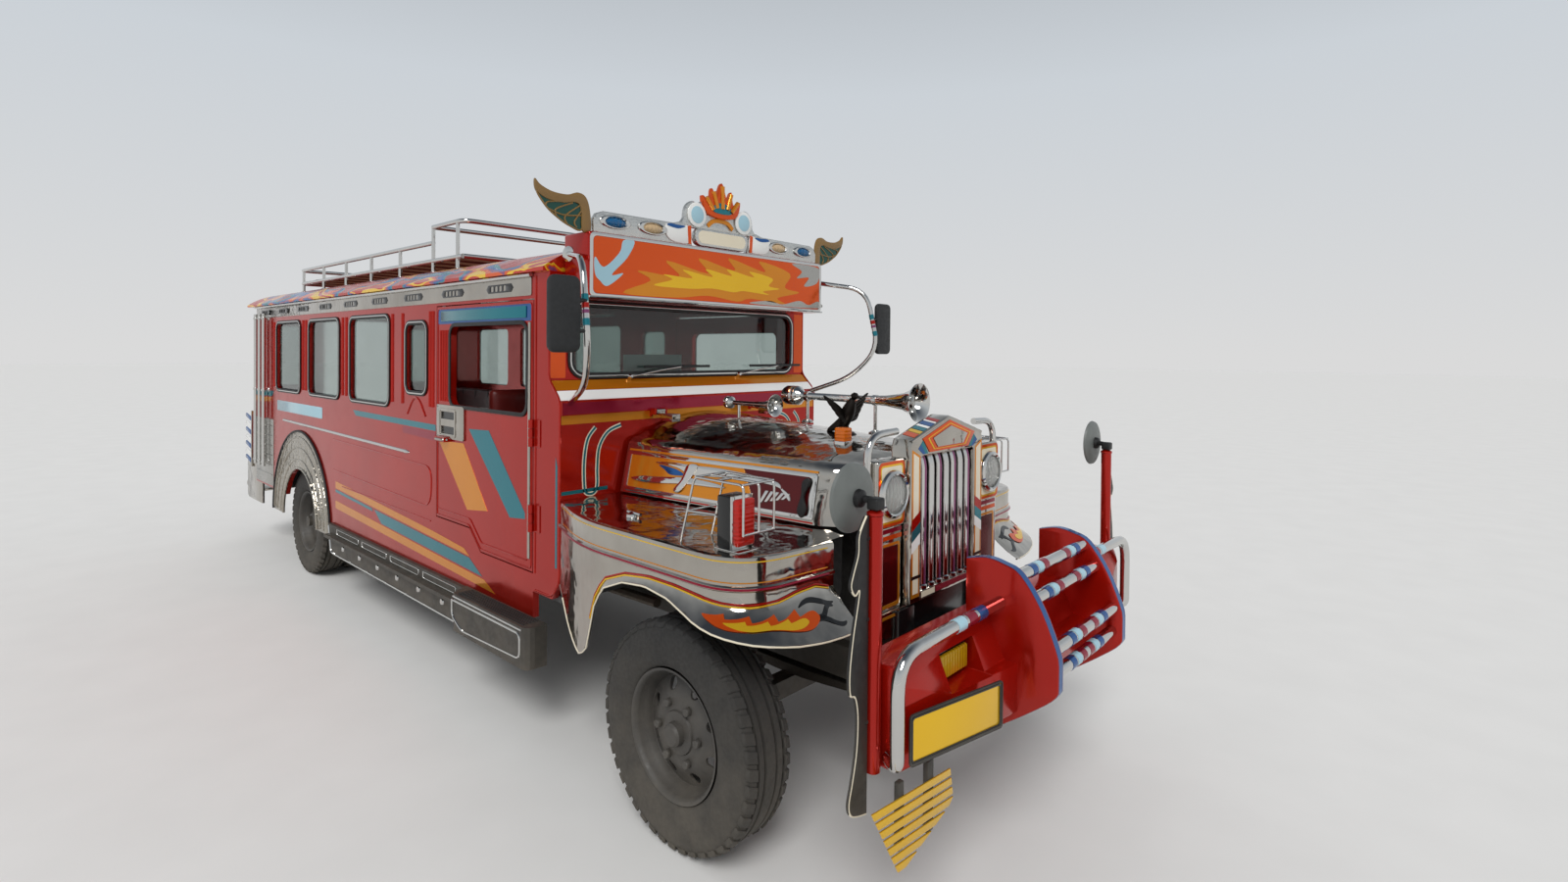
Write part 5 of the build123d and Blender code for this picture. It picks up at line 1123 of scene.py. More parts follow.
fit(front_sheet("crest_cartouche", [rounded_box(-0.178, 0.178, 2.213, 2.300, 0.040)], crest_x + 0.008,
    0.036, 0.008), embossed)
fit(front_sheet("crest_blank_cartouche_face", [rounded_box(-0.160, 0.160, 2.226, 2.288, 0.030)],
    crest_x + 0.044), "cream", slot="sign_paint")
backing = smooth([(-0.215, 2.300), (-0.232, 2.345), (-0.220, 2.400), (-0.180, 2.428), (-0.140, 2.415),
    (-0.10, 2.44), (0.10, 2.44), (0.140, 2.415), (0.180, 2.428), (0.220, 2.400), (0.232, 2.345),
    (0.215, 2.300)], 5)
fit(front_sheet("crest_backing", [backing], crest_x, 0.024, 0.006), embossed)
ovals = []
inner_ovals = []
for side, word in sides:
    ovals.append(front_sheet("oval", [ellipse(side * 0.158, 2.362, 0.058, 0.060)], crest_x + 0.024,
        0.010, 0.004))
    inner_ovals.append(front_sheet("oval", [ellipse(side * 0.158, 2.362, 0.040, 0.042)],
        crest_x + 0.034, 0.0015, 0.0005))
fit(join("crest_white_ovals", ovals), "white", slot="sign_paint")
fit(join("crest_plain_blue_ovals", inner_ovals), "pale_blue", slot="sign_paint")
scroll_line = smooth([(-0.085, 2.318), (-0.05, 2.345), (0.0, 2.352), (0.05, 2.345), (0.085, 2.318)], 6,
    False)
fit(front_sheet("crest_gold_scroll", [band(scroll_line, 0.022)], crest_x + 0.024, 0.006, 0.002),
    "amber", slot="sign_paint")
crown_points = [(-0.088, 2.372), (0.088, 2.372), (0.128, 2.462), (0.080, 2.440), (0.066, 2.506),
    (0.036, 2.462), (0.0, 2.540), (-0.036, 2.462), (-0.066, 2.506), (-0.080, 2.440), (-0.128, 2.462)]
crown = front_sheet("crest_crown", [smooth(crown_points, 4)], crest_x + 0.010, 0.030, 0.006)
fit(crown, "orange", slot="sign_paint")
fingers = []
for y0, z0, y1, z1 in ((-0.062, 2.40, -0.108, 2.455), (-0.034, 2.41, -0.060, 2.490),
        (0, 2.41, 0, 2.522), (0.034, 2.41, 0.060, 2.490), (0.062, 2.40, 0.108, 2.455)):
    fingers.append(pipe("finger", [(crest_x + 0.040, y0, z0), (crest_x + 0.040, y1, z1)], 0.012))
fit(join("crest_crown_fingers", fingers), "amber", slot="sign_paint")
fit(front_sheet("crest_teal_panel",
    [smooth([(-0.060, 2.392), (0.0, 2.384), (0.060, 2.392), (0.050, 2.425), (0.0, 2.440),
    (-0.050, 2.425)], 5)], crest_x + 0.040, 0.004, 0.0015), "teal", slot="sign_paint")
print("crest stands to", max(z for y, z in crown_points), "m")

# %% [markdown]
# A wing of cut sheet rises at each end of the sign. A bronze bow forms its leading edge, and dark
# green feathers hang from the bow, outlined and parted by bronze wires.

# %% Wings
wing_x = 1.766
feather_lines = (
    ((0.800, 2.312), (0.870, 2.258), (0.860, 2.226)),
    ((0.835, 2.318), (0.912, 2.282), (0.912, 2.254)),
    ((0.880, 2.318), (0.948, 2.306), (0.960, 2.290)),
    ((0.793, 2.290), (0.826, 2.240), (0.815, 2.218)),
    ((0.795, 2.270), (0.880, 2.262), (0.945, 2.278)),
)
for side, word in sides:
    bow = smooth([(0.748, 2.212), (0.752, 2.300), (0.772, 2.352), (0.810, 2.366), (0.860, 2.350),
        (0.930, 2.352), (0.985, 2.372), (1.008, 2.392), (1.002, 2.345), (0.955, 2.318), (0.880, 2.312),
        (0.822, 2.322), (0.795, 2.300), (0.790, 2.212)], 5)
    fit(front_sheet("wing_bow_" + word, [mirrored(bow, side)], wing_x, 0.016, 0.004), "bronze",
        slot="sign_paint")
    feather_web = smooth([(0.790, 2.214), (0.850, 2.222), (0.910, 2.252), (0.960, 2.290),
        (0.998, 2.345), (0.93, 2.330), (0.86, 2.322), (0.80, 2.318)], 5)
    fit(front_sheet("wing_feathers_" + word, [mirrored(feather_web, side)], wing_x + 0.003, 0.008,
        0.002), "green", slot="sign_paint")
    wires = []
    edge_line = [(wing_x + 0.010, side * y, z) for y, z in feather_web]
    wires.append(pipe("wire", edge_line, 0.004, closed=True, sides=2))
    for feather_line in feather_lines:
        path = smooth(feather_line, 6, False)
        wires.append(pipe("wire", [(wing_x + 0.012, side * y, z) for y, z in path], 0.0035, 0.001, sides=2))
    fit(join("wing_wires_" + word, wires), "bronze", slot="sign_paint")
print("wings reach", round(max(y for y, z in bow), 3), "m out")

# %% [markdown]
# The bonnet is a mirror polished hood that narrows and sinks towards the grille. Its cross-section is
# drawn at three stations, with upright sides, a rolled shoulder and a low crown, and every rib in
# between is worked out from them. Bridging neighbouring ribs gives one even skin, which then gets the
# thickness of sheet steel.

# %% Bonnet skin
bonnet_rear = 1.722
bonnet_bend = 2.800
bonnet_front = 2.985
# x, half width low, half width high, height of the shoulder, height of the crown
bonnet_stations = ((bonnet_rear, 0.545, 0.505, 1.300, 1.398), (bonnet_bend, 0.445, 0.405, 1.284, 1.340),
    (bonnet_front, 0.330, 0.295, 1.272, 1.322))
bonnet_low = 1.062
strap_half = 0.024
swing_edge = ((bonnet_low, 2.940), (1.240, 2.978), (1.330, 2.984))


def between(table, value):
    for low, high in zip(table, table[1:]):
        if value <= high[0] or high is table[-1]:
            t = min(max((value - low[0]) / (high[0] - low[0]), 0), 1)
            return [a + (b - a) * t for a, b in zip(low[1:], high[1:])]


def bonnet_rib(x):
    half_low, half_top, shoulder, crown = between(bonnet_stations, x)
    right = [(half_low, bonnet_low)]
    for n in range(1, 7):
        t = n / 6
        z = bonnet_low + (shoulder - 0.045 - bonnet_low) * t
        right.append((half_low + (half_top - half_low) * t, z))
    for n in range(1, 7):
        angle = math.radians(90 * n / 6)
        right.append((half_top - 0.058 * (1 - math.cos(angle)), shoulder - 0.045 + 0.052 * math.sin(angle)))
    edge_y, edge_z = right[-1]
    for n in range(1, 11):
        y = edge_y * (1 - n / 10)
        right.append((y, crown - (crown - edge_z) * (y / edge_y) ** 2))
    outline = [(-y, z) for y, z in right] + [(y, z) for y, z in reversed(right[:-1])]
    rib = []
    for y, z in outline:
        limit = between(swing_edge, z)[0]
        rib.append((min(x, limit), y, z))
    return rib


bonnet_stops = [bonnet_rear + (bonnet_bend - bonnet_rear) * n / 16 for n in range(17)] + [2.83, 2.86,
    2.89, 2.92, 2.945, 2.965, bonnet_front]
hood = skin("bonnet_skin", [bonnet_rib(x) for x in bonnet_stops])
press(hood, "SOLIDIFY", thickness=0.002, offset=-1)
hinge_x = 1.734
hinge_z = 1.418
hood_parts = [hood]
for y in (-0.330, 0.330):
    hood_parts.append(brick("strap", (hinge_x - 0.004, y - strap_half, 1.402),
        (hinge_x + 0.120, y + strap_half, 1.408), 0.002))
    hood_parts.append(pipe("barrel", [(hinge_x, y - 0.025, hinge_z), (hinge_x, y + 0.025, hinge_z)], 0.009))
    hood_parts.append(brick("foot", (hinge_x - 0.008, y - strap_half, 1.400),
        (hinge_x + 0.008, y + strap_half, hinge_z), 0.001))
    hood_parts.append(brick("riser", (hinge_x + 0.030, y - strap_half, 1.372),
        (hinge_x + 0.120, y + strap_half, 1.404), 0.002))
front_roll = [tuple(Vector(p) - Vector((0.010, 0, 0))) for p in bonnet_rib(bonnet_front)]
hood_parts.append(pipe("roll", front_roll, 0.009, 0.001, sides=2))
fit(join("bonnet_sheet", hood_parts), mirror_steel, "bonnet", body="bonnet")
print("bonnet skin has", len(bonnet_stops), "ribs")

# %% [markdown]
# Its sides carry painted panels: a bright border, an amber field that turns dark red towards the
# front, and a chrome ornament. The ornament is a generic spear with louvre bars and a swept fin.

# %% Bonnet side panels
panel_start = Vector((bonnet_rear, 0.5455, bonnet_low))
panel_end = Vector((bonnet_bend, 0.4455, bonnet_low))
panel_up = Vector((0, -0.040, 0.193)).normalized()
field = (0.040, 1.030, 0.030, 0.172)
field_start, field_end, field_low, field_high = field


def panel_sheet(name, side, outlines, out=0.0, depth=0.0008, edge=0.0):
    flip = Vector((1, side, 1))
    start = panel_start * flip
    along = (panel_end * flip - start).normalized() * -side
    up = panel_up * flip
    lift = along.cross(up).normalized() * out
    shapes = [[(-side * a, b) for a, b in outline] for outline in outlines]
    return sheet(name, shapes, start + lift, along, up, depth, edge)


for side, word in sides:
    border = panel_sheet("bonnet_panel_border_" + word, side,
        [rounded_box(0.015, 1.060, 0.012, 0.188, 0.015), rounded_box(*field, 0.008)], 0, 0.003, 0.001)
    fit(border, chrome, body="bonnet")
    amber_field = [(field_start, field_low), (0.775, field_low), (0.700, field_high),
        (field_start, field_high)]
    dark_field = [(0.780, field_low), (field_end, field_low), (field_end, field_high), (0.705, field_high)]
    fit(panel_sheet("bonnet_amber_field_" + word, side, [amber_field]), "amber", body="bonnet")
    fit(panel_sheet("bonnet_red_field_" + word, side, [dark_field]), "maroon", body="bonnet")
    fit(panel_sheet("bonnet_top_line_" + word, side, [quad(0.02, 1.06, 0.1895, 0.198)]), "amber",
        body="bonnet")
    fit(panel_sheet("bonnet_low_line_" + word, side, [quad(0.02, 1.06, 0.003, 0.009)]), "red",
        body="bonnet")
    spear = smooth([(0.060, 0.068), (0.130, 0.084), (0.230, 0.090), (0.400, 0.104), (0.560, 0.098),
        (0.620, 0.086), (0.560, 0.080), (0.400, 0.076), (0.230, 0.062), (0.130, 0.058)], 5)
    upper = smooth([(0.200, 0.150), (0.330, 0.140), (0.420, 0.118), (0.560, 0.122), (0.700, 0.128),
        (0.860, 0.122), (0.930, 0.100), (0.945, 0.076), (0.905, 0.110), (0.860, 0.142), (0.600, 0.160),
        (0.420, 0.158), (0.300, 0.160)], 5)
    fin = smooth([(0.395, 0.155), (0.455, 0.160), (0.430, 0.110), (0.372, 0.040), (0.335, 0.046),
        (0.372, 0.092)], 5)
    ornaments = [panel_sheet("spear", side, [spear], 0.0008, 0.006, 0.002), panel_sheet("upper", side,
        [upper], 0.0008, 0.005, 0.002), panel_sheet("fin", side, [fin], 0.0045, 0.005, 0.002)]
    for n in range(5):
        a = 0.800 + n * 0.026
        bar = [(a, 0.050 + n * 0.006), (a + 0.014, 0.050 + n * 0.006), (a + 0.042, 0.100),
            (a + 0.026, 0.100)]
        ornaments.append(panel_sheet("bar", side, [bar], 0.0008, 0.004, 0.0012))
    fit(join("bonnet_spear_" + word, ornaments), chrome, body="bonnet")
    inlay = smooth([(0.225, 0.142), (0.330, 0.132), (0.380, 0.112), (0.300, 0.106), (0.260, 0.124)], 5)
    fit(panel_sheet("bonnet_blue_inlay_" + word, side, [inlay], 0.0008, 0.002, 0.0005), "blue",
        body="bonnet")
    latch = [panel_sheet("latch", side,
        [smooth([(1.000, 0.150), (1.022, 0.168), (1.034, 0.150), (1.016, 0.100), (1.030, 0.052),
        (1.014, 0.020), (0.992, 0.045), (1.002, 0.100)], 5)], 0.003, 0.014, 0.004)]
    fit(join("bonnet_latch_" + word, latch), seal_rubber, body="bonnet", slot="trim_plastic")
print("bonnet panels are on")

# %% [markdown]
# Over the crown stand a long trumpet horn on two posts, a short one on a single post, a small dark
# winged figure and two amber marker cubes. Both trumpets are turned on a lathe from one profile:
# driver, thin tube, flaring bell.

# %% Horn, figure and markers
horn_y = 0.200
horn_z = 1.488
bell = [(0.0, 0.712), (0.012, 0.700), (0.020, 0.640), (0.034, 0.700), (0.052, 0.740), (0.080, 0.766),
    (0.084, 0.768), (0.084, 0.763), (0.058, 0.733), (0.038, 0.690), (0.024, 0.600), (0.018, 0.470),
    (0.017, 0.120), (0.030, 0.100), (0.046, 0.082), (0.047, 0.070), (0.044, 0.064), (0.047, 0.058),
    (0.046, 0.012), (0.040, 0.0), (0, 0.0)]
horn_parts = [turned("trumpet", bell, (2.062, horn_y, horn_z), (1, 0, 0), 40)]
for x in (2.200, 2.600):
    foot_z = 1.360 if x < 2.4 else 1.338
    horn_parts.append(pipe("post", [(x, horn_y, foot_z), (x, horn_y, horn_z)], 0.008))
    horn_parts.append(turned("clamp", [(0.016, -0.012), (0.024, -0.010), (0.024, 0.010), (0.016, 0.012),
        (0.016, -0.012)], (x, horn_y, horn_z), (1, 0, 0), 24))
    horn_parts.append(turned("foot", [(0, 0), (0.030, 0), (0.030, 0.006), (0.014, 0.016), (0, 0.016)],
        (x, horn_y, foot_z), (0, 0, 1), 20))
short_bell = [(r * 0.62, h * 0.42) for r, h in bell]
horn_parts.append(turned("short_trumpet", short_bell, (1.905, -0.060, 1.455), (1, 0, 0), 32))
horn_parts.append(pipe("post", [(1.99, -0.060, 1.385), (1.99, -0.060, 1.455)], 0.007))
fit(join("trumpet_horns", horn_parts), chrome, "bonnet_ornaments", body="bonnet")
bird_body = [(0, 0), (0.010, 0.004), (0.022, 0.030), (0.030, 0.070), (0.029, 0.100), (0.020, 0.130),
    (0.012, 0.148), (0, 0.152)]
bird_parts = [
    turned("breast", bird_body, (2.565, 0, 1.366), (0.42, 0, 1), 24),
    turned("head", [(0, -0.017), (0.012, -0.012), (0.0165, 0), (0.013, 0.011), (0, 0.018)],
        (2.632, 0, 1.515), (1, 0, 0.1), 20),
    turned("beak", [(0, 0), (0.008, 0.001), (0.005, 0.014), (0, 0.030)],
        (2.644, 0, 1.514), (1, 0, -0.35), 12),
    turned("plinth", [(0, 0), (0.050, 0), (0.052, 0.014), (0.040, 0.024), (0, 0.024)],
        (2.58, 0, 1.336), (0, 0, 1), 28),
    sheet("tail", [[(2.585, 1.395), (2.560, 1.420), (2.500, 1.372), (2.492, 1.356), (2.520, 1.358)]],
        (0, 0.018, 0), (1, 0, 0), (0, 0, 1), 0.036, 0.006),
]
for side, word in sides:
    bird_parts.append(pipe("leg", [(2.590, side * 0.014, 1.352), (2.583, side * 0.014, 1.392)], 0.006))
    for n in range(5):
        reach = 0.150 - 0.020 * n
        feather = smooth([(0.012, 1.440 - 0.006 * n), (0.050, 1.474 - 0.012 * n),
            (reach, 1.522 - 0.022 * n), (reach * 0.92, 1.500 - 0.020 * n), (0.050, 1.448 - 0.010 * n),
            (0.012, 1.418 - 0.004 * n)], 4)
        bird_parts.append(front_sheet("feather", [mirrored(feather, side)], 2.586 + 0.003 * n, 0.006,
            0.002))
bird_bronze = surface("dark_bronze_casting", ("#2A2420", "#1B1714"), 40, (0.3, 0.45), 12, 3, 0.2, 0.8)
fit(join("bonnet_bird", bird_parts), bird_bronze, body="bonnet", slot="polished_steel")
cubes = []
cube_feet = []
for x, y, foot_z in ((2.700, -0.165, 1.322), (2.935, 0.250, 1.290)):
    cubes.append(brick("cube", (x - 0.026, y - 0.026, 1.342), (x + 0.026, y + 0.026, 1.398), 0.006))
    cube_feet.append(brick("base", (x - 0.028, y - 0.028, foot_z), (x + 0.028, y + 0.028, 1.345)))
fit(join("amber_marker_cubes", cubes), amber_lens, "marker_lamps", body="bonnet")
fit(join("marker_cube_bases", cube_feet), chrome, body="bonnet")
print("bonnet carries", len(horn_parts), "horn pieces, a bird and", len(cubes), "markers")

# %% [markdown]
# Each fender is a flat-topped box of mirror steel. Its wall follows a line that runs straight along
# the side and turns round the front corner, and below a rolled bead it flares into a waved lip. So
# the wall is made as ribs along that line, with a table that says how far the lip reaches out, where
# its crease lies and how low it hangs.

# %% Fenders
fender_top = 1.055
bead_z = 0.953
fender_path = ((1.700, -0.840, 0), (2.050, -0.970, 0), (2.925, -0.970, 0), (2.968, -0.560, 0))
# way along the wall, reach outwards, height of the crease, height of the edge
lip_table = ((0.00, 0, 0.740, 0.700), (0.16, 0, 0.640, 0.600), (0.33, 0, 0.560, 0.520),
    (0.40, 0, 0.600, 0.550), (0.445, 0.004, 0.700, 0.655), (0.48, 0.006, 0.790, 0.752),
    (0.54, 0.010, 0.862, 0.828), (0.665, 0.014, 0.905, 0.877), (0.80, 0.018, 0.922, 0.893),
    (0.94, 0.030, 0.922, 0.884), (1.05, 0.050, 0.915, 0.862), (1.15, 0.075, 0.905, 0.835),
    (1.25, 0.100, 0.900, 0.812), (1.34, 0.120, 0.905, 0.797), (1.42, 0.132, 0.920, 0.790),
    (1.50, 0.137, 0.925, 0.790), (1.57, 0.137, 0.905, 0.792))


def even_steps(path, step):
    out = [Vector(path[0])]
    for start, end in zip(path, path[1:]):
        start, end = Vector(start), Vector(end)
        count = max(1, round((end - start).length / step))
        out.extend([start.lerp(end, n / count) for n in range(1, count + 1)])
    return out


fender_line = even_steps(with_bends(fender_path, 0.27, 10), 0.03)
travelled = [0.0]
for before, after in zip(fender_line, fender_line[1:]):
    travelled.append(travelled[-1] + (after - before).length)
outward = []
for n in range(len(fender_line)):
    run = fender_line[min(n + 1, len(fender_line) - 1)] - fender_line[max(n - 1, 0)]
    outward.append(Vector((run.y, -run.x, 0)).normalized())


def fender_spot(n, out, z):
    spot = fender_line[n] + outward[n] * out
    return (spot.x, spot.y, z)


def fender_rib(n):
    reach, crease, low = between(lip_table, travelled[n])
    drop = crease - low
    shape = [(-0.030, fender_top), (-0.010, fender_top), (-0.003, fender_top - 0.003),
        (0, fender_top - 0.010), (0, bead_z + 0.010), (0.006, bead_z + 0.005), (0.006, bead_z - 0.005),
        (0, bead_z - 0.010), (0, crease), (0.14 * reach, crease - 0.20 * drop),
        (0.36 * reach, crease - 0.45 * drop), (0.68 * reach, crease - 0.75 * drop),
        (reach, low + 0.004), (reach + 0.001, low), (reach - 0.004, low - 0.002),
        (reach - 0.008, low + 0.001)]
    return [fender_spot(n, out, z) for out, z in shape]


wall_skin = skin("wall", [fender_rib(n) for n in range(len(fender_line))])
press(wall_skin, "SOLIDIFY", thickness=0.0016, offset=-1)
top_outline = [(p.x - 0.020 * o.x, p.y - 0.020 * o.y) for p, o in zip(fender_line, outward)]
top_outline = top_outline + [(2.940, -0.470), (2.800, -0.425), (1.702, -0.525)]
top_sheet = sheet("top", [top_outline], (0, 0, fender_top - 0.003), (1, 0, 0), (0, 1, 0), 0.003)
right_fender = join("fender_panels_right", [wall_skin, top_sheet])
left_fender = copy_of(right_fender, "fender_panels_left", flip=True)
fit(right_fender, mirror_steel, "fender_right")
fit(left_fender, mirror_steel, "fender_left")
inner_walls = []
for side, word in sides:
    inner_line = [(1.704, side * 0.528), (2.800, side * 0.430), (2.936, side * 0.472)]
    for (x0, y0), (x1, y1) in zip(inner_line, inner_line[1:]):
        along = Vector((x1 - x0, y1 - y0, 0))
        inner_walls.append(sheet("inner",
            [[(0, 0.640), (along.length, 0.860), (along.length, fender_top - 0.004),
            (0, fender_top - 0.004)]], (x0, y0, 0), along, (0, 0, 1), 0.003))
fit(join("fender_inner_aprons", inner_walls), chassis_black_and_skirt_shade)
print("fender wall is", round(travelled[-1], 2), "m long with", len(fender_line), "ribs")

# %% [markdown]
# Thin painted lines follow the fender's edges: yellow and amber inside the upper band, magenta over
# the bead, red and yellow along the lip's crease, cream along its edge. They are laid as fine tubes
# along the same ribs, and mirrored for the other side. The lip's corner has a loose flame in orange
# and yellow and three black strokes.

# %% Fender lines and lip flame
line_table = (("fender_yellow_line_high", "yellow", fender_top - 0.016, 0.0, 0.0022),
    ("fender_yellow_line_low", "amber", bead_z + 0.020, 0.0, 0.0022), ("fender_dark_line", "magenta",
    bead_z, 0.006, 0.004), ("fender_edge_line", "cream", None, None, 0.003))
for label, colour_name, height, out, radius in line_table:
    path = []
    for n in range(2, len(fender_line) - 1):
        if height is None:
            reach, crease, low = between(lip_table, travelled[n])
            path.append(fender_spot(n, reach, low))
        else:
            path.append(fender_spot(n, out, height))
    fit_pair(pipe(label + "_right", path, radius, 0.001, sides=2), label, colour_name)
for label, colour_name, lift in (("fender_crease_red", "red", 0.004), ("fender_crease_yellow", "yellow",
        -0.004)):
    path = []
    for n in range(2, len(fender_line) - 1):
        if travelled[n] > 0.42:
            reach, crease, low = between(lip_table, travelled[n])
            path.append(fender_spot(n, 0.002 + 0.02 * reach, crease + lift))
    fit_pair(pipe(label + "_right", path, 0.0035, 0.001, sides=2), label, colour_name)


def lip_patch(name, start, end, rise, colour_name, lift):
    profile = ((0, 0), (0.20, 0.14), (0.45, 0.36), (0.75, 0.68), (1.0, 1.0))
    ribs = []
    for step in range(61):
        share = step / 60
        way = start + (end - start) * share
        n = max(k for k in range(len(travelled) - 1) if travelled[k] <= way)
        part = (way - travelled[n]) / (travelled[n + 1] - travelled[n])
        low_share, high_share = rise(share)
        reach, crease, low = between(lip_table, way)
        rib = []
        for k in range(7):
            t = low_share + (high_share - low_share) * k / 6
            out = between(profile, 1 - t)[0] * reach + lift
            z = low + (crease - low) * t + lift * 0.5
            rib.append(Vector(fender_spot(n, out, z)).lerp(Vector(fender_spot(n + 1, out, z)), part))
        ribs.append(rib)
    patch = skin(name + "_right", ribs)
    press(patch, "SOLIDIFY", thickness=0.0006, offset=0)
    fit_pair(patch, name, colour_name)


def leaf(share, sharp):
    edge = min(share * sharp, (1 - share) * sharp, 1.0)
    return math.sqrt(max(edge * (2 - edge), 0.0004))


def tongues_up(share, count, middle, half):
    lick = (share * count) % 1.0
    full = leaf(share, 3.0)
    below = half * (0.55 + 0.25 * math.sin(9 * share)) * full
    above = half * (0.35 + 0.75 * lick ** 1.5) * full
    return middle - below, middle + above


for label, start, end, middle, sway in (("low", 1.42, 1.555, 0.30, 0.10), ("middle", 1.44, 1.54, 0.50,
        -0.09), ("high", 1.40, 1.55, 0.70, 0.07)):
    def stroke(share, middle=middle, sway=sway):
        centre = middle + sway * math.sin(5.5 * share)
        return centre - 0.055 * leaf(share, 2.0), centre + 0.055 * leaf(share, 2.0)
    lip_patch("lip_black_stroke_" + label, start, end, stroke, "black", 0.0016)
lip_patch("lip_orange_flame", 1.10, 1.46, lambda s: tongues_up(s, 5, 0.44, 0.28), "orange", 0.0026)
lip_patch("lip_yellow_flame", 1.17, 1.41, lambda s: tongues_up(s, 4, 0.41, 0.15), "yellow", 0.0036)
print("fender lines are drawn")

# %% [markdown]
# The grille shell is a peaked frame of polished sheet around seven vertical tubes, every second one
# with a mauve line down its front. The shell's face carries painted side strips with slanted bands,
# and the peak holds a bare pentagon badge edged in orange. Stripes cross the sloping shoulders.

# %% Grille shell
shell_half = 0.270
tube_x = 3.070
tube_radius = 0.0155
grille_face = 3.090
shell_outline = [(-0.268, 0.792), (0.268, 0.792), (shell_half, 0.830), (shell_half, 1.360),
    (0.258, 1.388), (0.020, 1.458), (0, 1.463), (-0.020, 1.458), (-0.258, 1.388), (-shell_half, 1.360),
    (-shell_half, 0.830)]
opening_outline = rounded_box(-0.198, 0.198, 0.826, 1.322, 0.016)
shell = front_sheet("shell", [shell_outline, opening_outline], 3.002, 0.086, 0.007)
back_plate = front_sheet("grille_backing", [rounded_box(-0.24, 0.24, 0.80, 1.34, 0.01)], 3.001, 0.004)
top_roll = pipe("top_roll", [(3.082, -0.262, 1.380), (3.082, 0, 1.456), (3.082, 0.262, 1.380)], 0.007, 0.03)
low_plate = brick("low_plate", (3.060, -0.205, 0.800), (3.0895, 0.205, 0.828), 0.004)
fit(join("grille_surround", [shell, top_roll, low_plate]), mirror_steel, "grille_shell")
fit(back_plate, radiator_black)
aprons = [front_sheet("apron", [quad(-0.240, 0.240, 0.604, 0.792)], 3.002, 0.060, 0.003)]
for side, word in sides:
    aprons.append(brick("side_apron", (3.070, side * 0.236, 0.604), (3.088, side * 0.338, 0.788)))
fit(join("grille_apron", aprons), "black", slot="chassis_paint")

mauve_tubes = []
chrome_tubes = []
for n in range(7):
    y = (n - 3) * 0.054
    top = [(tube_x, y, 0.826), (tube_x, y, 1.285), (3.060, y, 1.318), (3.030, y, 1.330)]
    tube = pipe("tube", top, tube_radius, 0.02, sides=4)
    foot = turned("foot", [(tube_radius, 0), (0.021, 0.002), (0.021, 0.012), (tube_radius, 0.016),
        (tube_radius, 0)], (tube_x, y, 0.830), (0, 0, 1), 20)
    chrome_tubes.extend([tube, foot])
    if n % 2 == 0:
        line = [(x + 0.0075 if z < 1.3 else x + 0.006, y, z + (0.006 if z > 1.3 else 0)) for x, y, z in top]
        mauve_tubes.append(pipe("line", line, 0.0095, 0.02))
fit(join("grille_mauve_lines", mauve_tubes), "mauve")
fit(join("grille_chrome_tubes", chrome_tubes), chrome, "grille_tubes")
print("grille has", len(chrome_tubes) // 2, "tubes,", len(mauve_tubes), "with a line")

# %% [markdown]
# The grille's paint is sheet a fraction of a millimetre thick. A shape is typed for one side and
# mirrored, and all shapes of a colour are joined, so that each colour is one piece.

# %% Painted face of the grille
strip_in = 0.206
strip_out = 0.262
face_x = grille_face - 0.0022
face_shapes = []
for side, word in sides:
    border = [(strip_in, 0.812), (strip_out, 0.812), (strip_out, 1.352), (strip_in, 1.326)]
    centre = [(0.216, 0.826), (0.252, 0.826), (0.252, 1.338), (0.216, 1.320)]
    face_shapes.append(("strip_border", "amber", mirrored(border, side), 0.0))
    face_shapes.append(("strip_centre", "cream", mirrored(centre, side), 0.0006))
    for low, high, colour_name in ((1.085, 1.125, "red"), (1.045, 1.085, "teal"),
            (1.005, 1.045, "white"), (0.880, 0.892, "black")):
        slant = 0.030 if colour_name != "black" else 0.0
        slanted = [(strip_in, low), (strip_out, low - slant), (strip_out, high - slant), (strip_in, high)]
        face_shapes.append(("strip_band", colour_name, mirrored(slanted, side), 0.0012))
    for colour_name, low, high in (("blue", 0.204, 0.222), ("teal", 0.186, 0.204)):
        corner_band = [(low, 1.352 - (low - 0.222) * 0.9), (high, 1.352 - (high - 0.222) * 0.9),
            (high - 0.032, 1.330), (low - 0.032, 1.330)]
        face_shapes.append(("corner_band", colour_name, mirrored(corner_band, side), 0.0004))
by_colour = {}
for label, colour_name, outline, lift in face_shapes:
    by_colour.setdefault(colour_name, []).append(front_sheet(label, [outline], face_x + lift, 0.0006))
shoulder_stripes = (("orange", 0.020, 0.052), ("yellow", 0.058, 0.080), ("teal", 0.086, 0.112),
    ("white", 0.116, 0.132), ("blue", 0.136, 0.166), ("white", 0.170, 0.180), ("red", 0.184, 0.206))
for side, word in sides:
    for colour_name, low, high in shoulder_stripes:
        stripe = [(-side * low, 0.008), (-side * high, 0.008), (-side * (high + 0.022), 0.072),
            (-side * (low + 0.022), 0.072)]
        by_colour.setdefault(colour_name, []).append(sheet("shoulder", [stripe],
            (3.088, side * 0.257, 1.3885), (0, 1, -side * 0.294), (-1, 0, 0), 0.0012))
badge = [(-0.196, 1.388), (0.0, 1.446), (0.196, 1.388), (0.146, 1.334), (-0.146, 1.334)]


def shrunk(outline, share, centre):
    return [(centre[0] + (a - centre[0]) * share, centre[1] + (b - centre[1]) * share) for a, b in outline]


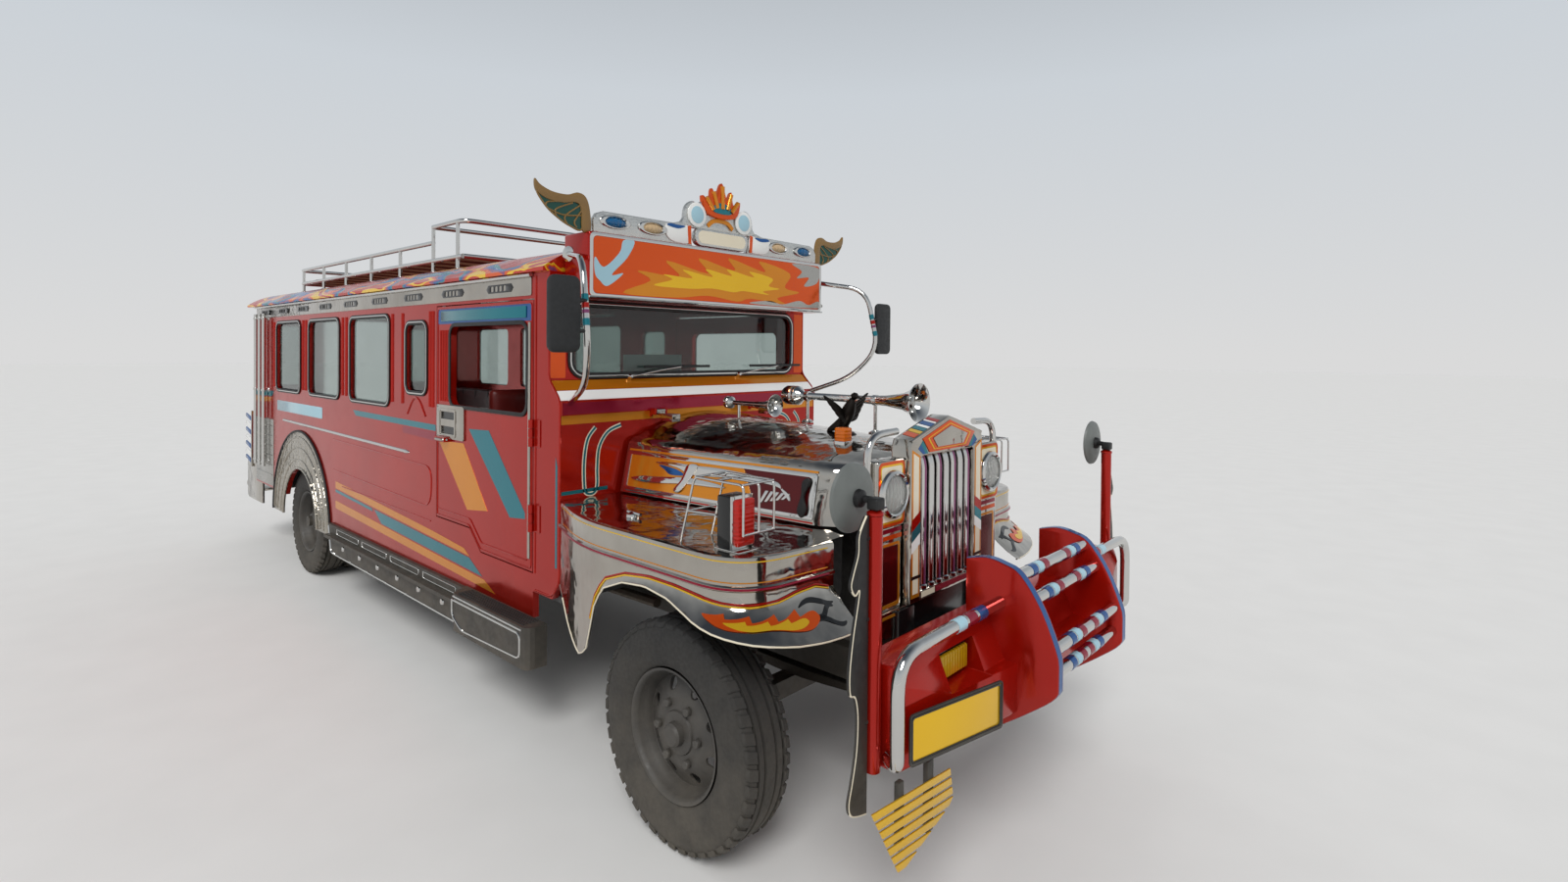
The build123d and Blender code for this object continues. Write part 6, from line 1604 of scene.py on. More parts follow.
badge_centre = (0, 1.382)
by_colour["orange"].append(front_sheet("badge", [badge], face_x, 0.004, 0.0015))
by_colour["yellow"].append(front_sheet("badge", [shrunk(badge, 0.82, badge_centre)], face_x + 0.004))
by_colour["orange"].append(front_sheet("badge", [shrunk(badge, 0.77, badge_centre)], face_x + 0.0048))
by_colour["cream"].append(front_sheet("sill", [quad(-0.194, -0.100, 0.803, 0.824)], 3.0893))
by_colour["magenta"] = [front_sheet("sill", [quad(-0.094, 0.194, 0.803, 0.824)], 3.0893)]
fit_colours("grille_face_", by_colour)
fit(front_sheet("grille_bare_badge", [shrunk(badge, 0.66, badge_centre)], face_x + 0.0056, 0.003,
    0.001), mirror_steel)
print("grille face carries", len(face_shapes), "painted shapes")

# %% [markdown]
# Beside the shell, each headlamp sits in a square pod on a slim column. The pod's face is bordered in
# orange and filled with cream, the round lamp has a plated bezel, a fluted lens and a bowl behind,
# and a bent tube loops over the whole side.

# %% Headlamps
lamp_x = 3.071
lamp_z = 1.205
pod_front = 3.070
column_front = 3.058
hoop_x = 3.036
lamp_y = 0.3625
pod_pieces = []
bezels = []
lenses = []
for side, word in sides:
    pod_pieces.append(brick("pod", (3.002, side * 0.277, 1.084), (pod_front, side * 0.448, 1.326),
        0.012, 3))
    pod_pieces.append(brick("column", (3.022, side * 0.283, 0.790), (column_front, side * 0.442, 1.088),
        0.005))
    pod_pieces.append(brick("base", (3.002, side * 0.246, 0.602), (pod_front, side * 0.449, 0.790), 0.006))
    bezel = [(0.066, 0.0), (0.082, 0.0), (0.086, 0.006), (0.083, 0.016), (0.074, 0.022), (0.068, 0.018),
        (0.066, 0.0)]
    bezels.append(turned("bezel", bezel, (lamp_x, side * lamp_y, lamp_z), (1, 0, 0)))
    lens = [(0, 0.024), (0.025, 0.0232), (0.045, 0.0205), (0.060, 0.0165), (0.067, 0.012),
        (0.067, 0.002), (0, 0.002)]
    lenses.append(turned("lens", lens, (lamp_x, side * lamp_y, lamp_z), (1, 0, 0)))
    bowl = turned("bowl", [(0, 0.001), (0.066, 0.001), (0.066, 0.0015), (0, 0.0015)],
        (lamp_x, side * lamp_y, lamp_z), (1, 0, 0))
    bezels.append(bowl)
fit(join("headlamp_pods", pod_pieces), mirror_steel, "headlamp_boxes")
fit(join("headlamp_bezels", bezels), chrome)
fit(join("headlamp_lenses", lenses), lamp_glass, "lamps")
pod_paint = {"orange": [], "cream": [], "magenta": [], "amber": [], "yellow": [], "maroon": []}
for side, word in sides:
    low_y, high_y = sorted((side * 0.282, side * 0.443))
    outer = rounded_box(low_y, high_y, 1.092, 1.320, 0.022)
    inner = rounded_box(low_y + 0.011, high_y - 0.011, 1.103, 1.309, 0.014)
    middle = rounded_box(low_y + 0.017, high_y - 0.017, 1.110, 1.302, 0.010)
    pod_paint["orange"].append(front_sheet("line", [outer, inner], pod_front, 0.001))
    pod_paint["yellow"].append(front_sheet("line", [inner, middle], pod_front))
    pod_paint["cream"].append(front_sheet("fill", [middle], 3.0698, 0.0006))
    for colour_name, low, high in (("magenta", 1.064, 1.080), ("orange", 1.040, 1.056)):
        pod_paint[colour_name].append(front_sheet("line", [quad(low_y, high_y, low, high)],
            column_front, 0.001))
    pod_paint["amber"].append(front_sheet("line", [rounded_box(low_y + 0.010, high_y - 0.010, 0.800,
        1.028, 0.012), rounded_box(low_y + 0.020, high_y - 0.020, 0.812, 1.018, 0.008)], column_front,
        0.001))
    pod_paint["maroon"].append(front_sheet("fill", [rounded_box(low_y + 0.022, high_y - 0.022, 0.814,
        1.016, 0.008)], column_front, 0.0006))
    pod_paint["amber"].append(front_sheet("line", [rounded_box(side * 0.255, side * 0.442, 0.615, 0.778,
        0.012), rounded_box(side * 0.265, side * 0.432, 0.625, 0.768, 0.008)], pod_front, 0.001))
fit_colours("headlamp_pod_", pod_paint)
loops = []
for side, word in sides:
    y = side * 0.464
    loops.append(pipe("loop", [(hoop_x, y, 0.792), (hoop_x, y, 1.412), (hoop_x, side * 0.288, 1.418)],
        0.0135, 0.09, sides=4))
    loops.append(turned("flange", [(0.013, 0), (0.024, 0), (0.024, 0.006), (0.013, 0.010), (0.013, 0)],
        (hoop_x, y, 0.792), (0, 0, 1), 24))
fit(join("headlamp_hoops", loops), chrome)
print("two headlamps in pods")

# %% [markdown]
# An upright red lamp stands on each fender inside a cage bent from wire. The lens is moulded with
# fine flutes, and a dark housing closes its back.

# %% Fender lamps in their cages
cage_top = 1.283
cage_front = 2.892
cage_half = 0.070
stay_x = 2.625
stay_z = 1.165
lamp_bodies = []
lamp_lenses = []
frames = []
cage_wires = []
for side, word in sides:
    y = side * 0.850
    lamp_bodies.append(brick("housing", (2.742, y - 0.046, 1.058), (2.812, y + 0.046, 1.232), 0.008, 3))
    lamp_lenses.append(brick("lens", (2.812, y - 0.041, 1.070), (2.838, y + 0.041, 1.224), 0.010, 3))
    lamp_lenses.append(brick("dome", (2.834, y - 0.028, 1.100), (2.848, y + 0.028, 1.195), 0.010, 3))
    frames.append(brick("frame", (2.808, y - 0.048, 1.058), (2.818, y + 0.048, 1.234)))
    frames.append(brick("foot", (2.735, y - 0.048, 1.0545), (2.850, y + 0.048, 1.0585), 0.0015))
    for offset in (-cage_half, cage_half):
        hoop = [(2.592, y + offset, 1.056), (2.660, y + offset, cage_top), (cage_front, y + offset,
            cage_top), (cage_front, y + offset, 1.058 + 0.065)]
        cage_wires.append(pipe("wire", hoop, 0.0042, 0.022))
    for x, z in ((2.664, cage_top), (2.765, cage_top), (2.888, cage_top), (cage_front, 1.125)):
        cage_wires.append(pipe("wire", [(x, y - cage_half, z), (x, y + cage_half, z)], 0.0042))
    cage_wires.append(pipe("wire", [(cage_front, y, 1.125), (cage_front, y, cage_top),
        (2.664, y, cage_top)], 0.0042, 0.02))
    cage_wires.append(pipe("wire", [(stay_x, y - cage_half, stay_z), (2.742, y - 0.046, stay_z)], 0.0038))
    cage_wires.append(pipe("wire", [(stay_x, y + cage_half, stay_z), (2.742, y + 0.046, stay_z)], 0.0038))
    cage_wires.append(pipe("wire", [(stay_x, y - cage_half, stay_z), (stay_x, y + cage_half, stay_z)],
        0.0038))
fit(join("fender_lamp_housings", lamp_bodies), "black", slot="trim_plastic")
fit(join("fender_lamp_lenses", lamp_lenses), red_lens)
fit(join("fender_lamp_frames", frames), chrome)
fit(join("fender_lamp_cages", cage_wires), chrome, "lamp_guards")
latches = []
for side, word in sides:
    latches.append(turned("latch", [(0, 0), (0.026, 0), (0.024, 0.010), (0.012, 0.018), (0, 0.020)],
        (2.16, side * 0.80, 1.055), (0, 0, 1), 24))
    latches.append(pipe("lever", [(2.13, side * 0.80, 1.070), (2.21, side * 0.80, 1.068)], 0.007))
fit(join("fender_latches", latches), chrome)
print("fender lamps and cages are on")

# %% [markdown]
# The front bumper is a deep red box beam with a sloping face. Two upright plates stand through it,
# tied by four tubes with painted sleeves, and a bent tube guards each end. Yellow fog lamps look out
# of recesses, and the number plate is left bare.

# %% Bumper
guard_x = 3.455
guard_y = 0.900
beam_plan = [(3.302, -0.866), (3.425, -0.868), (3.437, -0.855), (3.518, -0.302), (3.518, 0.302),
    (3.437, 0.855), (3.425, 0.868), (3.302, 0.866)]
beam = sheet("bumper_box_beam", [beam_plan], (0, 0, 0.562), (1, 0, 0), (0, 1, 0), 0.286, 0.006)
for side, word in sides:
    cutter = brick("cutter", (3.385, side * 0.44, 0.715), (3.70, side * 0.64, 0.820), 0.004)
    press(beam, "BOOLEAN", operation="DIFFERENCE", object=cutter, solver="EXACT")
    bpy.data.objects.remove(cutter)
slope_cut = sheet("slope_cut", [[(3.70, 0.700), (3.470, 0.720), (3.400, 0.880), (3.70, 0.900)]],
    (0, 0.95, 0), (1, 0, 0), (0, 0, 1), 1.9)
print("slope cutter spans", [round(v, 2) for v in slope_cut.dimensions])
press(beam, "BOOLEAN", operation="DIFFERENCE", object=slope_cut, solver="EXACT")
bpy.data.objects.remove(slope_cut)
clean(beam)
press(beam, "BEVEL", width=0.004, segments=2, limit_method="ANGLE", angle_limit=math.radians(35))
fit(beam, "red", "bumper_beam", slot="bumper_paint")
plate_outline = smooth([(3.332, 1.018), (3.400, 1.033), (3.462, 1.024), (3.520, 0.998), (3.590, 0.900),
    (3.645, 0.765), (3.650, 0.700), (3.640, 0.645), (3.560, 0.575), (3.470, 0.508)], 4,
    False) + [(3.332, 0.508)]
plate_outline = [(min(x, 3.6475), z) for x, z in plate_outline]
upright = []
edges = []
for side, word in sides:
    y_out = 0.310 if side > 0 else -0.268
    upright.append(sheet("plate", [plate_outline], (0, y_out, 0), (1, 0, 0), (0, 0, 1), 0.042, 0.004))
    rim_line = [(x - 0.001, z) for x, z in plate_outline[:-2]]
    edges.append(sheet("edge", [band(rim_line, 0.003)], (0, side * 0.289 + 0.014, 0), (1, 0, 0),
        (0, 0, 1), 0.028))
fit(join("bumper_upright_plates", upright), "red", "bumper_plates", slot="bumper_paint")
fit(join("bumper_plate_edges", edges), "blue", slot="bumper_paint")
tubes = []
sleeves = {"blue": [], "pale_blue": [], "magenta": []}
for n, (x, z) in enumerate(((3.500, 0.985), (3.545, 0.915), (3.615, 0.775), (3.610, 0.690))):
    tubes.append(pipe("tube", [(x, -0.267, z), (x, 0.267, z)], 0.0205, sides=4))
    for k, colour_name in enumerate(("blue", "pale_blue", "magenta")):
        y = -0.20 + k * 0.045 + 0.02 * n
        sleeves[colour_name].append(pipe("sleeve", [(x, y, z), (x, y + 0.034, z)], 0.0218, sides=4))
        sleeves[colour_name].append(pipe("sleeve", [(x, -y, z), (x, -y - 0.034, z)], 0.0218, sides=4))
for side, word in sides:
    path = [(guard_x, side * 0.311, 0.900), (guard_x, side * guard_y, 0.895), (guard_x, side * guard_y,
        0.600), (3.408, side * 0.868, 0.600)]
    tubes.append(pipe("side_tube", path, 0.020, 0.10, sides=4))
    for k, colour_name in enumerate(("blue", "magenta", "pale_blue")):
        start = Vector(path[0]).lerp(Vector(path[1]), 0.20 + 0.11 * k)
        end = Vector(path[0]).lerp(Vector(path[1]), 0.28 + 0.11 * k)
        sleeves[colour_name].append(pipe("sleeve", [start, end], 0.0214, sides=4))
fit(join("bumper_bright_tubes", tubes), chrome, "bumper_tubes")
fit_colours("bumper_sleeves_", sleeves, "bumper_paint")
fog_lenses = []
fog_cases = []
for side, word in sides:
    fog_cases.append(brick("case", (3.382, side * 0.452, 0.722), (3.410, side * 0.628, 0.812), 0.006, 3))
    fog_lenses.append(brick("lens", (3.408, side * 0.462, 0.730), (3.424, side * 0.618, 0.804), 0.007, 3))
fit(join("fog_lamp_cases", fog_cases), "black", slot="trim_plastic")
fit(join("fog_lamp_lenses", fog_lenses), yellow_lens)
print("bumper has", len(tubes), "tubes")

# %% [markdown]
# The number plate is thin sheet in a holder, turned twelve degrees with the bumper's face, and it is
# bare. Below it a small plate of seven yellow slats hangs on two hangers. The slats get shorter
# downwards, so their ends are worked out from the plate's outline.

# %% Number plate and slatted plate
turn = Matrix.Translation((3.503, -0.660, 0.655)) @ Matrix.Rotation(math.radians(-12), 4, "Z")
board = sheet("bare_number_plate", [rounded_box(-0.194, 0.194, -0.070, 0.070, 0.012)], (-0.004, 0, 0),
    (0, 1, 0), (0, 0, 1), 0.003, 0.001)
rim = sheet("plate_rim", [rounded_box(-0.188, 0.188, -0.064, 0.064, 0.010), rounded_box(-0.182, 0.182,
    -0.058, 0.058, 0.008)], (-0.001, 0, 0), (0, 1, 0), (0, 0, 1), 0.0025, 0.0008)
frame_bar = sheet("plate_holder", [rounded_box(-0.195, 0.195, -0.072, 0.072, 0.013),
    rounded_box(-0.190, 0.190, -0.062, 0.066, 0.008)], (-0.003, 0, 0), (0, 1, 0), (0, 0, 1), 0.006,
    0.001)
stay = brick("stay", (-0.060, -0.020, -0.010), (-0.004, 0.020, 0.010), 0.002)
for piece in (board, rim, frame_bar, stay):
    piece.matrix_world = turn
    settle(piece)
fit(board, "yellow", "number_plates", slot="plate_yellow")
fit(rim, "black", slot="plate_yellow")
fit(join("number_plate_holder", [frame_bar, stay]), chassis_black_and_skirt_shade)


def slat_ends(drop):
    share = drop / 0.2067
    left = (-1.030 + 0.130 * share, 0.540 - 0.220 * share)
    if drop < 0.0979:
        share = drop / 0.0979
        return left, (-0.640 + 0.020 * share, 0.500 - 0.100 * share)
    share = (drop - 0.0979) / 0.1088
    return left, (-0.620 - 0.280 * share, 0.400 - 0.080 * share)


slats = []
for n in range(7):
    top_left, top_right = slat_ends(n * 0.029)
    low_left, low_right = slat_ends(n * 0.029 + 0.021)
    slats.append(front_sheet("slat", [[low_left, low_right, top_right, top_left]], 3.463, 0.006, 0.002))
fit(join("slatted_plate", slats), "yellow", slot="plate_yellow")
hanger = [brick("hanger", (3.446, -0.756, 0.360), (3.463, -0.724, 0.562)),
    brick("hanger", (3.446, -0.900, 0.380), (3.463, -0.875, 0.562))]
fit(join("slatted_plate_hangers", hanger), chassis_black_and_skirt_shade)
print("plates are bare")

# %% [markdown]
# At each end of the bumper a red post carries a round mirror, seen from behind as a dull grey disc on
# a clamp. A dark plate follows the post, its outer edge cut in slow curls with a pale painted edge.

# %% Posts, scroll plates and round mirrors
post_x = 3.372
post_y = 0.892
post_top = 1.262
mirror_z = 1.300
post_parts = []
scroll_parts = []
edge_parts = []
disc_parts = []
clamps = []
mirror_faces = []
for side, word in sides:
    post_parts.append(pipe("post", [(post_x, side * post_y, 0.560), (post_x, side * post_y, post_top)],
        0.0215, sides=4))
    post_parts.append(turned("cap", [(0.0215, 0), (0.024, 0.003), (0.024, 0.010), (0.012, 0.018),
        (0, 0.020), (0, 0)], (post_x, side * post_y, 1.258), (0, 0, 1), 24))
    edge_line = smooth([(0.930, post_top), (0.962, 1.215), (0.966, 1.165), (0.985, 1.120),
        (0.996, 1.085), (0.978, 1.058), (0.960, 1.068), (0.966, 1.030), (0.985, 0.950), (0.999, 0.860),
        (0.996, 0.800), (0.974, 0.785), (0.962, 0.730), (0.966, 0.640), (0.984, 0.560), (0.998, 0.510),
        (0.990, 0.478), (0.960, 0.462), (0.922, 0.452)], 5, False)
    outline = mirrored(edge_line + [(0.914, 0.452), (0.914, post_top)], side)
    scroll_parts.append(front_sheet("scroll", [outline], 3.360, 0.010, 0.003))
    edge_parts.append(pipe("edge", [(3.367, side * (y - 0.004), z) for y, z in edge_line], 0.0035,
        0.001, sides=2))
    for level in (0.70, 0.98, 1.20):
        scroll_parts.append(pipe("lug", [(3.366, side * 0.905, level), (3.366, side * 0.925, level)],
            0.006))
    dish = [(0, 0.0), (0.040, 0.001), (0.080, 0.006), (0.095, 0.012), (0.098, 0.020), (0.094, 0.022),
        (0.090, 0.018), (0, 0.018)]
    disc_parts.append(turned("disc", dish, (3.3205, side * 0.905, mirror_z), (-1, 0, 0)))
    mirror_faces.append(turned("face", [(0, 0), (0.089, 0), (0.089, 0.0012), (0, 0.0012)],
        (3.3018, side * 0.905, mirror_z), (-1, 0, 0)))
    clamps.append(pipe("stem", [(post_x, side * post_y, post_top), (post_x, side * post_y, mirror_z),
        (3.322, side * 0.898, mirror_z)], 0.010, 0.02))
    clamps.append(turned("boss", [(0, 0), (0.026, 0), (0.024, 0.012), (0.014, 0.018), (0, 0.020)],
        (3.321, side * 0.900, mirror_z), (1, 0, 0), 24))
    clamps.append(brick("clamp", (3.355, side * post_y - 0.020, 1.275), (3.392, side * post_y + 0.020,
        1.308), 0.006, 3))
fit(join("bumper_red_posts", post_parts), "red", "bumper_posts", slot="bumper_paint")
fit(join("bumper_scroll_plates", scroll_parts), chassis_black_and_skirt_shade, slot="bumper_paint")
fit(join("bumper_scroll_edges", edge_parts), "cream", slot="bumper_paint")
fit(join("round_mirror_backs", disc_parts), surface("grey_mirror_paint", ("#6F7370", "#5E625F"), 60,
    (0.35, 0.5), 14, 3), "mirrors", slot="mirror_housing")
mirror_glass = surface("silvered_glass", ("#D9DDDD", "#CFD4D4"), 300, (0.02, 0.04), 50, 40, 0.0, 1.0)
fit(join("round_mirror_glasses", mirror_faces), mirror_glass)
fit(join("round_mirror_clamps", clamps), seal_rubber, slot="mirror_housing")
print("posts and round mirrors stand")

# %% [markdown]
# Higher up, a flat mirror in a dark housing hangs on each side from a tube that is bent from the roof's
# corner down to the cowl. The arm is one path with rounded bends, and its painted sleeves are short
# lengths of slightly wider tube on the same line.

# %% Big side mirrors on bent arms
arm_tubes = []
arm_sleeves = {"teal": [], "red": [], "mauve": []}
housings = []
glasses = []
brackets = []
for side, word in sides:
    path = [(1.655, side * 0.776, 2.120), (2.010, side * 0.935, 2.060), (2.080, side * 0.955, 1.720),
        (1.950, side * 0.880, 1.560), (1.716, side * 0.800, 1.474)]
    arm_tubes.append(pipe("arm", path, 0.0135, 0.11, sides=4))
    arm_tubes.append(turned("flange", [(0, 0), (0.034, 0), (0.034, 0.006), (0.016, 0.012), (0, 0.012)],
        (1.655, side * 0.775, 2.1205), (0.2, side, 0), 24))
    for n, (start, end, colour_name) in enumerate(((0.42, 0.50, "teal"), (0.52, 0.58, "red"),
            (0.60, 0.64, "mauve"), (0.70, 0.78, "teal"))):
        low = Vector(path[1]).lerp(Vector(path[2]), start)
        high = Vector(path[1]).lerp(Vector(path[2]), end)
        arm_sleeves[colour_name].append(pipe("sleeve", [tuple(low), tuple(high)], 0.0145, sides=4))
    case_outline = rounded_box(side * 0.974, side * 1.108, 1.692, 1.983, 0.030)
    housings.append(front_sheet("housing", [case_outline], 2.036, 0.028, 0.009))
    glass_outline = rounded_box(side * 0.985, side * 1.097, 1.703, 1.972, 0.022)
    glasses.append(front_sheet("glass", [glass_outline], 2.0345, 0.002))
    brackets.append(pipe("bracket", [(2.052, side * 0.945, 1.892), (2.052, side * 0.980, 1.892)], 0.008))
    brackets.append(pipe("bracket", [(2.068, side * 0.948, 1.775), (2.055, side * 0.980, 1.775)], 0.008))
fit(join("side_mirror_arms", arm_tubes), chrome, "mirror_arms")
fit_colours("mirror_arm_sleeves_", arm_sleeves, "bumper_paint")
fit(join("side_mirror_housings", housings), dash_plastic, slot="mirror_housing")
fit(join("side_mirror_glasses", glasses), mirror_glass)
fit(join("side_mirror_brackets", brackets), seal_rubber, slot="mirror_housing")
print("side mirrors hang from bent arms")

# %% [markdown]
# Behind the cab the bright work goes on: a beaten disc round each rear wheel with pressed rings and a
# rubber edge, a brushed corner panel, and three stout tubes that guard each rear corner.

# %% Wheel discs, corner panels and corner tubes
disc_rings = (0.640, 0.560, 0.470)


def arc(radius, start_deg, end_deg, count=48):
    turns = [math.radians(start_deg + (end_deg - start_deg) * n / count) for n in range(count + 1)]
    return [(rear_axle_x + radius * math.cos(turn), axle_z + radius * math.sin(turn)) for turn in turns]


for side, word in sides:
    half_disc = arc(0.682, 1.0, 179.0) + arc(0.403, 178.3, 1.7)
    wheel_disc = side_sheet("wheel_disc", side, [half_disc], 0, 0.008, 0.003)
    pressed = [pipe("ring", [(x, side * (body_half + 0.0075), z) for x, z in arc(radius, 3, 177)],
        0.006, 0.001, sides=2) for radius in disc_rings]
    lip = pipe("lip", [(x, side * (body_half + 0.006), z) for x, z in arc(0.407, 2, 178)], 0.010, 0.001)
    fit(join("rear_wheel_disc_" + word, [wheel_disc, lip] + pressed), hammered_steel,
        *(["wheel_flares"] if side < 0 else []))
    rubber_path = [(x, side * (body_half + 0.006), z) for x, z in arc(0.684, 1, 179)]
    fit(pipe("rear_disc_rubber_" + word, rubber_path, 0.0085, 0.001), seal_rubber)
    corner_panel = side_sheet("corner_panel", side, [rounded_box(-3.112, -2.600, 0.572, 1.115, 0.02)],
        0, 0.003, 0.001)
    panel_ribs = [pipe("rib", [(-3.09, side * (body_half + 0.003), z),
        (-2.64, side * (body_half + 0.003), z)], 0.005, sides=2) for z in (0.66, 0.74, 0.82, 0.90, 0.98,
        1.06)]
    fit(join("rear_corner_panel_" + word, [corner_panel] + panel_ribs), brushed_steel)
guards = []
for side, word in sides:
    y = side * (body_half + 0.034)
    for x in (-3.000, -2.880, -2.760):
        guards.append(pipe("guard", [(x, y, 0.722), (x, y, 1.978)], 0.015, sides=4))
        for z in (0.760, 1.350, 1.940):
            guards.append(pipe("stay", [(x, side * body_half, z), (x, y, z)], 0.0085))
            guards.append(turned("washer", [(0, 0), (0.020, 0), (0.018, 0.004), (0, 0.005)],
                (x, side * body_half, z), (0, side, 0), 20))
            guards.append(turned("collar", [(0.0145, -0.010), (0.0185, -0.008), (0.0185, 0.008),
                (0.0145, 0.010), (0.0145, -0.010)], (x, y, z), (0, 0, 1), 20))
print("corner tubes, stays and washers:", len(guards))

# %% [markdown]
# At the back, passengers pull themselves up by two poles beside the open doorway and then hold a rail
# under each side of the ceiling. Rails, poles and hangers are plated steel tube.

# %% Poles and ceiling rails
pole_x = -3.240
rail_z = 1.940
grips = []
for side, word in sides:
    y = side * 0.362
    grips.append(pipe("pole", [(pole_x, y, 0.480), (pole_x, y, 2.172)], 0.017, sides=4))
    for z, way in ((0.480, 1), (2.160, -1)):
        grips.append(turned("flange", [(0, 0), (0.034, 0), (0.034, 0.005), (0.019, 0.010), (0, 0.010)],
            (pole_x, y, z), (0, 0, way), 24))
    grips.append(pipe("rail", [(-2.950, y, rail_z), (0.350, y, rail_z)], 0.014, sides=4))
    for x in (-2.900, -2.120, -1.300, -0.500, 0.300):
        grips.append(pipe("hanger", [(x, y, rail_z), (x, y, 2.168)], 0.0085))
        grips.append(turned("cup", [(0, 0), (0.024, 0), (0.020, 0.008), (0, 0.010)], (x, y, 2.174),
            (0, 0, -1), 20))
    for x in (-2.950, 0.350):
        grips.append(turned("knob", [(0, -0.008), (0.016, -0.006), (0.017, 0), (0.016, 0.006),
            (0, 0.008)], (x, y, rail_z), (1, 0, 0), 20))
fit(join("corner_tubes_poles_and_rails", guards + grips), chrome, "grab_rails")
print("poles and rails:", len(grips), "pieces")

# %% [markdown]
# The roof rack is bent from one size of tube: a long low bay, and a higher bay in front where taller
# luggage stands. Its floor stays the frame's own slats, and every post ends in a round foot.

# %% Roof rack
rack_rear = -2.700
rack_front = 0.300
rack_step = -0.100
rack_half = 0.620
rack_floor_z = 2.235
rack_low_z = 2.345
rack_high_z = 2.440
rack_tube = 0.014
rack_parts = []
for z, front in ((rack_floor_z, rack_front), (rack_low_z, rack_step)):
    hoop = [(front, -rack_half, z), (rack_rear, -rack_half, z), (rack_rear, rack_half, z),
        (front, rack_half, z)]
    rack_parts.append(pipe("rail", hoop, rack_tube, 0.07, sides=4))
rack_parts.append(pipe("rail", [(rack_front, -rack_half, rack_floor_z),
    (rack_front, rack_half, rack_floor_z)], rack_tube, sides=4))
high_hoop = [(rack_step, -rack_half, rack_high_z), (rack_front, -rack_half, rack_high_z),
    (rack_front, rack_half, rack_high_z), (rack_step, rack_half, rack_high_z)]
rack_parts.append(pipe("rail", high_hoop, rack_tube, 0.07, sides=4))
rack_parts.append(pipe("rail", [high_hoop[0], high_hoop[3]], rack_tube, sides=4))
post_spots = [(rack_rear + 0.07 + n * 0.506, rack_low_z) for n in range(5)] + [(rack_step, rack_high_z),
    (rack_front - 0.07, rack_high_z)]
for side, word in sides:
    y = side * rack_half
    for x, top in post_spots:
        rack_parts.append(pipe("post", [(x, y, 2.158), (x, y, top)], 0.011))
        rack_parts.append(turned("foot", [(0, 0), (0.030, 0), (0.030, 0.006), (0.014, 0.014),
            (0, 0.014)], (x, y, 2.158), (0, side * 0.2, 1), 24))
fit(join("roof_rack_tubes", rack_parts), chrome, "roof_rack")
print("rack has", len(post_spots) * 2, "posts")

# %% [markdown]
# The rear step is a folded tread between side plates. Each plate carries a ladder of swept fins,
# painted blue and white in turn, and a round tube across the back is the rear bumper.

# %% Rear step, fins and rear bumper
rear_bumper_x = -3.628
rear_bumper_z = 0.468
step_x = -3.600
step_top = 0.480
step_half = 0.780
step_parts = [brick("tread", (step_x, -step_half, 0.4565), (-3.121, step_half, step_top), 0.004)]
for n in range(13):
    x = step_x + 0.045 + n * 0.031
    step_parts.append(brick("tread_rib", (x, -0.268, step_top - 0.001), (x + 0.012, 0.268, 0.486),
        0.002, 1))
for side, word in sides:
    cheek = [(step_x + 0.05, 0.352), (-3.122, 0.352), (-3.122, 0.698), (step_x + 0.035, 0.698),
        (step_x + 0.010, 0.688), (step_x, 0.662), (step_x, 0.405), (step_x + 0.014, 0.368)]
    step_parts.append(side_sheet("cheek", side, [cheek], -0.060, 0.019, 0.004))
    step_parts.append(brick("stile", (step_x + 0.176, side * 0.799, 0.642),
        (step_x + 0.194, side * 0.8145, 1.137)))
step_parts.append(pipe("bumper", [(rear_bumper_x, -0.788, rear_bumper_z),
    (rear_bumper_x, 0.788, rear_bumper_z)], 0.0215, sides=5))
for y in (-0.790, 0.790):
    step_parts.append(turned("cap", [(0, 0), (0.0215, 0), (0.019, 0.006), (0, 0.008)],
        (rear_bumper_x, y * 0.998, rear_bumper_z), (0, y, 0), 24))
for y in (-0.500, 0.500):
    step_parts.append(brick("bracket", (rear_bumper_x, y - 0.028, 0.458), (-3.596, y + 0.028, 0.478)))
fit(join("rear_step_and_bumper", step_parts), mirror_steel, "rear_step")
fin_sets = {"blue": [], "white": []}
for side, word in sides:
    for n in range(7):
        z = 0.705 + n * 0.062
        fin = [(step_x + 0.001, z + 0.001), (step_x + 0.180, z - 0.033), (step_x + 0.180, z - 0.001),
            (step_x + 0.001, z + 0.029)]
        fin_sets["white" if n % 2 else "blue"].append(side_sheet("fin", side, [fin], -0.0395, 0.0145,
            0.003))
fit_colours("rear_fins_", fin_sets)
print("rear step has", len(step_parts), "pieces and", sum(map(len, fin_sets.values())), "fins")

# %% [markdown]
# The rear wall is plain: a bright frame round the open doorway, rubber round its two panes, one teal
# and one amber band at waist height, and a lamp cluster low at each side.

# %% Rear wall and tail lamps
rear_x = -3.120


def rear_sheet(name, outlines, out=0.0, depth=0.0008, edge=0.0):
    shapes = [[(-y, z) for y, z in outline] for outline in outlines]
    return sheet(name, shapes, (rear_x - out, 0, 0), (0, -1, 0), (0, 0, 1), depth, edge)


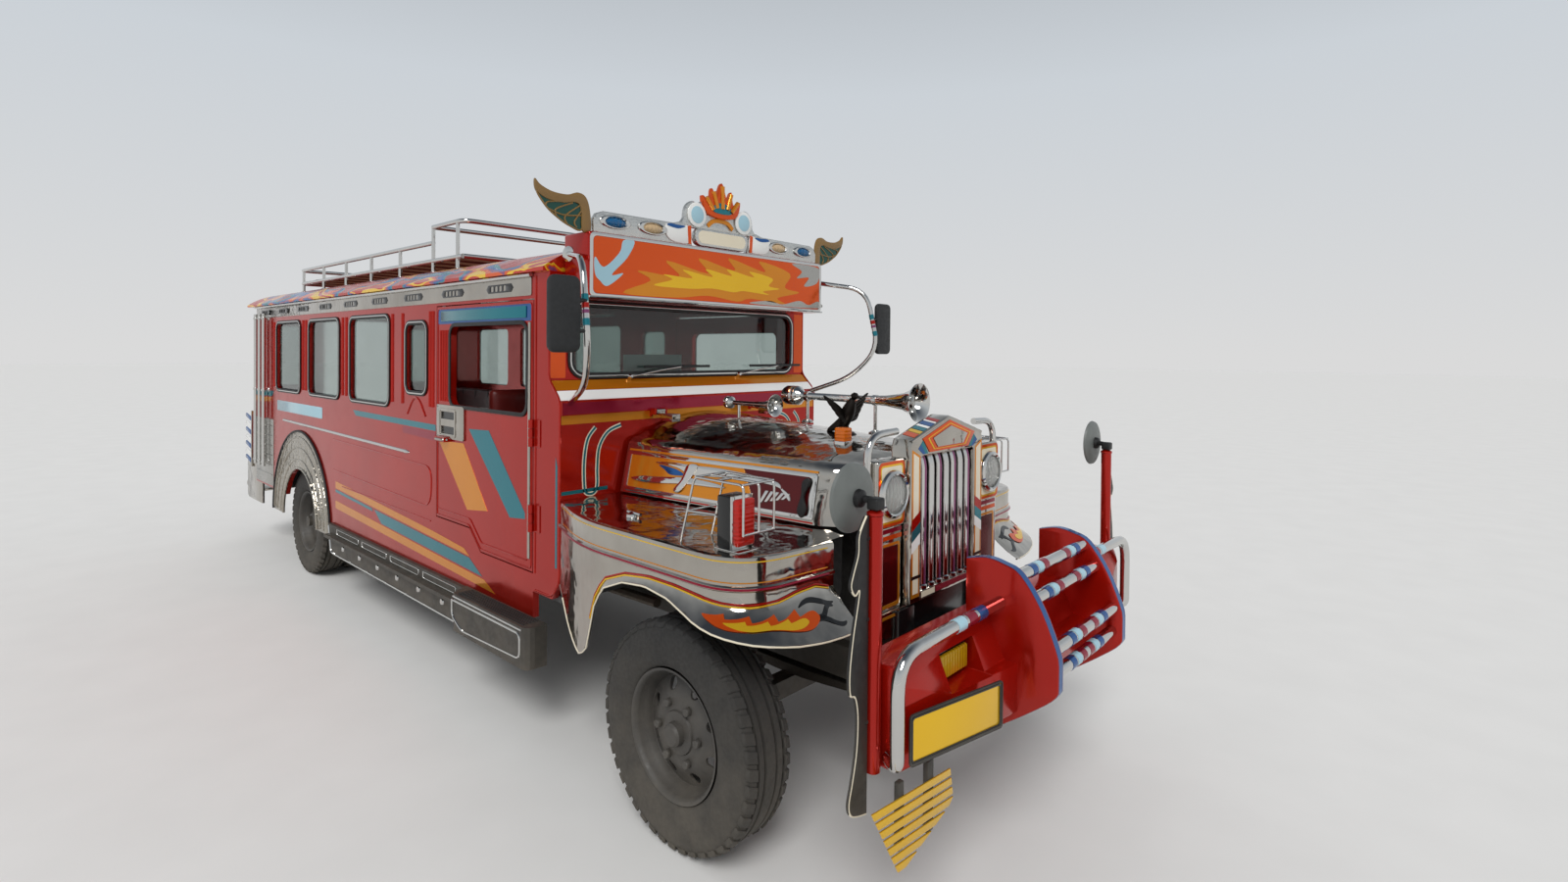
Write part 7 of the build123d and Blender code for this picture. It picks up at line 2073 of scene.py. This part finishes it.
frame_x = rear_x - 0.004
doorway_half = 0.338
doorway = [(-doorway_half, 0.632), (-doorway_half, 1.958), (doorway_half, 1.958), (doorway_half, 0.632)]
door_frame = pipe("rear_doorway_frame", [(frame_x, y, z) for y, z in doorway], 0.008, 0.03)
fit(door_frame, chrome)
rear_rubbers = []
tail_plates = []
tail_reds = []
tail_ambers = []
for side, word in sides:
    pane = sorted((side * 0.410, side * 0.740))
    rear_rubbers.append(rear_sheet("rubber", ring_outlines(*pane, 1.370, 1.890, 0.020, 0.006, corner),
        0, 0.008, 0.003))
    for colour_name, low, high in (("teal", 1.255, 1.300), ("amber", 1.195, 1.240)):
        stripe = rear_sheet("rear_" + colour_name + "_band_" + word,
            [quad(side * 0.352, side * 0.806, low, high)])
        fit(stripe, colour_name)
    near_y = side * 0.698
    far_y = side * 0.782
    tail_plates.append(brick("plate", (rear_x - 0.010, side * 0.690, 0.722),
        (rear_x, side * 0.790, 0.878), 0.004))
    tail_reds.append(brick("lens", (rear_x - 0.024, near_y, 0.778), (rear_x - 0.008, far_y, 0.870),
        0.007, 3))
    tail_ambers.append(brick("lens", (rear_x - 0.022, near_y, 0.730), (rear_x - 0.008, far_y, 0.772),
        0.006, 3))
fit(join("rear_window_rubbers", rear_rubbers), seal_rubber)
fit(join("tail_lamp_plates", tail_plates), chrome)
fit(join("tail_lamp_red_lenses", tail_reds), red_lens)
fit(join("tail_lamp_amber_lenses", tail_ambers), amber_lens, slot="lamp_lens")
print("rear wall is dressed")

# %% [markdown]
# Below the doors hang skirts and a foot board in black, which is painted shade for the shadow under the
# body: the skirts are bright metal. A bright half-round moulding closes their lower
# edge, and the board has rubber treads.

# %% Skirt mouldings and board treads
skirt_trim = []
treads = []
for side, word in sides:
    y = side * (body_half + 0.022)
    skirt_trim.append(pipe("edge", [(-1.190, y, 0.488), (-1.138, y, 0.312), (1.425, y, 0.306)], 0.006,
        0.03, sides=2))
    for x in [-0.90 + 0.30 * n for n in range(6)]:
        skirt_trim.append(turned("stud", [(0, 0), (0.018, 0), (0.015, 0.006), (0, 0.009)],
            (x, y, 0.375), (0, side, 0), 20))
    skirt_trim.append(pipe("board_edge", [(0.945, side * (body_half + 0.118), 0.506),
        (1.600, side * (body_half + 0.118), 0.506)], 0.0055, sides=2))
    for n in range(5):
        low_y, high_y = side * (body_half + 0.032 + 0.016 * n), side * (body_half + 0.040 + 0.016 * n)
        treads.append(brick("tread", (0.965, low_y, 0.518), (1.585, high_y, 0.524), 0.0015, 1))
    board_loop = [(0.935, 0.488), (1.585, 0.488), (1.585, 0.382), (1.035, 0.362), (0.935, 0.412),
        (0.935, 0.488)]
    skirt_trim.append(pipe("board_loop", [(x, side * 0.9605, z) for x, z in board_loop], 0.005, 0.03,
        sides=2))
    for n in range(4):
        x0 = -1.02 + 0.46 * n
        loop = [(x0, 0.484), (x0 + 0.40, 0.484), (x0 + 0.40, 0.452), (x0, 0.452), (x0, 0.484)]
        skirt_trim.append(pipe("skirt_loop", [(x, side * 0.8625, z) for x, z in loop], 0.003, 0.012,
            sides=2))
fit(join("skirt_mouldings", skirt_trim), chrome)
fit(join("foot_board_treads", treads), seal_rubber)
print("skirts have", len(skirt_trim), "mouldings and studs")

# %% [markdown]
# The steering wheel is a thin ring on three spokes with a plain domed hub. Its column comes out of the
# dashboard, which has three bare dials.

# %% Steering wheel and dials
driver_y = 0.430
wheel_centre = Vector((1.290, driver_y, 1.400))
column_foot = Vector((1.500, driver_y, 1.300))
wheel_axis = (wheel_centre - column_foot).normalized()
grip_profile = [(0.195 + 0.012 * math.cos(math.radians(a)), 0.012 * math.sin(math.radians(a)))
    for a in range(0, 361, 30)]
wheel_parts = [turned("grip", grip_profile, wheel_centre, wheel_axis, 56)]
hub_profile = [(0, 0.026), (0.026, 0.022), (0.038, 0.010), (0.038, -0.012), (0.024, -0.030), (0, -0.030)]
wheel_parts.append(turned("hub", hub_profile, wheel_centre, wheel_axis, 32))
across_axis = wheel_axis.cross(Vector((0, 1, 0))).normalized()
for angle_deg in (-90, 30, 150):
    angle = math.radians(angle_deg)
    reach = (Vector((0, 1, 0)) * math.cos(angle) - across_axis * math.sin(angle)) * 0.190
    wheel_parts.append(pipe("spoke", [wheel_centre - wheel_axis * 0.008,
        wheel_centre + reach * 0.5 - wheel_axis * 0.010, wheel_centre + reach], 0.0065, 0.05))
wheel_parts.append(pipe("column", [column_foot, wheel_centre - wheel_axis * 0.028], 0.020, sides=4))
for way in (-1, 1):
    wheel_parts.append(pipe("stalk", [wheel_centre - wheel_axis * 0.050,
        wheel_centre - wheel_axis * 0.045 + Vector((0, way * 0.150, 0.020))], 0.005))
fit(join("steering_wheel_ring", wheel_parts), dash_plastic, "steering_wheel", slot="trim_plastic")
dial_rims = []
dial_faces = []
for offset in (-0.120, 0.0, 0.120):
    spot = (1.4995, driver_y + offset, 1.285 if offset else 1.300)
    radius = 0.052 if offset == 0 else 0.040
    dial_rims.append(turned("rim", [(radius, 0), (radius + 0.006, 0.002), (radius + 0.004, 0.008),
        (radius - 0.002, 0.006), (radius, 0)], spot, (-1, 0, 0), 32))
    dial_faces.append(turned("dial", [(0, 0.001), (radius, 0.001), (radius, 0.002), (0, 0.002)], spot,
        (-1, 0, 0), 32))
fit(join("dial_rims", dial_rims), chrome, slot="trim_plastic")
fit(join("bare_dial_faces", dial_faces), "black", slot="trim_plastic")
print("driver's place has", len(dial_faces), "dials")

# %% [markdown]
# Seats are vinyl over foam. Each shape starts as a box a little smaller than its space and is remeshed
# to an even grid. Then a short cloth simulation blows it up, and a cap stops any point from moving too
# far, so the sides pull in between the corners. One seat and one back of the benches are simulated,
# and all their pads are copies of these.

# %% Padded seats
pad_voxel = 0.014
swell_cap = 0.010


def padded(name, low, high, pressure=4.0):
    inset = swell_cap * 0.9
    low = Vector(low) + Vector((inset, inset, inset))
    high = Vector(high) - Vector((inset, inset, inset))
    pad = brick(name, low, high, 0.022, 4)
    press(pad, "REMESH", mode="VOXEL", voxel_size=pad_voxel)
    start = [v.co.copy() for v in pad.data.vertices]
    only(pad)
    cloth = pad.modifiers.new("swell", "CLOTH")
    cloth.settings.quality = 3
    cloth.settings.use_pressure = True
    cloth.settings.uniform_pressure_force = pressure
    cloth.settings.effector_weights.gravity = 0
    cloth.point_cache.frame_start = 1
    cloth.point_cache.frame_end = 20
    for frame_number in range(1, 21):
        bpy.context.scene.frame_set(frame_number)
    bpy.ops.object.modifier_apply(modifier=cloth.name)
    bpy.context.scene.frame_set(1)
    for vertex, origin in zip(pad.data.vertices, start):
        moved = vertex.co - origin
        if moved.length > swell_cap:
            vertex.co = origin + moved * (swell_cap / moved.length)
    return pad


bench_start = -2.950
bench_pitch = 3.190 / 3
seat_spots = (("seat", 0.720, 1.180, 0.900, 1.010), ("back", 0.630, 0.7195, 0.900, 1.500))
bench_seat = padded("bench_seat", (bench_start + 0.005, -0.725, 0.960),
    (bench_start + bench_pitch - 0.005, -0.430, 1.040))
bench_back = padded("bench_back", (bench_start + 0.005, -0.810, 0.960),
    (bench_start + bench_pitch - 0.005, -0.745, 1.340))
print("bench pads have", len(bench_seat.data.polygons), "and", len(bench_back.data.polygons), "faces")
bench_pads = []
for side, word in sides:
    for n in range(3):
        for pad in (bench_seat, bench_back):
            bench_pads.append(copy_of(pad, pad.name + "_copy", (n * bench_pitch, 0, 0), flip=side > 0))
for pad in (bench_seat, bench_back):
    bpy.data.objects.remove(pad)
front_pads = []
for label, x0, x1, z0, z1 in seat_spots:
    pad = press(padded("front_" + label, (x0, -0.660, z0), (x1, -0.200, z1)), "SUBSURF", levels=1,
        render_levels=1)
    front_pads.extend([pad, copy_of(pad, "front_" + label + "_left", flip=True)])
seams = []
for side, word in sides:
    for n in range(3):
        x0 = bench_start + n * bench_pitch + 0.020
        x1 = x0 + bench_pitch - 0.040
        for k in range(1, 4):
            x = x0 + (x1 - x0) * k / 4
            seams.append(pipe("welt", [(x, side * 0.700, 1.036), (x, side * 0.450, 1.036)], 0.003, sides=2))
            seams.append(pipe("welt", [(x, side * 0.747, 1.000), (x, side * 0.747, 1.310)], 0.003, sides=2))
bench_seats = join("bench_pads", bench_pads)
front_seats = join("front_seat_pads", front_pads)
fit(bench_seats, seat_vinyl, "seat_cushions", angle_deg=60)
fit(front_seats, seat_vinyl, "seat_cushions", angle_deg=60)
fit(join("seat_welts", seams), seal_rubber, slot="seat_cover")
print("seats have", len(bench_seats.data.polygons), "and", len(front_seats.data.polygons), "faces")

# %% [markdown]
# The last cell makes the camera the active object and leaves nothing selected.

# %% Finish
only(camera)
bpy.ops.object.select_all(action="DESELECT")
